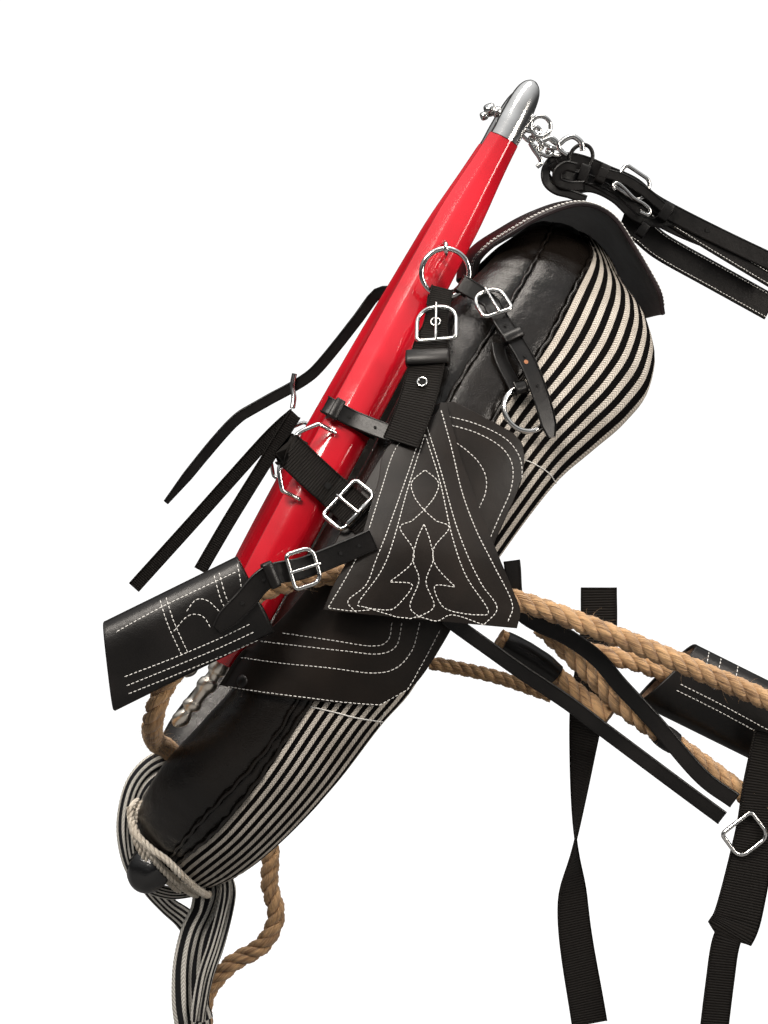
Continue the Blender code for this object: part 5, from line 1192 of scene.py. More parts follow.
# Apron: the stitched leather flap that lies over the housing and the near trace and keeps them off
# the horse. It is held at its top and stands off its carrier where the rope passes under it.
apron = panel("near_apron_flap", APRON_TOP_SHARES, APRON_AXIS_SHARES, APRON_ROWS_SHARES, APRON_HEIGHT, apron_lift)
fitted(apron, "collar", "bridle_leather", "near_apron")
APRON_LINES = (
    ((441, 410), (452, 450), (462, 492), (476, 530), (494, 566), (512, 603), (508, 622)),
    ((432, 408), (417, 430), (396, 448), (380, 494), (366, 537), (348, 574), (328, 608)),
    ((425, 421), (409, 470), (387, 532), (376, 560), (366, 585), (348, 601), (357, 613)),
    ((425, 421), (440, 468), (455, 522), (469, 559), (482, 585), (497, 608), (484, 625)),
    ((425, 434), (408, 488), (392, 545), (380, 573), (359, 602), (364, 607), (387, 610), (398, 605),
     (412, 585), (390, 582)),
    ((425, 434), (440, 482), (452, 536), (466, 576), (488, 610), (478, 615), (451, 611), (440, 603),
     (435, 586), (455, 587)),
    ((425, 470), (412, 482), (414, 496), (424, 510), (436, 521)),
    ((425, 470), (438, 482), (435, 496), (424, 510), (412, 521)),
    ((436, 521), (449, 528), (434, 548), (436, 566), (455, 587)),
    ((412, 521), (400, 528), (413, 549), (411, 564), (390, 582)),
    ((424, 524), (417, 540), (413, 560), (419, 580), (410, 606), (419, 617)),
    ((424, 524), (430, 541), (433, 560), (426, 582), (434, 606), (419, 617)),
    ((364, 607), (387, 614), (405, 619), (419, 617), (437, 621), (453, 615), (484, 625)),
    ((328, 608), (352, 611), (370, 610)),
)
sewn("apron_stitches", apron, APRON_LINES, "collar", radius=0.0005, pitch=0.0038)

# Straps and webbing: flat lengths of bridle leather with creased edges, and ribbed nylon webbing.
# Their punched holes are drawn as thin discs of painted shade on the face, and eyelets are chromed rims set in
# them.
nylon = finish("nylon_webbing", (0.006, 0.005, 0.0045), 0.6)
rib_place = add_node(nylon, "ShaderNodeSeparateXYZ", Vector=stretched(nylon, "UV", (1, 1, 1)))
ribs = []
for axis, often, share in ((1, 3.1416 / 0.0026, 0.8), (0, 70.0, 0.25)):
    wave = arith(nylon, "SINE", arith(nylon, "MULTIPLY", rib_place.outputs[axis], often))
    ribs.append(arith(nylon, "MULTIPLY", arith(nylon, "ABSOLUTE", wave), share))
rib_height_and_groove_shade = arith(nylon, "ADD", *ribs)
# The grooves between the ribs are painted darker than the rib tops: painted shade. The same heights raise the
# ribs.
into(nylon, "Base Color", shades(nylon, rib_height_and_groove_shade, (0.001, 0.0009, 0.0008), (0.013, 0.0105, 0.0088), 0.2, 1.0))
raised(nylon, rib_height_and_groove_shade, 0.0007)
set_shader(nylon, Specular_IOR_Level=0.16)
# A near-black finish for the discs that stand for punched holes: painted shade inside the holes.
hole_dark = finish("hole_dark", (0.002, 0.002, 0.002), 0.95)
STRAP_EDGE_SHARE = 0.42
EDGE_SEAM_IN = 0.003
HOLE_SIDES = 20


def strap(name, centres, acrosses, width, thickness, material, body, nodes=(), widths=None, finer=3,
          slot_name="bridle_leather"):
    """A strap: a flat section with eased edges, swept along its centres."""
    fine = smooth_route(centres, finer)
    last = len(centres) - 1
    rings = []
    uvs = []
    frames = []
    gone = 0.0
    thick = thickness / 2
    edge = thickness * STRAP_EDGE_SHARE
    for i, (centre, way) in enumerate(zip(fine, directions(fine))):
        at = min(last - 1, i // finer)
        t = i / finer - at
        across = acrosses[at].lerp(acrosses[at + 1], t)
        across = unit(across - way * across.dot(way))
        face = across.cross(way)
        half = ((widths[at] * (1 - t) + widths[at + 1] * t) if widths else width) / 2
        gone += (centre - fine[i - 1]).length if i else 0.0
        section = []
        for x, y in ((-1, -1), (1, -1), (1, 1), (-1, 1)):
            corner = [(x * (half - edge + edge * math.cos(turn)), y * (thick - edge + edge * math.sin(turn)))
                      for turn in (0.0, math.pi / 4, math.pi / 2)]
            section += corner[::-1] if x * y > 0 else corner
        rings.append([centre + across * x + face * y for x, y in section])
        uvs.append([(x / max(half, 1e-6), gone) for x, _ in section])
        frames.append((centre, across, face, way, half))
    return fitted(skin(name, rings, uvs, material), body, slot_name, *nodes), frames


def edge_stitches(name, frames, thickness):
    """Rows of stitches along a strap's edges, on both its faces."""
    for side in (-1, 1):
        for top in (-1, 1):
            row = []
            for centre, across, face, _, half in frames:
                edge = centre + across * side * (half - EDGE_SEAM_IN)
                row.append((edge + face * top * (thickness / 2 + 0.0001), face * top))
            stitches(name + "_" + str(side + 1) + str(top + 1), row, "collar", pitch=0.0036, radius=0.0004)


def outward(direction):
    """A direction, turned to the near side."""
    return -direction if direction.dot(OUT) < 0 else direction


def share_at(frames, mark):
    """The share of a strap's length that shows nearest to a mark in the picture."""
    ray = sight(*mark)
    return min(range(len(frames)), key=lambda i: (frames[i][0] - eye).cross(ray).length) / (len(frames) - 1)


def holes(name, frames, shares, radius, thickness, eyelets=False):
    """Punched holes on a strap's outer face, drawn as thin discs of painted shade, or chromed eyelets."""
    for k, share in enumerate(shares):
        centre, across, face, way, _ = frames[round(share * (len(frames) - 1))]
        out = outward(face)
        top = centre + out * (thickness / 2)
        rings = []
        uvs = []
        for size, rise in ((0.05, 0.0001), (0.7, 0.0001), (0.95, 0.00016), (1.0, 0.0)):
            rings.append([top + (across * math.cos(t) + way * math.sin(t)) * radius * size + out * rise
                          for t in circle(HOLE_SIDES)])
            uvs.append([(t, size) for t in circle(HOLE_SIDES)])
        fitted(skin(name + "_" + str(k + 1), rings, uvs, hole_dark, sharp=60), "collar", "bridle_leather")
        if eyelets:
            hoop(name + "_rim_" + str(k + 1), top + out * 0.0003, out, radius * 1.25, 0.0009, "collar")


def fold_points(centre, way, face, radius, steps):
    """Points of a half turn round a bar, from under it to over it, on the side away from way."""
    turns = [math.pi * (1.5 - k / steps) for k in range(steps + 1)]
    return [centre + way * math.cos(t) * radius + face * math.sin(t) * radius for t in turns]


BAR_DOWN = sum(LINK_BAR_SHARES) / 2 * COLLAR_LENGTH
BAR_BACK = hame_middle(BAR_DOWN) - HAME_WIDTH / 2 - LINK_REACH
BAR_OUT = HAME_THICKNESS / 2 + LINK_ROD + SEAT_GAP + LINK_STAND
DRAUGHT_WIDTH = 0.033
DRAUGHT_END_SHARES = (0.484, 0.262)
DRAUGHT_STEPS = 6


def cover_acrosses(plan, width):
    """The direction across a strap at each (down, back, lift) row of its way over the cover."""
    found = []
    for (down, back, lift), way in zip(plan, directions(plan)):
        side = unit(Vector((way.y, -way.x, 0))) * width / 2
        found.append(unit(on_cover(down + side.x, back + side.y, lift)
                          - on_cover(down - side.x, back - side.y, lift)))
    return found


def strap_frame(down, back, lift, way):
    """Centre, across, along and face directions of a strap lying on the cover."""
    centre = on_cover(down, back, lift)
    step = HAME_WIDTH / 8
    along = unit(on_cover(down + way[0] * step, back + way[1] * step, lift)
                 - on_cover(down - way[0] * step, back - way[1] * step, lift))
    across = unit(on_cover(down - way[1] * step, back + way[0] * step, lift)
                  - on_cover(down + way[1] * step, back - way[0] * step, lift))
    face = outward(unit(across.cross(along)))
    return centre, unit(along.cross(face)), along, face


def laid_frame(shares, lift, way):
    """The same directions from shares of the collar's length and depth."""
    return strap_frame(shares[0] * COLLAR_LENGTH, shares[1] * COLLAR_DEPTH, lift, way)


BUCKLE_ROD = 0.0021
TONGUE_ROD = 0.0014
BUCKLE_CORNER = 0.006
BUCKLE_CORNER_STEPS = 12
BUCKLE_STAND = BUCKLE_ROD + LAYER_GAP * 1.6
TONGUE_DIP_SHARE = 0.5


def draught_centres():
    bar = place(BAR_DOWN, BAR_BACK, hame_out(BAR_DOWN) + BAR_OUT)
    top, low = (hame_point(share * COLLAR_LENGTH) for share in LINK_BAR_SHARES)
    across = unit(low - top)
    end_down, end_back = DRAUGHT_END_SHARES[0] * COLLAR_LENGTH, DRAUGHT_END_SHARES[1] * COLLAR_DEPTH
    lead = on_cover(end_down, end_back, 0) - bar
    way = unit(lead - across * lead.dot(across) - OUT * lead.dot(OUT))
    face = outward(unit(across.cross(way)))
    radius = LINK_ROD + SEAT_GAP * 1.5 + WEBBING / 2
    fold = fold_points(bar, way, face, radius, DRAUGHT_STEPS)
    under = [fold[0] + way * HAME_WIDTH * share for share in (0.3, 0.15)]
    lift = DRAUGHT_LIFT + WEBBING / 2
    front_lift = BAR_OUT + radius - HAME_THICKNESS / 2 - COVER_GAP
    over = [
        on_cover(BAR_DOWN + (end_down - BAR_DOWN) * share, BAR_BACK + (end_back - BAR_BACK) * share,
                 front_lift + (lift - front_lift) * ease((share - 0.35) / 0.3))
        for share in (0.25, 0.4, 0.5, 0.6, 0.7, 0.8, 0.9, 1.0)
    ]
    centres = under + fold + over
    return centres, [across] * len(centres)


def buckle(stem, frame_at, width, length, arch=0.009, pinned=True, roller=False, body="collar"):
    """A chromed buckle of bent wire, arched at its far end, with the pin that turns on its bar."""
    centre, across, along, face = frame_at
    points = []
    for quarter, (x, y) in enumerate(((1, -1), (1, 1), (-1, 1), (-1, -1))):
        corner = arch if y > 0 else BUCKLE_CORNER * 0.7
        middle = centre + across * x * (width / 2 - corner) + along * y * (length / 2 - corner)
        for step in range(BUCKLE_CORNER_STEPS + 1):
            turn = math.pi / 2 * (quarter - 1 + step / BUCKLE_CORNER_STEPS)
            points.append(middle + (across * math.cos(turn) + along * math.sin(turn)) * corner)
    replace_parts(rod(stem + "_wire", points, BUCKLE_ROD, chrome, body, 14, closed=True), stem + "_buckle")
    if pinned:
        pivot = centre - along * length / 2 + face * (BUCKLE_ROD + TONGUE_ROD + SEAT_GAP)
        route = [pivot + along * d for d in (
            -TONGUE_ROD, BUCKLE_ROD * 0.5, BUCKLE_ROD * 2, length * 0.3, length * 0.5, length * 0.8, length,
            length + (BUCKLE_ROD + TONGUE_ROD) * 0.6, length + BUCKLE_ROD + TONGUE_ROD)]
        radii = [TONGUE_ROD * s for s in (0.7, 1.05, 1.1, 1.05, 1, 1, 0.95, 0.8, TONGUE_DIP_SHARE * 0.7)]
        pin = rod(stem + "_pin", route, TONGUE_ROD, chrome, stem + "_tongue", 12, radii=radii)
        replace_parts(pin, stem + "_tongue")
    if roller:
        ends = [centre + along * length / 2 + across * width * share for share in (-0.34, -0.33, 0.33, 0.34)]
        rod(stem + "_wire_roller", ends, BUCKLE_ROD * 1.35, chrome, "collar", 18,
            radii=[BUCKLE_ROD * size for size in (1.15, 1.35, 1.35, 1.15)])


# Draught webbing: nylon webbing folded round the link's bar and carried under the apron. Its
# chromed buckle has a roller and lies just ahead of the flap.
DRAUGHT_BUCKLE_WIDTH = 0.046
DRAUGHT_BUCKLE_LENGTH = 0.027
DRAUGHT_BUCKLE_CLEARANCE = 0.0055
DRAUGHT_BUCKLE_STEPS = 400
DRAUGHT_WAY_SHARES = (0.2, 0.98)


def apron_edge(down):
    """How far back the flap's front edge is at a place down the collar."""
    along_down, along_back = (share * APRON_HEIGHT for share in APRON_AXIS_SHARES)
    top_down, top_back = APRON_TOP_SHARES[0] * COLLAR_LENGTH, APRON_TOP_SHARES[1] * COLLAR_DEPTH
    rows = [
        (top_down + row[0] * along_down - row[1] * along_back,
         top_back + row[0] * along_back + row[1] * along_down)
        for row in APRON_ROWS_SHARES
    ]
    return read_shares(rows, down)


def draught_buckle_place():
    """Down and back of the buckle on the webbing, its clearance ahead of the flap's edge."""
    ahead = DRAUGHT_BUCKLE_LENGTH / 2 + DRAUGHT_BUCKLE_CLEARANCE
    end_down, end_back = DRAUGHT_END_SHARES[0] * COLLAR_LENGTH, DRAUGHT_END_SHARES[1] * COLLAR_DEPTH
    for k in range(DRAUGHT_BUCKLE_STEPS):
        share = k / DRAUGHT_BUCKLE_STEPS
        down = BAR_DOWN + (end_down - BAR_DOWN) * share
        back = BAR_BACK + (end_back - BAR_BACK) * share
        if back + ahead > apron_edge(down):
            return down, back
    return end_down, end_back


_, draught_frames = strap("draught_web", *draught_centres(), DRAUGHT_WIDTH, WEBBING, nylon, "collar",
                          ("near_draught_webbing",), slot_name="nylon_webbing")
draught_buckle_lift = DRAUGHT_LIFT + WEBBING + BUCKLE_STAND
buckle("draught", strap_frame(*draught_buckle_place(), draught_buckle_lift, DRAUGHT_WAY_SHARES),
       DRAUGHT_BUCKLE_WIDTH, DRAUGHT_BUCKLE_LENGTH, BUCKLE_CORNER, roller=True)
holes("draught_hole", draught_frames, (share_at(draught_frames, (302, 514)),), 0.0034, WEBBING)

# Tug webbing: nylon webbing on both sides, folded narrow over the hame ring, with chromed eyelets.
# On the near side a buckle lies on it, and a leather keeper slides on its tail.
TUG_LIFT = APRON_LIFT + LEATHER + LAYER_GAP * 4.5 + WEBBING / 2
TUG_SHARES = ((0.240, 0.100), (0.275, 0.127), (0.315, 0.157), (0.350, 0.174), (0.384, 0.181))
TUG_FOLD_SHARE = 0.6
LOOP_STEPS = 6
TUG_UNDER_SHARE = 0.2
STRAP_UNDER_SHARE = 0.12


def loop_round(centre, onward, width, thickness, under):
    """Where a strap runs that comes from under a hame ring, turns round its rod and goes onward: its
    points and the direction across it."""
    hold = ring_hold(centre, OUT, HAME_RING_RADIUS, onward)
    way = unit(onward - hold)
    across = unit(way.cross(OUT))
    face = outward(unit(across.cross(way)))
    fold = fold_points(hold, way, face, ring_clearance(width, HAME_RING_RADIUS, thickness), LOOP_STEPS)
    return [fold[0] + way * (onward - hold).length * under] + fold, across


def ring_clearance(width, ring_radius, thickness):
    """How far the middle of a strap stays from a ring's rod, so that its edges clear the ring's curve."""
    rise = ring_radius - math.sqrt(ring_radius ** 2 - width ** 2 / 4)
    return RING_ROD + rise + LAYER_GAP + thickness / 2


def ring_hold(centre, normal, radius, onward):
    """The point on a ring's rod that lies nearest to where a strap goes."""
    lead = onward - centre
    return centre + unit(lead - normal * lead.dot(normal)) * radius


def ring_strap_route(rows, lift, width):
    """A strap's rows on the cover, made smooth, with their points and the directions across."""
    plan = smooth_route([Vector((down * COLLAR_LENGTH, back * COLLAR_DEPTH, lift)) for down, back in rows], 3)
    return [on_cover(*row) for row in plan], cover_acrosses(plan, width)


TUG_BUCKLE_WIDTH = 0.040
TUG_BUCKLE_LENGTH = 0.039
TUG_BUCKLE_ARCH = 0.0175
TUG_BUCKLE_SHARES = (0.2405, 0.1015)
TUG_BUCKLE_WAY = (-0.92, -0.39)
TUG_WAY = (0.92, 0.39)
TUG_TOP = TUG_LIFT + WEBBING / 2
KEEPER_LENGTH = 0.0165
KEEPER_WALL = 0.0022
KEEPER_SHARES = (0.282, 0.131)
LOOP_WALL = 0.0016
LOOP_LENGTH = 0.010
KEEPER_PROFILE_SHARES = ((-0.5, 0.15), (-0.42, 1.0), (0.0, 1.06), (0.42, 1.0), (0.5, 0.15), (0.5, 0.0),
                         (-0.5, 0.0))
narrow = WEBBING_WIDTH * TUG_FOLD_SHARE
over, acrosses = ring_strap_route(TUG_SHARES, TUG_LIFT, WEBBING_WIDTH)
start, across = loop_round(RING_CENTRE, over[0], narrow, WEBBING, TUG_UNDER_SHARE)
tug_widths = [narrow] * len(start)
tug_widths += [narrow + (WEBBING_WIDTH - narrow) * ease((k + 1) / 4) for k in range(len(over))]
tug, tug_frames = strap("near_tug_web", start + over, [across] * len(start) + acrosses, WEBBING_WIDTH,
                        WEBBING, nylon, "collar", (), tug_widths, slot_name="nylon_webbing")
pair(tug, ("near_tug_webbing", "far_tug_webbing"), "nylon_webbing")
holes("tug_eyelet", tug_frames, [share_at(tug_frames, mark) for mark in ((427, 323), (419, 382))], 0.0036,
      WEBBING, True)
buckle("tug", laid_frame(TUG_BUCKLE_SHARES, TUG_TOP + BUCKLE_STAND + LAYER_GAP * 1.7, TUG_BUCKLE_WAY),
       TUG_BUCKLE_WIDTH * 0.96, TUG_BUCKLE_LENGTH, TUG_BUCKLE_ARCH)


def leather_loop(name, frame_at, inner_width, inner_height, length, wall, body, *nodes):
    """A keeper: a loop of leather round a strap, with its corners eased."""
    centre, across, along, face = frame_at
    rings = []
    uvs = []
    for share, grow in KEEPER_PROFILE_SHARES:
        half = inner_width / 2 + wall * grow
        high = inner_height / 2 + wall * grow
        corner = min(half, high) * 0.45
        ring = []
        for quarter, (x, y) in enumerate(((1, -1), (1, 1), (-1, 1), (-1, -1)), -1):
            for turn in [math.pi / 2 * (quarter + k / 3) for k in range(4)]:
                ring.append(centre + along * length * share
                            + across * (x * (half - corner) + corner * math.cos(turn))
                            + face * (y * (high - corner) + corner * math.sin(turn)))
        rings.append(ring)
        uvs.append([(k * 0.004, share * length) for k in range(len(ring))])
    fitted(skin(name, rings, uvs, bridle, closed=True, sharp=60), body, "bridle_leather", *nodes)


def loop_on(name, frames, share, room, height):
    """A leather keeper round a strap, at a share of its length."""
    centre, across, face, way, half = frames[int(share * (len(frames) - 1))]
    leather_loop(name, (centre, across, way, outward(face)), 2 * half + room, height, LOOP_LENGTH, LOOP_WALL,
                 "collar")


leather_loop("tug_keeper_loop", laid_frame(KEEPER_SHARES, TUG_LIFT, TUG_WAY), WEBBING_WIDTH + LAYER_GAP * 1.6,
             WEBBING + LAYER_GAP * 3, KEEPER_LENGTH, KEEPER_WALL, "tug_keeper", "tug_keeper")

# Hame belt: a strap of bridle leather, wound once round the near hame, with its tail laid back
# over the collar and a keeper that holds its end.
BELT_WIDTH = 0.0176
BELT_SHARE = 0.384
BELT_TAIL_SHARES = ((0.380, 0.115), (0.377, 0.160))
BELT_TAIL_LIFT = 0.0062
BELT_WRAP_SHARES = (
    (0.0, 1.0), (-0.72, 1.0), (-1.0, 0.55), (-1.0, -0.4), (-0.7, -1.0), (0.7, -1.0), (1.0, -0.45), (1.0, 0.3),
    (0.42, 1.0), (-0.2, 1.0),
)
down = BELT_SHARE * COLLAR_LENGTH
half = HAME_WIDTH / 2 * read_shares(HAME_WIDTH_SHARES, BELT_SHARE)
centres = [laid(*row, BELT_TAIL_LIFT) for row in BELT_TAIL_SHARES[::-1]]
for i, (x, y) in enumerate(BELT_WRAP_SHARES):
    grow = STRAP_LEATHER / 2 + SEAT_GAP * 1.5 + (STRAP_LEATHER + LAYER_GAP if i < 3 else 0.0)
    centres.append(hame_point(down, x * (half + grow), y * (HAME_THICKNESS / 2 + grow)))
centres = smooth_route(centres, 2)
across = unit(hame_point(down + BELT_WIDTH) - hame_point(down - BELT_WIDTH))
_, belt_frames = strap("belt_leather", centres, [across] * len(centres), BELT_WIDTH, STRAP_LEATHER, bridle,
                       "collar", ("hame_belt",))
loop_on("belt_keeper", belt_frames, 0.27, 0.0012, 0.0085)
holes("belt_hole", belt_frames, (0.02, 0.12, 0.2), 0.0015, STRAP_LEATHER)

# Ring strap and drop ring: a buckled leather strap from the hame ring back over the collar, with a
# copper rivet, and under it a loose chromed ring in a short leather strap.
RING_STRAP_WIDTH = 0.018
RING_STRAP_LIFT = 0.0155
RING_STRAP_SHARES = ((0.186, 0.250), (0.205, 0.350), (0.230, 0.484), (0.262, 0.602), (0.296, 0.703))
RING_STRAP_BUCKLE_SHARES = (0.187, 0.262)
RING_STRAP_BUCKLE_WIDTH = 0.031
RING_STRAP_BUCKLE_LENGTH = 0.028
RING_STRAP_BUCKLE_ARCH = 0.0125
RING_STRAP_WAY = (-0.57, -0.82)
TIP_SHARES = (0.94, 0.5)
DROP_RING_SHARES = (0.281, 0.565)
DROP_RING_LIFT = 0.0074
DROP_STRAP_WIDTH = 0.014
DROP_STRAP_LIFT = 0.0022
DROP_STRAP_SHARES = ((0.226, 0.358), (0.243, 0.400))
DROP_FRONT_SHARE = 0.35
DROP_RING_RADIUS = 0.0222
DROP_CENTRE, _, _, DROP_FACE = laid_frame(DROP_RING_SHARES, DROP_RING_LIFT, (0.58, 0.81))


def tip_widths(count, width):
    """A strap's widths along its length, with a pointed tip."""
    return [width] * (count - 2) + [width * TIP_SHARES[0], width * TIP_SHARES[1]]


over, acrosses = ring_strap_route(RING_STRAP_SHARES, RING_STRAP_LIFT, RING_STRAP_WIDTH)
start, across = loop_round(RING_CENTRE, over[0], RING_STRAP_WIDTH, STRAP_LEATHER, STRAP_UNDER_SHARE)
ring_leather, ring_frames = strap(
    "ring_strap_leather", start + over, [across] * len(start) + acrosses, RING_STRAP_WIDTH, STRAP_LEATHER, bridle,
    "collar", ("ring_strap",), tip_widths(len(start) + len(over), RING_STRAP_WIDTH))
holes("ring_strap_hole", ring_frames, (0.55, 0.68, 0.8), 0.0016, STRAP_LEATHER)
loop_on("ring_strap_keeper", ring_frames, 0.60, 0.0014, 0.0085)
copper = finish("copper_rivet", (0.62, 0.28, 0.15), 0.3, 1.0)
into(copper, "Roughness", between(copper, mottle(copper, "Object", 300, 3), 0.2, 0.5))
rivet_on("ring_strap_rivet", ring_leather, (526, 362), 0.0022, copper)
rivet_on("housing_button", housing, (242, 681), 0.0062, bridle)
rivet_on("housing_button_pin", housing, (241, 682), 0.0014, chrome)
ring_buckle_lift = RING_STRAP_LIFT + STRAP_LEATHER / 2 + BUCKLE_STAND + LAYER_GAP * 1.4
buckle("ring_strap", laid_frame(RING_STRAP_BUCKLE_SHARES, ring_buckle_lift, RING_STRAP_WAY),
       RING_STRAP_BUCKLE_WIDTH, RING_STRAP_BUCKLE_LENGTH, RING_STRAP_BUCKLE_ARCH)
hoop("drop_hoop", DROP_CENTRE, DROP_FACE, DROP_RING_RADIUS, RING_ROD, "drop_ring", "drop_ring")
back = [laid(*row, DROP_STRAP_LIFT) for row in DROP_STRAP_SHARES]
hold = ring_hold(DROP_CENTRE, DROP_FACE, DROP_RING_RADIUS, back[0])
way = unit(back[0] - hold)
clearance = ring_clearance(DROP_STRAP_WIDTH, DROP_RING_RADIUS, STRAP_LEATHER)
fold = fold_points(hold, way, DROP_FACE, clearance, LOOP_STEPS)
centres = back + fold + [fold[-1] + way * DROP_STRAP_WIDTH * DROP_FRONT_SHARE]
strap("drop_strap_leather", centres, [unit(way.cross(DROP_FACE))] * len(centres), DROP_STRAP_WIDTH, STRAP_LEATHER,
      bridle, "collar", ("drop_strap",))

# Rope sleeves: bridle leather folded round the traces and sewn into flat tubes, with piped ends and
# white stitching outside and brown suede inside.
SLEEVE_SIDES = 72
SLEEVE_STEPS = 40
SLEEVE_HEIGHT = 0.078
SLEEVE_THICKNESS = 0.036
SLEEVE_WALL = 0.0035
SLEEVE_POWER = 2.6
SLEEVE_SLANT_SHARE = 0.36
NEAR_SLEEVE_SHARES = ((-0.3467, 0.3167, -0.0964), (-0.1913, 0.3167, -0.0206))
SECOND_SLEEVE_SHARES = ((0.294, 0.2095, -0.128), (0.444, 0.2095, -0.203))
suede = finish("brown_suede", (0.20, 0.12, 0.075), 0.95)
suede_nap = mottle(suede, "Object", 420, 5)
into(suede, "Base Color", shades(suede, suede_nap, (0.12, 0.068, 0.04), (0.30, 0.19, 0.12)))
raised(suede, suede_nap, 0.0008)
set_shader(suede, Sheen_Weight=0.4)


def make_sleeve(name, ends, node, body):
    start, stop = (spot(*row) for row in ends)
    way = unit(stop - start)
    high = unit(OUT.cross(way))
    rings = []
    uvs = []
    shares = [k / SLEEVE_STEPS for k in range(SLEEVE_STEPS + 1)]
    for along, wall in [(s, 0.0) for s in shares] + [(s, SLEEVE_WALL) for s in shares[::-1]]:
        soft = 0.0 if wall else 0.0009 * math.sin(math.pi * along)
        tall = SLEEVE_HEIGHT / 2 - wall
        thick = SLEEVE_THICKNESS / 2 - wall
        centre = start.lerp(stop, along)
        section = []
        uv = []
        for turn in circle(SLEEVE_SIDES):
            up, side = (math.copysign(abs(a) ** (2 / SLEEVE_POWER), a)
                        for a in (math.cos(turn), math.sin(turn)))
            slant = way * tall * up * SLEEVE_SLANT_SHARE * (1 - along)
            wave = soft * noise.noise(Vector((along * 3, up * 1.5, side)))
            section.append(centre + high * tall * up + OUT * (thick * side - wave) + slant)
            uv.append((up, along))
        rings.append(section)
        uvs.append(uv)
    made = skin(name, rings, uvs, bridle, closed=True, sharp=60)
    made.data.materials.append(suede)
    for face in made.data.polygons[len(shares) * SLEEVE_SIDES:(2 * len(shares) - 1) * SLEEVE_SIDES]:
        face.material_index = 1
    fitted(made, body, "bridle_leather", node)
    for k, at, lift in ((1, 0, -0.0006), (2, SLEEVE_STEPS, 0.0006)):
        line = [a.lerp(b, 0.5) + way * lift for a, b in zip(rings[at], rings[-1 - at])]
        rod(name + "_piping_" + str(k), line, SLEEVE_WALL * 0.55, bridle, body, 10, "bridle_leather", closed=True)
    return made


near_sleeve = make_sleeve("near_sleeve_leather", NEAR_SLEEVE_SHARES, "near_rope_sleeve", "collar")
second_sleeve = make_sleeve("second_sleeve_leather", SECOND_SLEEVE_SHARES, "second_rope_sleeve", "second_sleeve")
SLEEVE_LINES = (
    ((128, 694), (180, 673), (222, 656), (258, 640)),
    ((126, 686), (178, 665), (219, 648), (254, 632)),
    ((124, 677), (176, 657), (216, 640), (250, 624)),
    ((160, 600), (168, 625), (182, 656)),
    ((166, 597), (174, 622), (188, 653)),
    ((214, 575), (221, 600), (228, 612)),
    ((219, 572), (226, 597), (233, 609)),
    ((237, 562), (240, 578), (242, 593)),
    ((173, 632), (188, 616), (202, 616), (211, 628)),
    ((186, 612), (196, 600), (208, 601), (220, 612)),
    ((116, 632), (160, 608), (206, 586), (236, 572)),
)
sewn("near_sleeve_stitches", near_sleeve, SLEEVE_LINES, "collar", radius=0.00046)
SECOND_SLEEVE_LINES = (
    ((709, 652), (706, 668), (702, 684)),
    ((722, 655), (718, 672), (714, 690)),
    ((739, 660), (736, 676), (730, 694)),
    ((676, 690), (720, 712), (768, 738)),
    ((680, 684), (722, 705), (768, 730)),
)
sewn("second_sleeve_stitches", second_sleeve, SECOND_SLEEVE_LINES, "second_sleeve")

# Sleeve strap: bridle leather that passes over the near sleeve and into the slot of the apron,
# holds the sleeve to the collar, and is drawn tight with a chromed buckle.


def free_frame(centre, along):
    """Centre, across, along and face directions of a strap that faces across the horse."""
    across = unit(along.cross(OUT))
    return centre, across, unit(along), outward(unit(across.cross(along)))


SLEEVE_STRAP_WIDTH = 0.0205
SLEEVE_STRAP_SHARES = (
    (-0.2314, 0.3403, -0.0549), (-0.2036, 0.3407, -0.0268), (-0.1757, 0.3403, 0.0018), (-0.1371, 0.329, 0.01),
    (-0.0929, 0.3193, 0.0262), (-0.06, 0.3163, 0.04),
)
SLEEVE_BUCKLE_SHARES = (-0.1371, 0.3351, 0.0100)
SLEEVE_BUCKLE_WIDTH = 0.033
SLEEVE_BUCKLE_LENGTH = 0.026
SLEEVE_BUCKLE_WAY_SHARES = (0.93, 0.26, 0.27)
POINTED_SHARES = ((0.0, 0.5), (0.08, 0.94), (0.14, 1.0), (1.0, 1.0))


def plain_strap(name, rows, width, thickness, material, body, node, widths=None, steps=6,
                slot_name="bridle_leather"):
    """A strap through places in shares of the collar's length, its face across the horse."""
    centres = smooth_route([spot(*row) for row in rows], steps)
    acrosses = [unit(way.cross(OUT)) for way in directions(centres)]
    last = len(centres) - 1
    sized = [width * read_shares(widths, i / last) for i in range(last + 1)] if widths else None
    return strap(name, centres, acrosses, width, thickness, material, body, (node,), sized, 2, slot_name)


_, sleeve_frames = plain_strap("sleeve_strap_leather", SLEEVE_STRAP_SHARES, SLEEVE_STRAP_WIDTH, STRAP_LEATHER,
                               bridle, "collar", "sleeve_strap", POINTED_SHARES)
loop_on("sleeve_strap_keeper", sleeve_frames, 0.42, 0.0014, 0.0090)
holes("sleeve_strap_hole", sleeve_frames, (0.2, 0.36, 0.78, 0.9), 0.0017, STRAP_LEATHER)
buckle("sleeve", free_frame(spot(*SLEEVE_BUCKLE_SHARES), Vector(SLEEVE_BUCKLE_WAY_SHARES)), SLEEVE_BUCKLE_WIDTH,
       SLEEVE_BUCKLE_LENGTH)

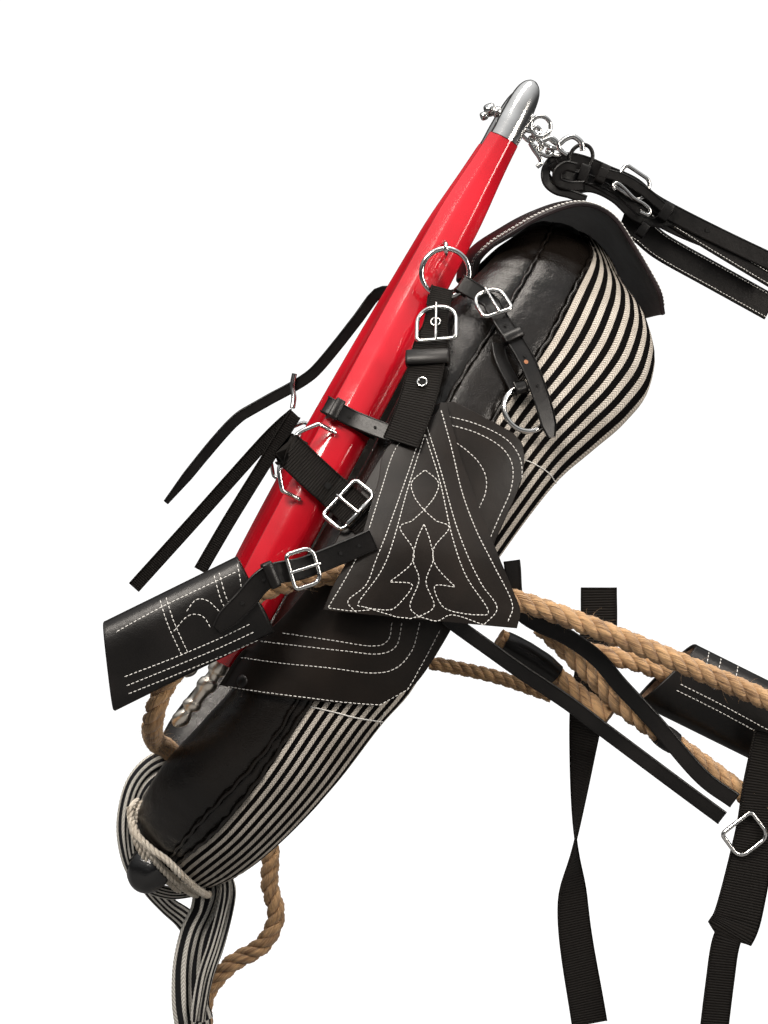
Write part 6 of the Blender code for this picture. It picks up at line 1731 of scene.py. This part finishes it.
# Straps behind the collar: two long leather straps, one under the other, that cross over the
# traces on their way to the belly.
LOWER_STRAP_SHARES = (
    (0.025, 0.283, -0.05), (0.038, 0.28, -0.061), (0.075, 0.271, -0.088), (0.111, 0.2665, -0.114),
    (0.167, 0.266, -0.152), (0.205, 0.266, -0.181), (0.29, 0.269, -0.245), (0.345, 0.271, -0.286),
)
CROSS_STRAP_SHARES = (
    (0.1, 0.272, 0.012), (0.11, 0.272, -0.045), (0.165, 0.272, -0.076), (0.198, 0.272, -0.1),
    (0.225, 0.272, -0.131), (0.266, 0.272, -0.175), (0.319, 0.272, -0.236), (0.359, 0.272, -0.266),
)
for node, rows, share in (("lower_strap", LOWER_STRAP_SHARES, 0.4), ("cross_strap", CROSS_STRAP_SHARES, 0.44)):
    plain_strap(node + "_leather", rows, WEBBING_WIDTH * share, STRAP_LEATHER, bridle, "collar", node)

# Rope coverings: a leather tube sewn round the inner trace, and a leather band that binds the
# lower trace where the others cross it.


def covering(name, route, share_from, share_to, radius, ridges=0.0):
    """A leather tube round a rope, between two shares of the rope's route."""
    line = even_route(smooth_route([Vector(p) for p in route], 12), radius * 0.5)
    part_line = line[int(share_from * (len(line) - 1)):int(share_to * (len(line) - 1)) + 1]
    radii = []
    for i in range(len(part_line)):
        share = i / (len(part_line) - 1)
        end = min(1.0, min(share, 1 - share) * len(part_line) / 2.5)
        radii.append(radius * (0.9 + 0.1 * end) * (1 + ridges * math.sin(i * 1.9)))
    rod(name, part_line, radius, bridle, "collar", 32, "bridle_leather", radii=radii)


covering("inner_trace_tube", INNER_TRACE_ROUTE, 0.05, 0.5, ROPE_RADIUS * 1.17, 0.012)
covering("crossing_band_one", LOWER_TRACE_ROUTE, 0.5, 0.56, ROPE_RADIUS * 1.16)

# Belly webbing and girth webbing: ribbed nylon that hangs free from the traces. The belly webbing
# twists once on its way down; the girth is folded double, with a chromed buckle.
BELLY_SHARES = (
    (0.218, 0.1786, -0.028), (0.217, 0.1786, -0.091), (0.203, 0.1786, -0.186), (0.191, 0.1786, -0.33),
    (0.19, 0.1786, -0.426), (0.21, 0.1786, -0.553),
)
GIRTH_SHARES = (
    (0.405, 0.2665, -0.19), (0.393, 0.2665, -0.25), (0.385, 0.2665, -0.31), (0.366, 0.2665, -0.4),
    (0.352, 0.2665, -0.432), (0.345, 0.2665, -0.48), (0.336, 0.2665, -0.56),
)
GIRTH_WIDTH_SHARES = ((0.0, 1.05), (0.25, 1.1), (0.62, 1.36), (0.635, 0.78), (1.0, 0.78))
GIRTH_BUCKLE_SHARES = (0.372, 0.2713, -0.306)
GIRTH_BUCKLE_WIDTH = 0.036
GIRTH_BUCKLE_LENGTH = 0.03
GIRTH_WAY_SHARES = (0.6, 0.0, -0.8)
BELLY_TWIST_SHARES = ((0.0, 0.0), (0.3, 0.08), (0.48, 0.36), (0.62, 0.60), (0.76, 0.86), (1.0, 1.0))
belly_centres = smooth_route([spot(*row) for row in BELLY_SHARES], 8)
belly_acrosses = [
    unit(Quaternion(way, math.pi * read_shares(BELLY_TWIST_SHARES, i / (len(belly_centres) - 1))) @ way.cross(OUT))
    for i, way in enumerate(directions(belly_centres))
]
strap("belly_web", belly_centres, belly_acrosses, WEBBING_WIDTH, WEBBING, nylon, "belly_webbing",
      ("belly_webbing",), slot_name="nylon_webbing")
plain_strap("girth_web", GIRTH_SHARES, WEBBING_WIDTH, WEBBING, nylon, "girth", "girth_webbing",
            GIRTH_WIDTH_SHARES, slot_name="nylon_webbing")
buckle("girth", free_frame(spot(*GIRTH_BUCKLE_SHARES), unit(Vector(GIRTH_WAY_SHARES))), GIRTH_BUCKLE_WIDTH,
       GIRTH_BUCKLE_LENGTH, pinned=False, body="girth")

# Straps above the collar: bridle leather straps that run on over the horse's back, from a snap and
# a ring on the hame chain. Two of them are sewn in white along their edges.
TOP_RING_RADIUS = 0.0105
TOP_RING_SHARES = (2.347, -0.158, -1.213)


def from_place(start, row, size):
    """A place from another one, by shares of a size: along X, out to the near side and up."""
    return start + Vector((row[0], -row[1], row[2])) * size


TOP_RING_CENTRE = from_place(hame_point(HAME_TOP_SHARE * COLLAR_LENGTH - CAP_LENGTH / 2),
                             TOP_RING_SHARES, TOP_RING_RADIUS)
SNAP_SHARES = (
    (0.8, 0, -1.08), (1.76, 0, -1.68), (2.48, 0, -1.2), (3.28, 0, -0.96), (4.08, 0, -1.52), (4.24, 0, -2.32),
)
UPPER_STRAP_WIDTH = 0.0185
UPPER_STRAP_SHARES = (
    (0.186, 0.0238, 0.489), (0.205, 0.0238, 0.4935), (0.228, 0.0238, 0.489), (0.255, 0.0238, 0.478),
    (0.288, 0.0238, 0.464), (0.318, 0.0238, 0.441), (0.39, 0.0238, 0.405), (0.475, 0.0238, 0.366),
)
UPPER_BUCKLE_SHARES = (0.287, 0.0286, 0.4655)
UPPER_BUCKLE_WIDTH = 0.026
UPPER_BUCKLE_LENGTH = 0.034
UPPER_WAY_SHARES = (0.84, 0.0, -0.54)
STITCHED_STRAP_SHARES = (
    (0.3, 0.0199, 0.44), (0.343, 0.0199, 0.42), (0.39, 0.0199, 0.392), (0.475, 0.0199, 0.343),
)
BACK_STRAP_WIDTH = 0.029
BACK_STRAP_SHARES = (
    (0.2795, -0.006, 0.4205), (0.305, -0.006, 0.411), (0.334, -0.006, 0.389), (0.4, -0.006, 0.3535),
    (0.475, -0.006, 0.3135),
)
hoop("top_hoop", TOP_RING_CENTRE, OUT, TOP_RING_RADIUS, STAPLE_ROD, "collar", "top_ring")
snap_line = smooth_route([from_place(TOP_RING_CENTRE, row, TOP_RING_RADIUS) for row in SNAP_SHARES], 7)
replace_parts(rod("top_snap_hook", snap_line, STAPLE_ROD * 1.3, chrome, "collar", 14), "top_snap")
_, upper_frames = plain_strap("upper_strap_leather", UPPER_STRAP_SHARES, UPPER_STRAP_WIDTH, STRAP_LEATHER, bridle,
                              "collar", "upper_strap")
holes("upper_strap_hole", upper_frames, (0.76, 0.85), 0.0018, STRAP_LEATHER)
buckle("upper", free_frame(spot(*UPPER_BUCKLE_SHARES), unit(Vector(UPPER_WAY_SHARES))), UPPER_BUCKLE_WIDTH,
       UPPER_BUCKLE_LENGTH, pinned=False)
for node, rows, width, thickness in (
        ("stitched_strap", STITCHED_STRAP_SHARES, UPPER_STRAP_WIDTH * 0.9, STRAP_LEATHER),
        ("back_strap", BACK_STRAP_SHARES, BACK_STRAP_WIDTH, LEATHER)):
    _, frames = plain_strap(node + "_leather", rows, width, thickness, bridle, "collar", node)
    edge_stitches(node + "_thread", frames, thickness)

# Hame chain: oval links of chromed steel from the caps to the strap, held by a bolt through the
# cap, with two bent hooks and a curl of rod between them.
CHAIN_MARKS = ((519, 126), (528, 134), (536, 143), (545, 150), (555, 152))
CHAIN_Y = -0.028
CHAIN_LINK = 0.0165
CHAIN_WIDTH = 0.0105
CHAIN_ROD = 0.0021
BOLT_Y = 0.02
BOLT_BEADS = ((497, 112, 0.0055), (490, 110, 0.0068), (484, 116, 0.0045))
BOLT_PROFILE = ((-1, 0.3), (-0.95, 0.8), (-0.6, 1.0), (0, 1.05), (0.6, 1.0), (0.95, 0.8), (1, 0.3))
HOOK_ROD = 0.0024
HOOK_MARKS = (
    (-0.034, ((523, 128), (530, 131), (536, 127), (540, 131), (536, 138))),
    (-0.03, ((530, 143), (534, 150), (539, 157), (541, 163), (537, 167))),
    (-0.036, ((543, 141), (551, 138), (557, 142), (560, 150), (567, 155))),
)
centres = [at_picture(u, v, CHAIN_Y) for u, v in CHAIN_MARKS]
for k, centre in enumerate(centres):
    way = unit(centres[min(k + 1, len(centres) - 1)] - centres[max(k - 1, 0)])
    side = unit(way.cross(Vector((0, 1, 0)) if k % 2 else unit(Vector((0.6, 0.5, 0.6)))))
    link = []
    for turn in circle(40):
        aside = abs(math.cos(turn)) > 1e-6
        stretch = math.copysign((CHAIN_LINK - CHAIN_WIDTH) / 2, math.cos(turn)) if aside else 0.0
        link.append(centre + way * (math.cos(turn) * CHAIN_WIDTH / 2 + stretch)
                    + side * math.sin(turn) * CHAIN_WIDTH / 2)
    rod("hame_chain_" + str(k + 1), link, CHAIN_ROD, chrome, "collar", 12, closed=True)
for k, (u, v, size) in enumerate(BOLT_BEADS):
    line = [at_picture(u, v, BOLT_Y) + Vector((0.8, 0, 0.3)) * size * a for a, _ in BOLT_PROFILE]
    rod("chain_bolt_" + str(k + 1), line, size, chrome, "collar", 20, radii=[size * s for _, s in BOLT_PROFILE])
for k, (y, marks) in enumerate(HOOK_MARKS):
    line = smooth_route([at_picture(u, v, y) for u, v in marks], 6)
    rod("chain_hook_" + str(k + 1), line, HOOK_ROD, chrome, "collar", 12)

# Loops and keepers above the collar: spare strap ends turned back through sewn leather rings and
# keepers, all of bridle leather, and a chromed bar that they hang on.
RING_MARK = (581, 158)
RING_Y = -0.020
RING_THICK = 0.0021
BAR_ROD = 0.0019
BAR_Y = -0.032
BAR_MARKS = (
    (615, 190), (613, 186), (617, 183), (624, 188), (634, 198), (644, 204), (650, 210), (648, 215),
    (640, 212),
)
SPARE_ENDS = (
    ("billet_one", -0.028, -0.010, 0.012, 0.0035,
     ((552, 163), (560, 172), (572, 176), (590, 180), (612, 192), (640, 210), (668, 226), (700, 240), (735, 252),
      (768, 262))),
    ("billet_two", -0.024, -0.016, 0.010, 0.0034,
     ((546, 176), (556, 190), (572, 190), (592, 188), (614, 198), (634, 216), (652, 222), (676, 222), (700, 232),
      (735, 246), (768, 258))),
    ("billet_three", -0.030, -0.028, 0.011, 0.003, ((600, 172), (622, 178), (640, 188), (655, 200), (668, 212))),
    ("billet_turn_one", -0.018, -0.034, 0.010, 0.004,
     ((566, 156), (553, 160), (546, 170), (547, 182), (556, 190), (570, 194), (586, 200))),
    ("billet_turn_two", -0.036, -0.030, 0.011, 0.004,
     ((576, 168), (566, 166), (558, 172), (559, 182), (570, 186), (584, 186))),
)
KEEPERS = (
    ("upper_keeper_one", (583, 174, -0.021), 0.35, 0.016, 0.010, 0.011),
    ("upper_keeper_two", (602, 174, -0.024), 0.45, 0.017, 0.010, 0.011),
    ("upper_keeper_three", (665, 212, -0.022), 0.55, 0.017, 0.012, 0.012),
    ("upper_keeper_four", (642, 230, -0.016), 0.6, 0.013, 0.010, 0.010),
)
line = [at_picture(RING_MARK[0] + 11.5 * math.cos(turn) - 2 * math.sin(turn),
                   RING_MARK[1] + 13.5 * math.sin(turn), RING_Y) for turn in circle(48)]
rod("leather_ring", line, RING_THICK, bridle, "collar", 12, "bridle_leather", closed=True)
for name, first_y, last_y, width, thickness, marks in SPARE_ENDS:
    last = len(marks) - 1
    rows = [at_picture(u, v, first_y + (last_y - first_y) * i / last) for i, (u, v) in enumerate(marks)]
    centres = smooth_route(rows, 6)
    strap(name, centres, [unit(way.cross(OUT)) for way in directions(centres)], width, thickness, bridle,
          "collar", finer=2)
for name, mark, tilt, width, height, length in KEEPERS:
    along = Vector((math.cos(tilt), 0, -math.sin(tilt)))
    leather_loop(name, (at_picture(*mark), unit(OUT.cross(along)), along, OUT), width, height, length, RING_THICK,
                 "collar")
line = smooth_route([at_picture(u, v, BAR_Y) for u, v in BAR_MARKS], 6)
rod("upper_bar", line, BAR_ROD, chrome, "collar", 14)

# Far side: a long leather strap with a pointed tip on the far ring, a chromed snap under it, and
# nylon webbing folded over the snap.
FAR_CENTRE = Vector((RING_CENTRE.x, -RING_CENTRE.y, RING_CENTRE.z))


def far_places(rows):
    """Places on the far side, from the middle of its hame ring."""
    return [from_place(FAR_CENTRE, row, COLLAR_LENGTH) for row in rows]


FAR_STRAP_WIDTH = 0.013
FAR_STRAP_SHARES = (
    (-0.0547, -0.018, -0.0029), (-0.1257, -0.03, -0.0929), (-0.1577, -0.042, -0.1219),
    (-0.2167, -0.054, -0.1549), (-0.2577, -0.054, -0.1849), (-0.3427, -0.054, -0.2869),
)
FAR_SNAP_SHARES = (
    (-0.1667, -0.0365, -0.1109), (-0.1697, -0.038, -0.1279), (-0.1677, -0.035, -0.1429),
    (-0.1697, -0.0305, -0.1574),
)
FAR_WEBBING_WIDTH = 0.0155
FAR_WEBBING_SHARES = (
    (-0.3867, -0.052, -0.4029), (-0.3017, -0.046, -0.3089), (-0.2067, -0.04, -0.2029),
    (-0.1727, -0.0375, -0.1709), (-0.1667, -0.0305, -0.1664), (-0.1707, -0.0235, -0.1729),
    (-0.2017, -0.0235, -0.2229), (-0.2547, -0.0235, -0.3079), (-0.2957, -0.0235, -0.3779),
)
over = far_places(FAR_STRAP_SHARES)
start, across = loop_round(FAR_CENTRE, over[0], FAR_STRAP_WIDTH, STRAP_LEATHER, STRAP_UNDER_SHARE)
over = smooth_route(over, 3)
acrosses = [across] * len(start) + [unit(way.cross(OUT)) for way in directions(over)]
strap("far_strap_leather", start + over, acrosses, FAR_STRAP_WIDTH, STRAP_LEATHER, bridle, "collar",
      ("far_long_strap",), tip_widths(len(start) + len(over), FAR_STRAP_WIDTH))
line = smooth_route(far_places(FAR_SNAP_SHARES), 6)
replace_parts(rod("far_snap_hook", line, STAPLE_ROD * 1.4, chrome, "collar", 14), "far_snap")
centres = smooth_route(far_places(FAR_WEBBING_SHARES), 2)
strap("far_web", centres, [unit(Vector((0.72, 0, -0.69)))] * len(centres), FAR_WEBBING_WIDTH, WEBBING, nylon,
      "collar", ("far_webbing",), slot_name="nylon_webbing")

# Ties: three-strand cotton cord wound three times round the collar's throat, and a torn band of
# ticking looped through it, whose ends hang free.
TIE_RADIUS = 0.004
TIE_TURNS = 3
TIE_PITCH = 0.0105
TIE_START_SHARES = (0.9179, -0.0407)
TIE_START = (TIE_START_SHARES[0] * COLLAR_LENGTH, TIE_START_SHARES[1] * COLLAR_DEPTH)
TIE_SLOPE = 1.5
TIE_FRONT_SHARE = -0.0671
TIE_FRONT = TIE_FRONT_SHARE * COLLAR_DEPTH
TIE_BOW = 0.065
TIE_BOW_SHARE = 0.45
TIE_REACH = 0.05
TIE_CLEARANCE = 0.0032
TIE_SEARCH_STEPS = 300
TIE_STEPS = 24
TIE_ACROSS_STEPS = 12
TIE_LIFT = TIE_RADIUS + TIE_CLEARANCE
TIE_SETTLINGS = 8


def tie_point(turn, shift):
    """A point of the cord on the outside of the collar's throat, at a turn round it."""
    centre = MIDDLE_RUN - HALF_RUN * math.cos(turn)
    front, _, _, rear = edges(centre)
    found = None
    for k in range(TIE_SEARCH_STEPS):
        back = TIE_FRONT + (rear + TIE_REACH - TIE_FRONT) * k / TIE_SEARCH_STEPS
        ahead = math.copysign(TIE_LIFT, front + rear - 2 * back)
        share = min(1.0, max(0.0, (back + ahead - front) / (rear - front)))
        grow = padding_at(centre) * swell(share) + TIE_RADIUS + TIE_CLEARANCE
        down = MIDDLE_RUN - (HALF_RUN + grow) * math.cos(turn)
        miss = abs(TIE_START[1] + (down - TIE_START[0]) * TIE_SLOPE + shift - back)
        if found is None or miss < found[0]:
            found = (miss, back, grow)
    return round_neck(turn, *found[1:])


def tie_start_turn(shift):
    """The turn at which the cord leaves the collar's side for its front."""
    down = TIE_START[0] + (TIE_FRONT - TIE_START[1] - shift) / TIE_SLOPE
    return math.acos((MIDDLE_RUN - down) / (HALF_RUN + TIE_RADIUS + TIE_CLEARANCE))


cotton = rope_finish("cotton_cord", (0.50, 0.42, 0.32), (0.86, 0.79, 0.68))
step = TIE_PITCH * math.hypot(1, TIE_SLOPE)
route = []
for lap in range(TIE_TURNS):
    first = tie_start_turn(lap * step)
    for k in range(TIE_STEPS + 1):
        route.append(tie_point(first + (2 * math.pi - 2 * first) * k / TIE_STEPS, lap * step))
    if lap < TIE_TURNS - 1:
        onward = tie_point(tie_start_turn((lap + 1) * step), (lap + 1) * step)
        last = route[-1]
        for k in range(1, TIE_ACROSS_STEPS):
            share = k / TIE_ACROSS_STEPS
            bow = TIE_BOW * ease(1 - abs(1 - 2 * share) / TIE_BOW_SHARE)
            route.append(last.lerp(onward, share) + BACK * bow)
trees = [tree_of(bpy.data.objects[name]) for name in ("roll_leather", "wale_leather", "ticking_cloth")]
route = even_route(route, TIE_RADIUS * 6.8)
for settling in range(TIE_SETTLINGS):
    for i, point in enumerate(route):
        if 0 < i < len(route) - 1 and settling < TIE_SETTLINGS - 2:
            point = point * 0.5 + (route[i - 1] + route[i + 1]) * 0.25
        for tree in trees:
            near, normal, _, gap = tree.find_nearest(point)
            if gap < TIE_LIFT or (point - near).dot(normal) < 0 and gap < 6 * TIE_LIFT:
                point = near + normal * TIE_LIFT
        route[i] = point
route = even_route(smooth_route(route, 6), TIE_RADIUS * 0.5)
fitted(laid_rope("tie_cord_laid", route, TIE_RADIUS, cotton), "collar", "cotton_cord", "tie_cord")
BAND_WIDTH = 0.022
BAND_THICKNESS = 0.009
BAND_PLACES_SHARES = (
    (0.876, -0.045, 0.044), (0.893, -0.07, 0.036), (0.917, -0.068, 0.03), (0.94, -0.035, 0.024),
    (0.955, -0.005, 0.012), (0.98, 0.06, 0.004), (1.003, 0.12, 0.0), (1.022, 0.2, -0.002),
    (1.034, 0.3, -0.002), (1.04, 0.4, 0.0), (1.054, 0.49, 0.004), (1.085, 0.545, 0.006), (1.119, 0.59, 0.008),
    (1.153, 0.648, 0.01), (1.193, 0.711, 0.01),
)
BAND_WIDTH_SHARES = ((0.0, 0.8), (0.25, 1.0), (0.5, 0.9), (0.62, 1.0), (0.75, 1.25), (0.9, 1.5), (1.0, 1.75))
BAND_FOLD_SHARE = 0.16
band_cloth = ticking_finish("band_ticking", 4.5, (0.78, 0.76, 0.71), (0.016, 0.016, 0.018), (0.55, 0.53, 0.48))


def gathered(name, centres, lean, sides, widths, thickness, shape_at, *nodes):
    """A soft gathered strip of ticking. shape_at gives how far out its face is and how much it
    spreads, at a point's number and a turn round it."""
    rings = []
    uvs = []
    gone = 0.0
    for i, (centre, way) in enumerate(zip(centres, directions(centres))):
        gone += (centre - centres[i - 1]).length if i else 0.0
        across = unit(way.cross(lean))
        face = outward(unit(across.cross(way)))
        half = read_shares(widths, i / (len(centres) - 1)) / 2
        ring = []
        for turn in circle(sides):
            out, spread = shape_at(i, turn)
            ring.append(centre + across * half * math.cos(turn) * spread + face * thickness * 0.5 * out)
        rings.append(ring)
        uvs.append([(0.5 + 0.5 * math.cos(turn), gone) for turn in circle(sides)])
    fitted(skin(name, rings, uvs, band_cloth, sharp=75), "collar", "ticking", *nodes)


def band_shape(i, turn):
    fold = 1 + BAND_FOLD_SHARE * math.cos(3 * turn + i * BAND_FOLD_SHARE / 7)
    fold += 0.1 * math.cos(7 * turn + i * 0.05)
    return fold * math.sin(turn), 1 + 0.05 * math.sin(i * 0.21)


centres = smooth_route([place(down * COLLAR_LENGTH, back * COLLAR_DEPTH, out * COLLAR_LENGTH)
                        for down, back, out in BAND_PLACES_SHARES], 14)
gathered("tie_band_cloth", centres, OUT, 40, [(at, BAND_WIDTH * share) for at, share in BAND_WIDTH_SHARES],
         BAND_THICKNESS, band_shape, "tie_band")

# Throat wrap: the same torn ticking, gathered and wound round the collar's closed ends, with two
# loose tails. The stuffed leather end of the roll shows in it as a polished knob.
WRAP_LEAN = OUT + Vector((0.35, 0, 0.2))
WRAPS = (
    ("throat_wrap_front", 0.014, 0.14,
     ((0.0, 0.022), (0.12, 0.030), (0.3, 0.026), (0.6, 0.018), (0.8, 0.014), (1.0, 0.012)),
     ((180, 768, -0.040), (166, 764, -0.062), (150, 771, -0.082), (136, 788, -0.094), (128, 815, -0.100),
      (127, 842, -0.102), (133, 868, -0.102), (147, 885, -0.096), (170, 893, -0.080), (194, 891, -0.055))),
    ("throat_wrap_second", 0.020, 0.16,
     ((0.0, 0.012), (0.3, 0.020), (1.0, 0.012)),
     ((180, 768, -0.030), (162, 770, -0.052), (147, 780, -0.070), (136, 800, -0.080), (130, 826, -0.084),
      (132, 852, -0.084), (142, 874, -0.076), (160, 884, -0.060))),
    ("throat_wrap_across", 0.010, 0.2,
     ((0.0, 0.020), (0.5, 0.034), (1.0, 0.020)),
     ((134, 800, -0.088), (130, 808, -0.060), (129, 815, -0.020), (130, 822, 0.020), (138, 830, 0.055))),
    ("wrap_tail", 0.020, 0.3,
     ((0.0, 0.024), (0.2, 0.040), (0.4, 0.034), (0.7, 0.036), (1.0, 0.042)),
     ((206, 872, -0.056), (211, 890, -0.058), (207, 910, -0.060), (196, 935, -0.064), (190, 965, -0.066),
      (190, 1000, -0.068), (194, 1022, -0.070))),
    ("wrap_tail_front", 0.012, 0.25,
     ((0.0, 0.010), (0.2, 0.018), (1.0, 0.016)),
     ((224, 868, -0.070), (228, 890, -0.078), (224, 915, -0.082), (216, 945, -0.084), (206, 975, -0.086),
      (200, 1005, -0.088), (198, 1020, -0.088))),
)


def wrap_shape(i, turn, folds):
    fold = 1 + folds * math.cos(5 * turn + i * 0.04) + folds * 0.6 * math.cos(9 * turn - i * 0.07)
    loose = noise.noise(Vector((math.cos(turn) * 2, i * 0.05, 3.0)))
    return fold * math.sin(turn) + 0.6 * loose, 1.0


for name, thickness, folds, widths, marks in WRAPS:
    gathered(name, smooth_route([at_picture(*mark) for mark in marks], 10), WRAP_LEAN, 44, widths, thickness,
             lambda i, turn: wrap_shape(i, turn, folds))
END_RADIUS = 0.0225
END_MARK = (150, 867, -0.106)
END_WAY = Vector((-0.42, -0.25, -0.87))
roll_end_leather = leather_finish("roll_end_leather", (0.004, 0.004, 0.004), (0.010, 0.010, 0.011), 0.13, 700, 60,
                                  0.0006, 0.8)


def end_size(rise, turn):
    size = END_RADIUS * math.sin(rise) * (1 + 0.025 * math.cos(6 * turn) * math.sin(rise))
    return size * (1 + 0.03 * noise.noise(Vector((math.cos(turn) * 2, math.sin(turn) * 2, rise * 2))))


roll_end = knob("roll_end_knob", at_picture(*END_MARK), unit(END_WAY), END_RADIUS, 1.2, 24, 48, 0.02, end_size,
                roll_end_leather, 80)
fitted(roll_end, "collar", "collar_leather")
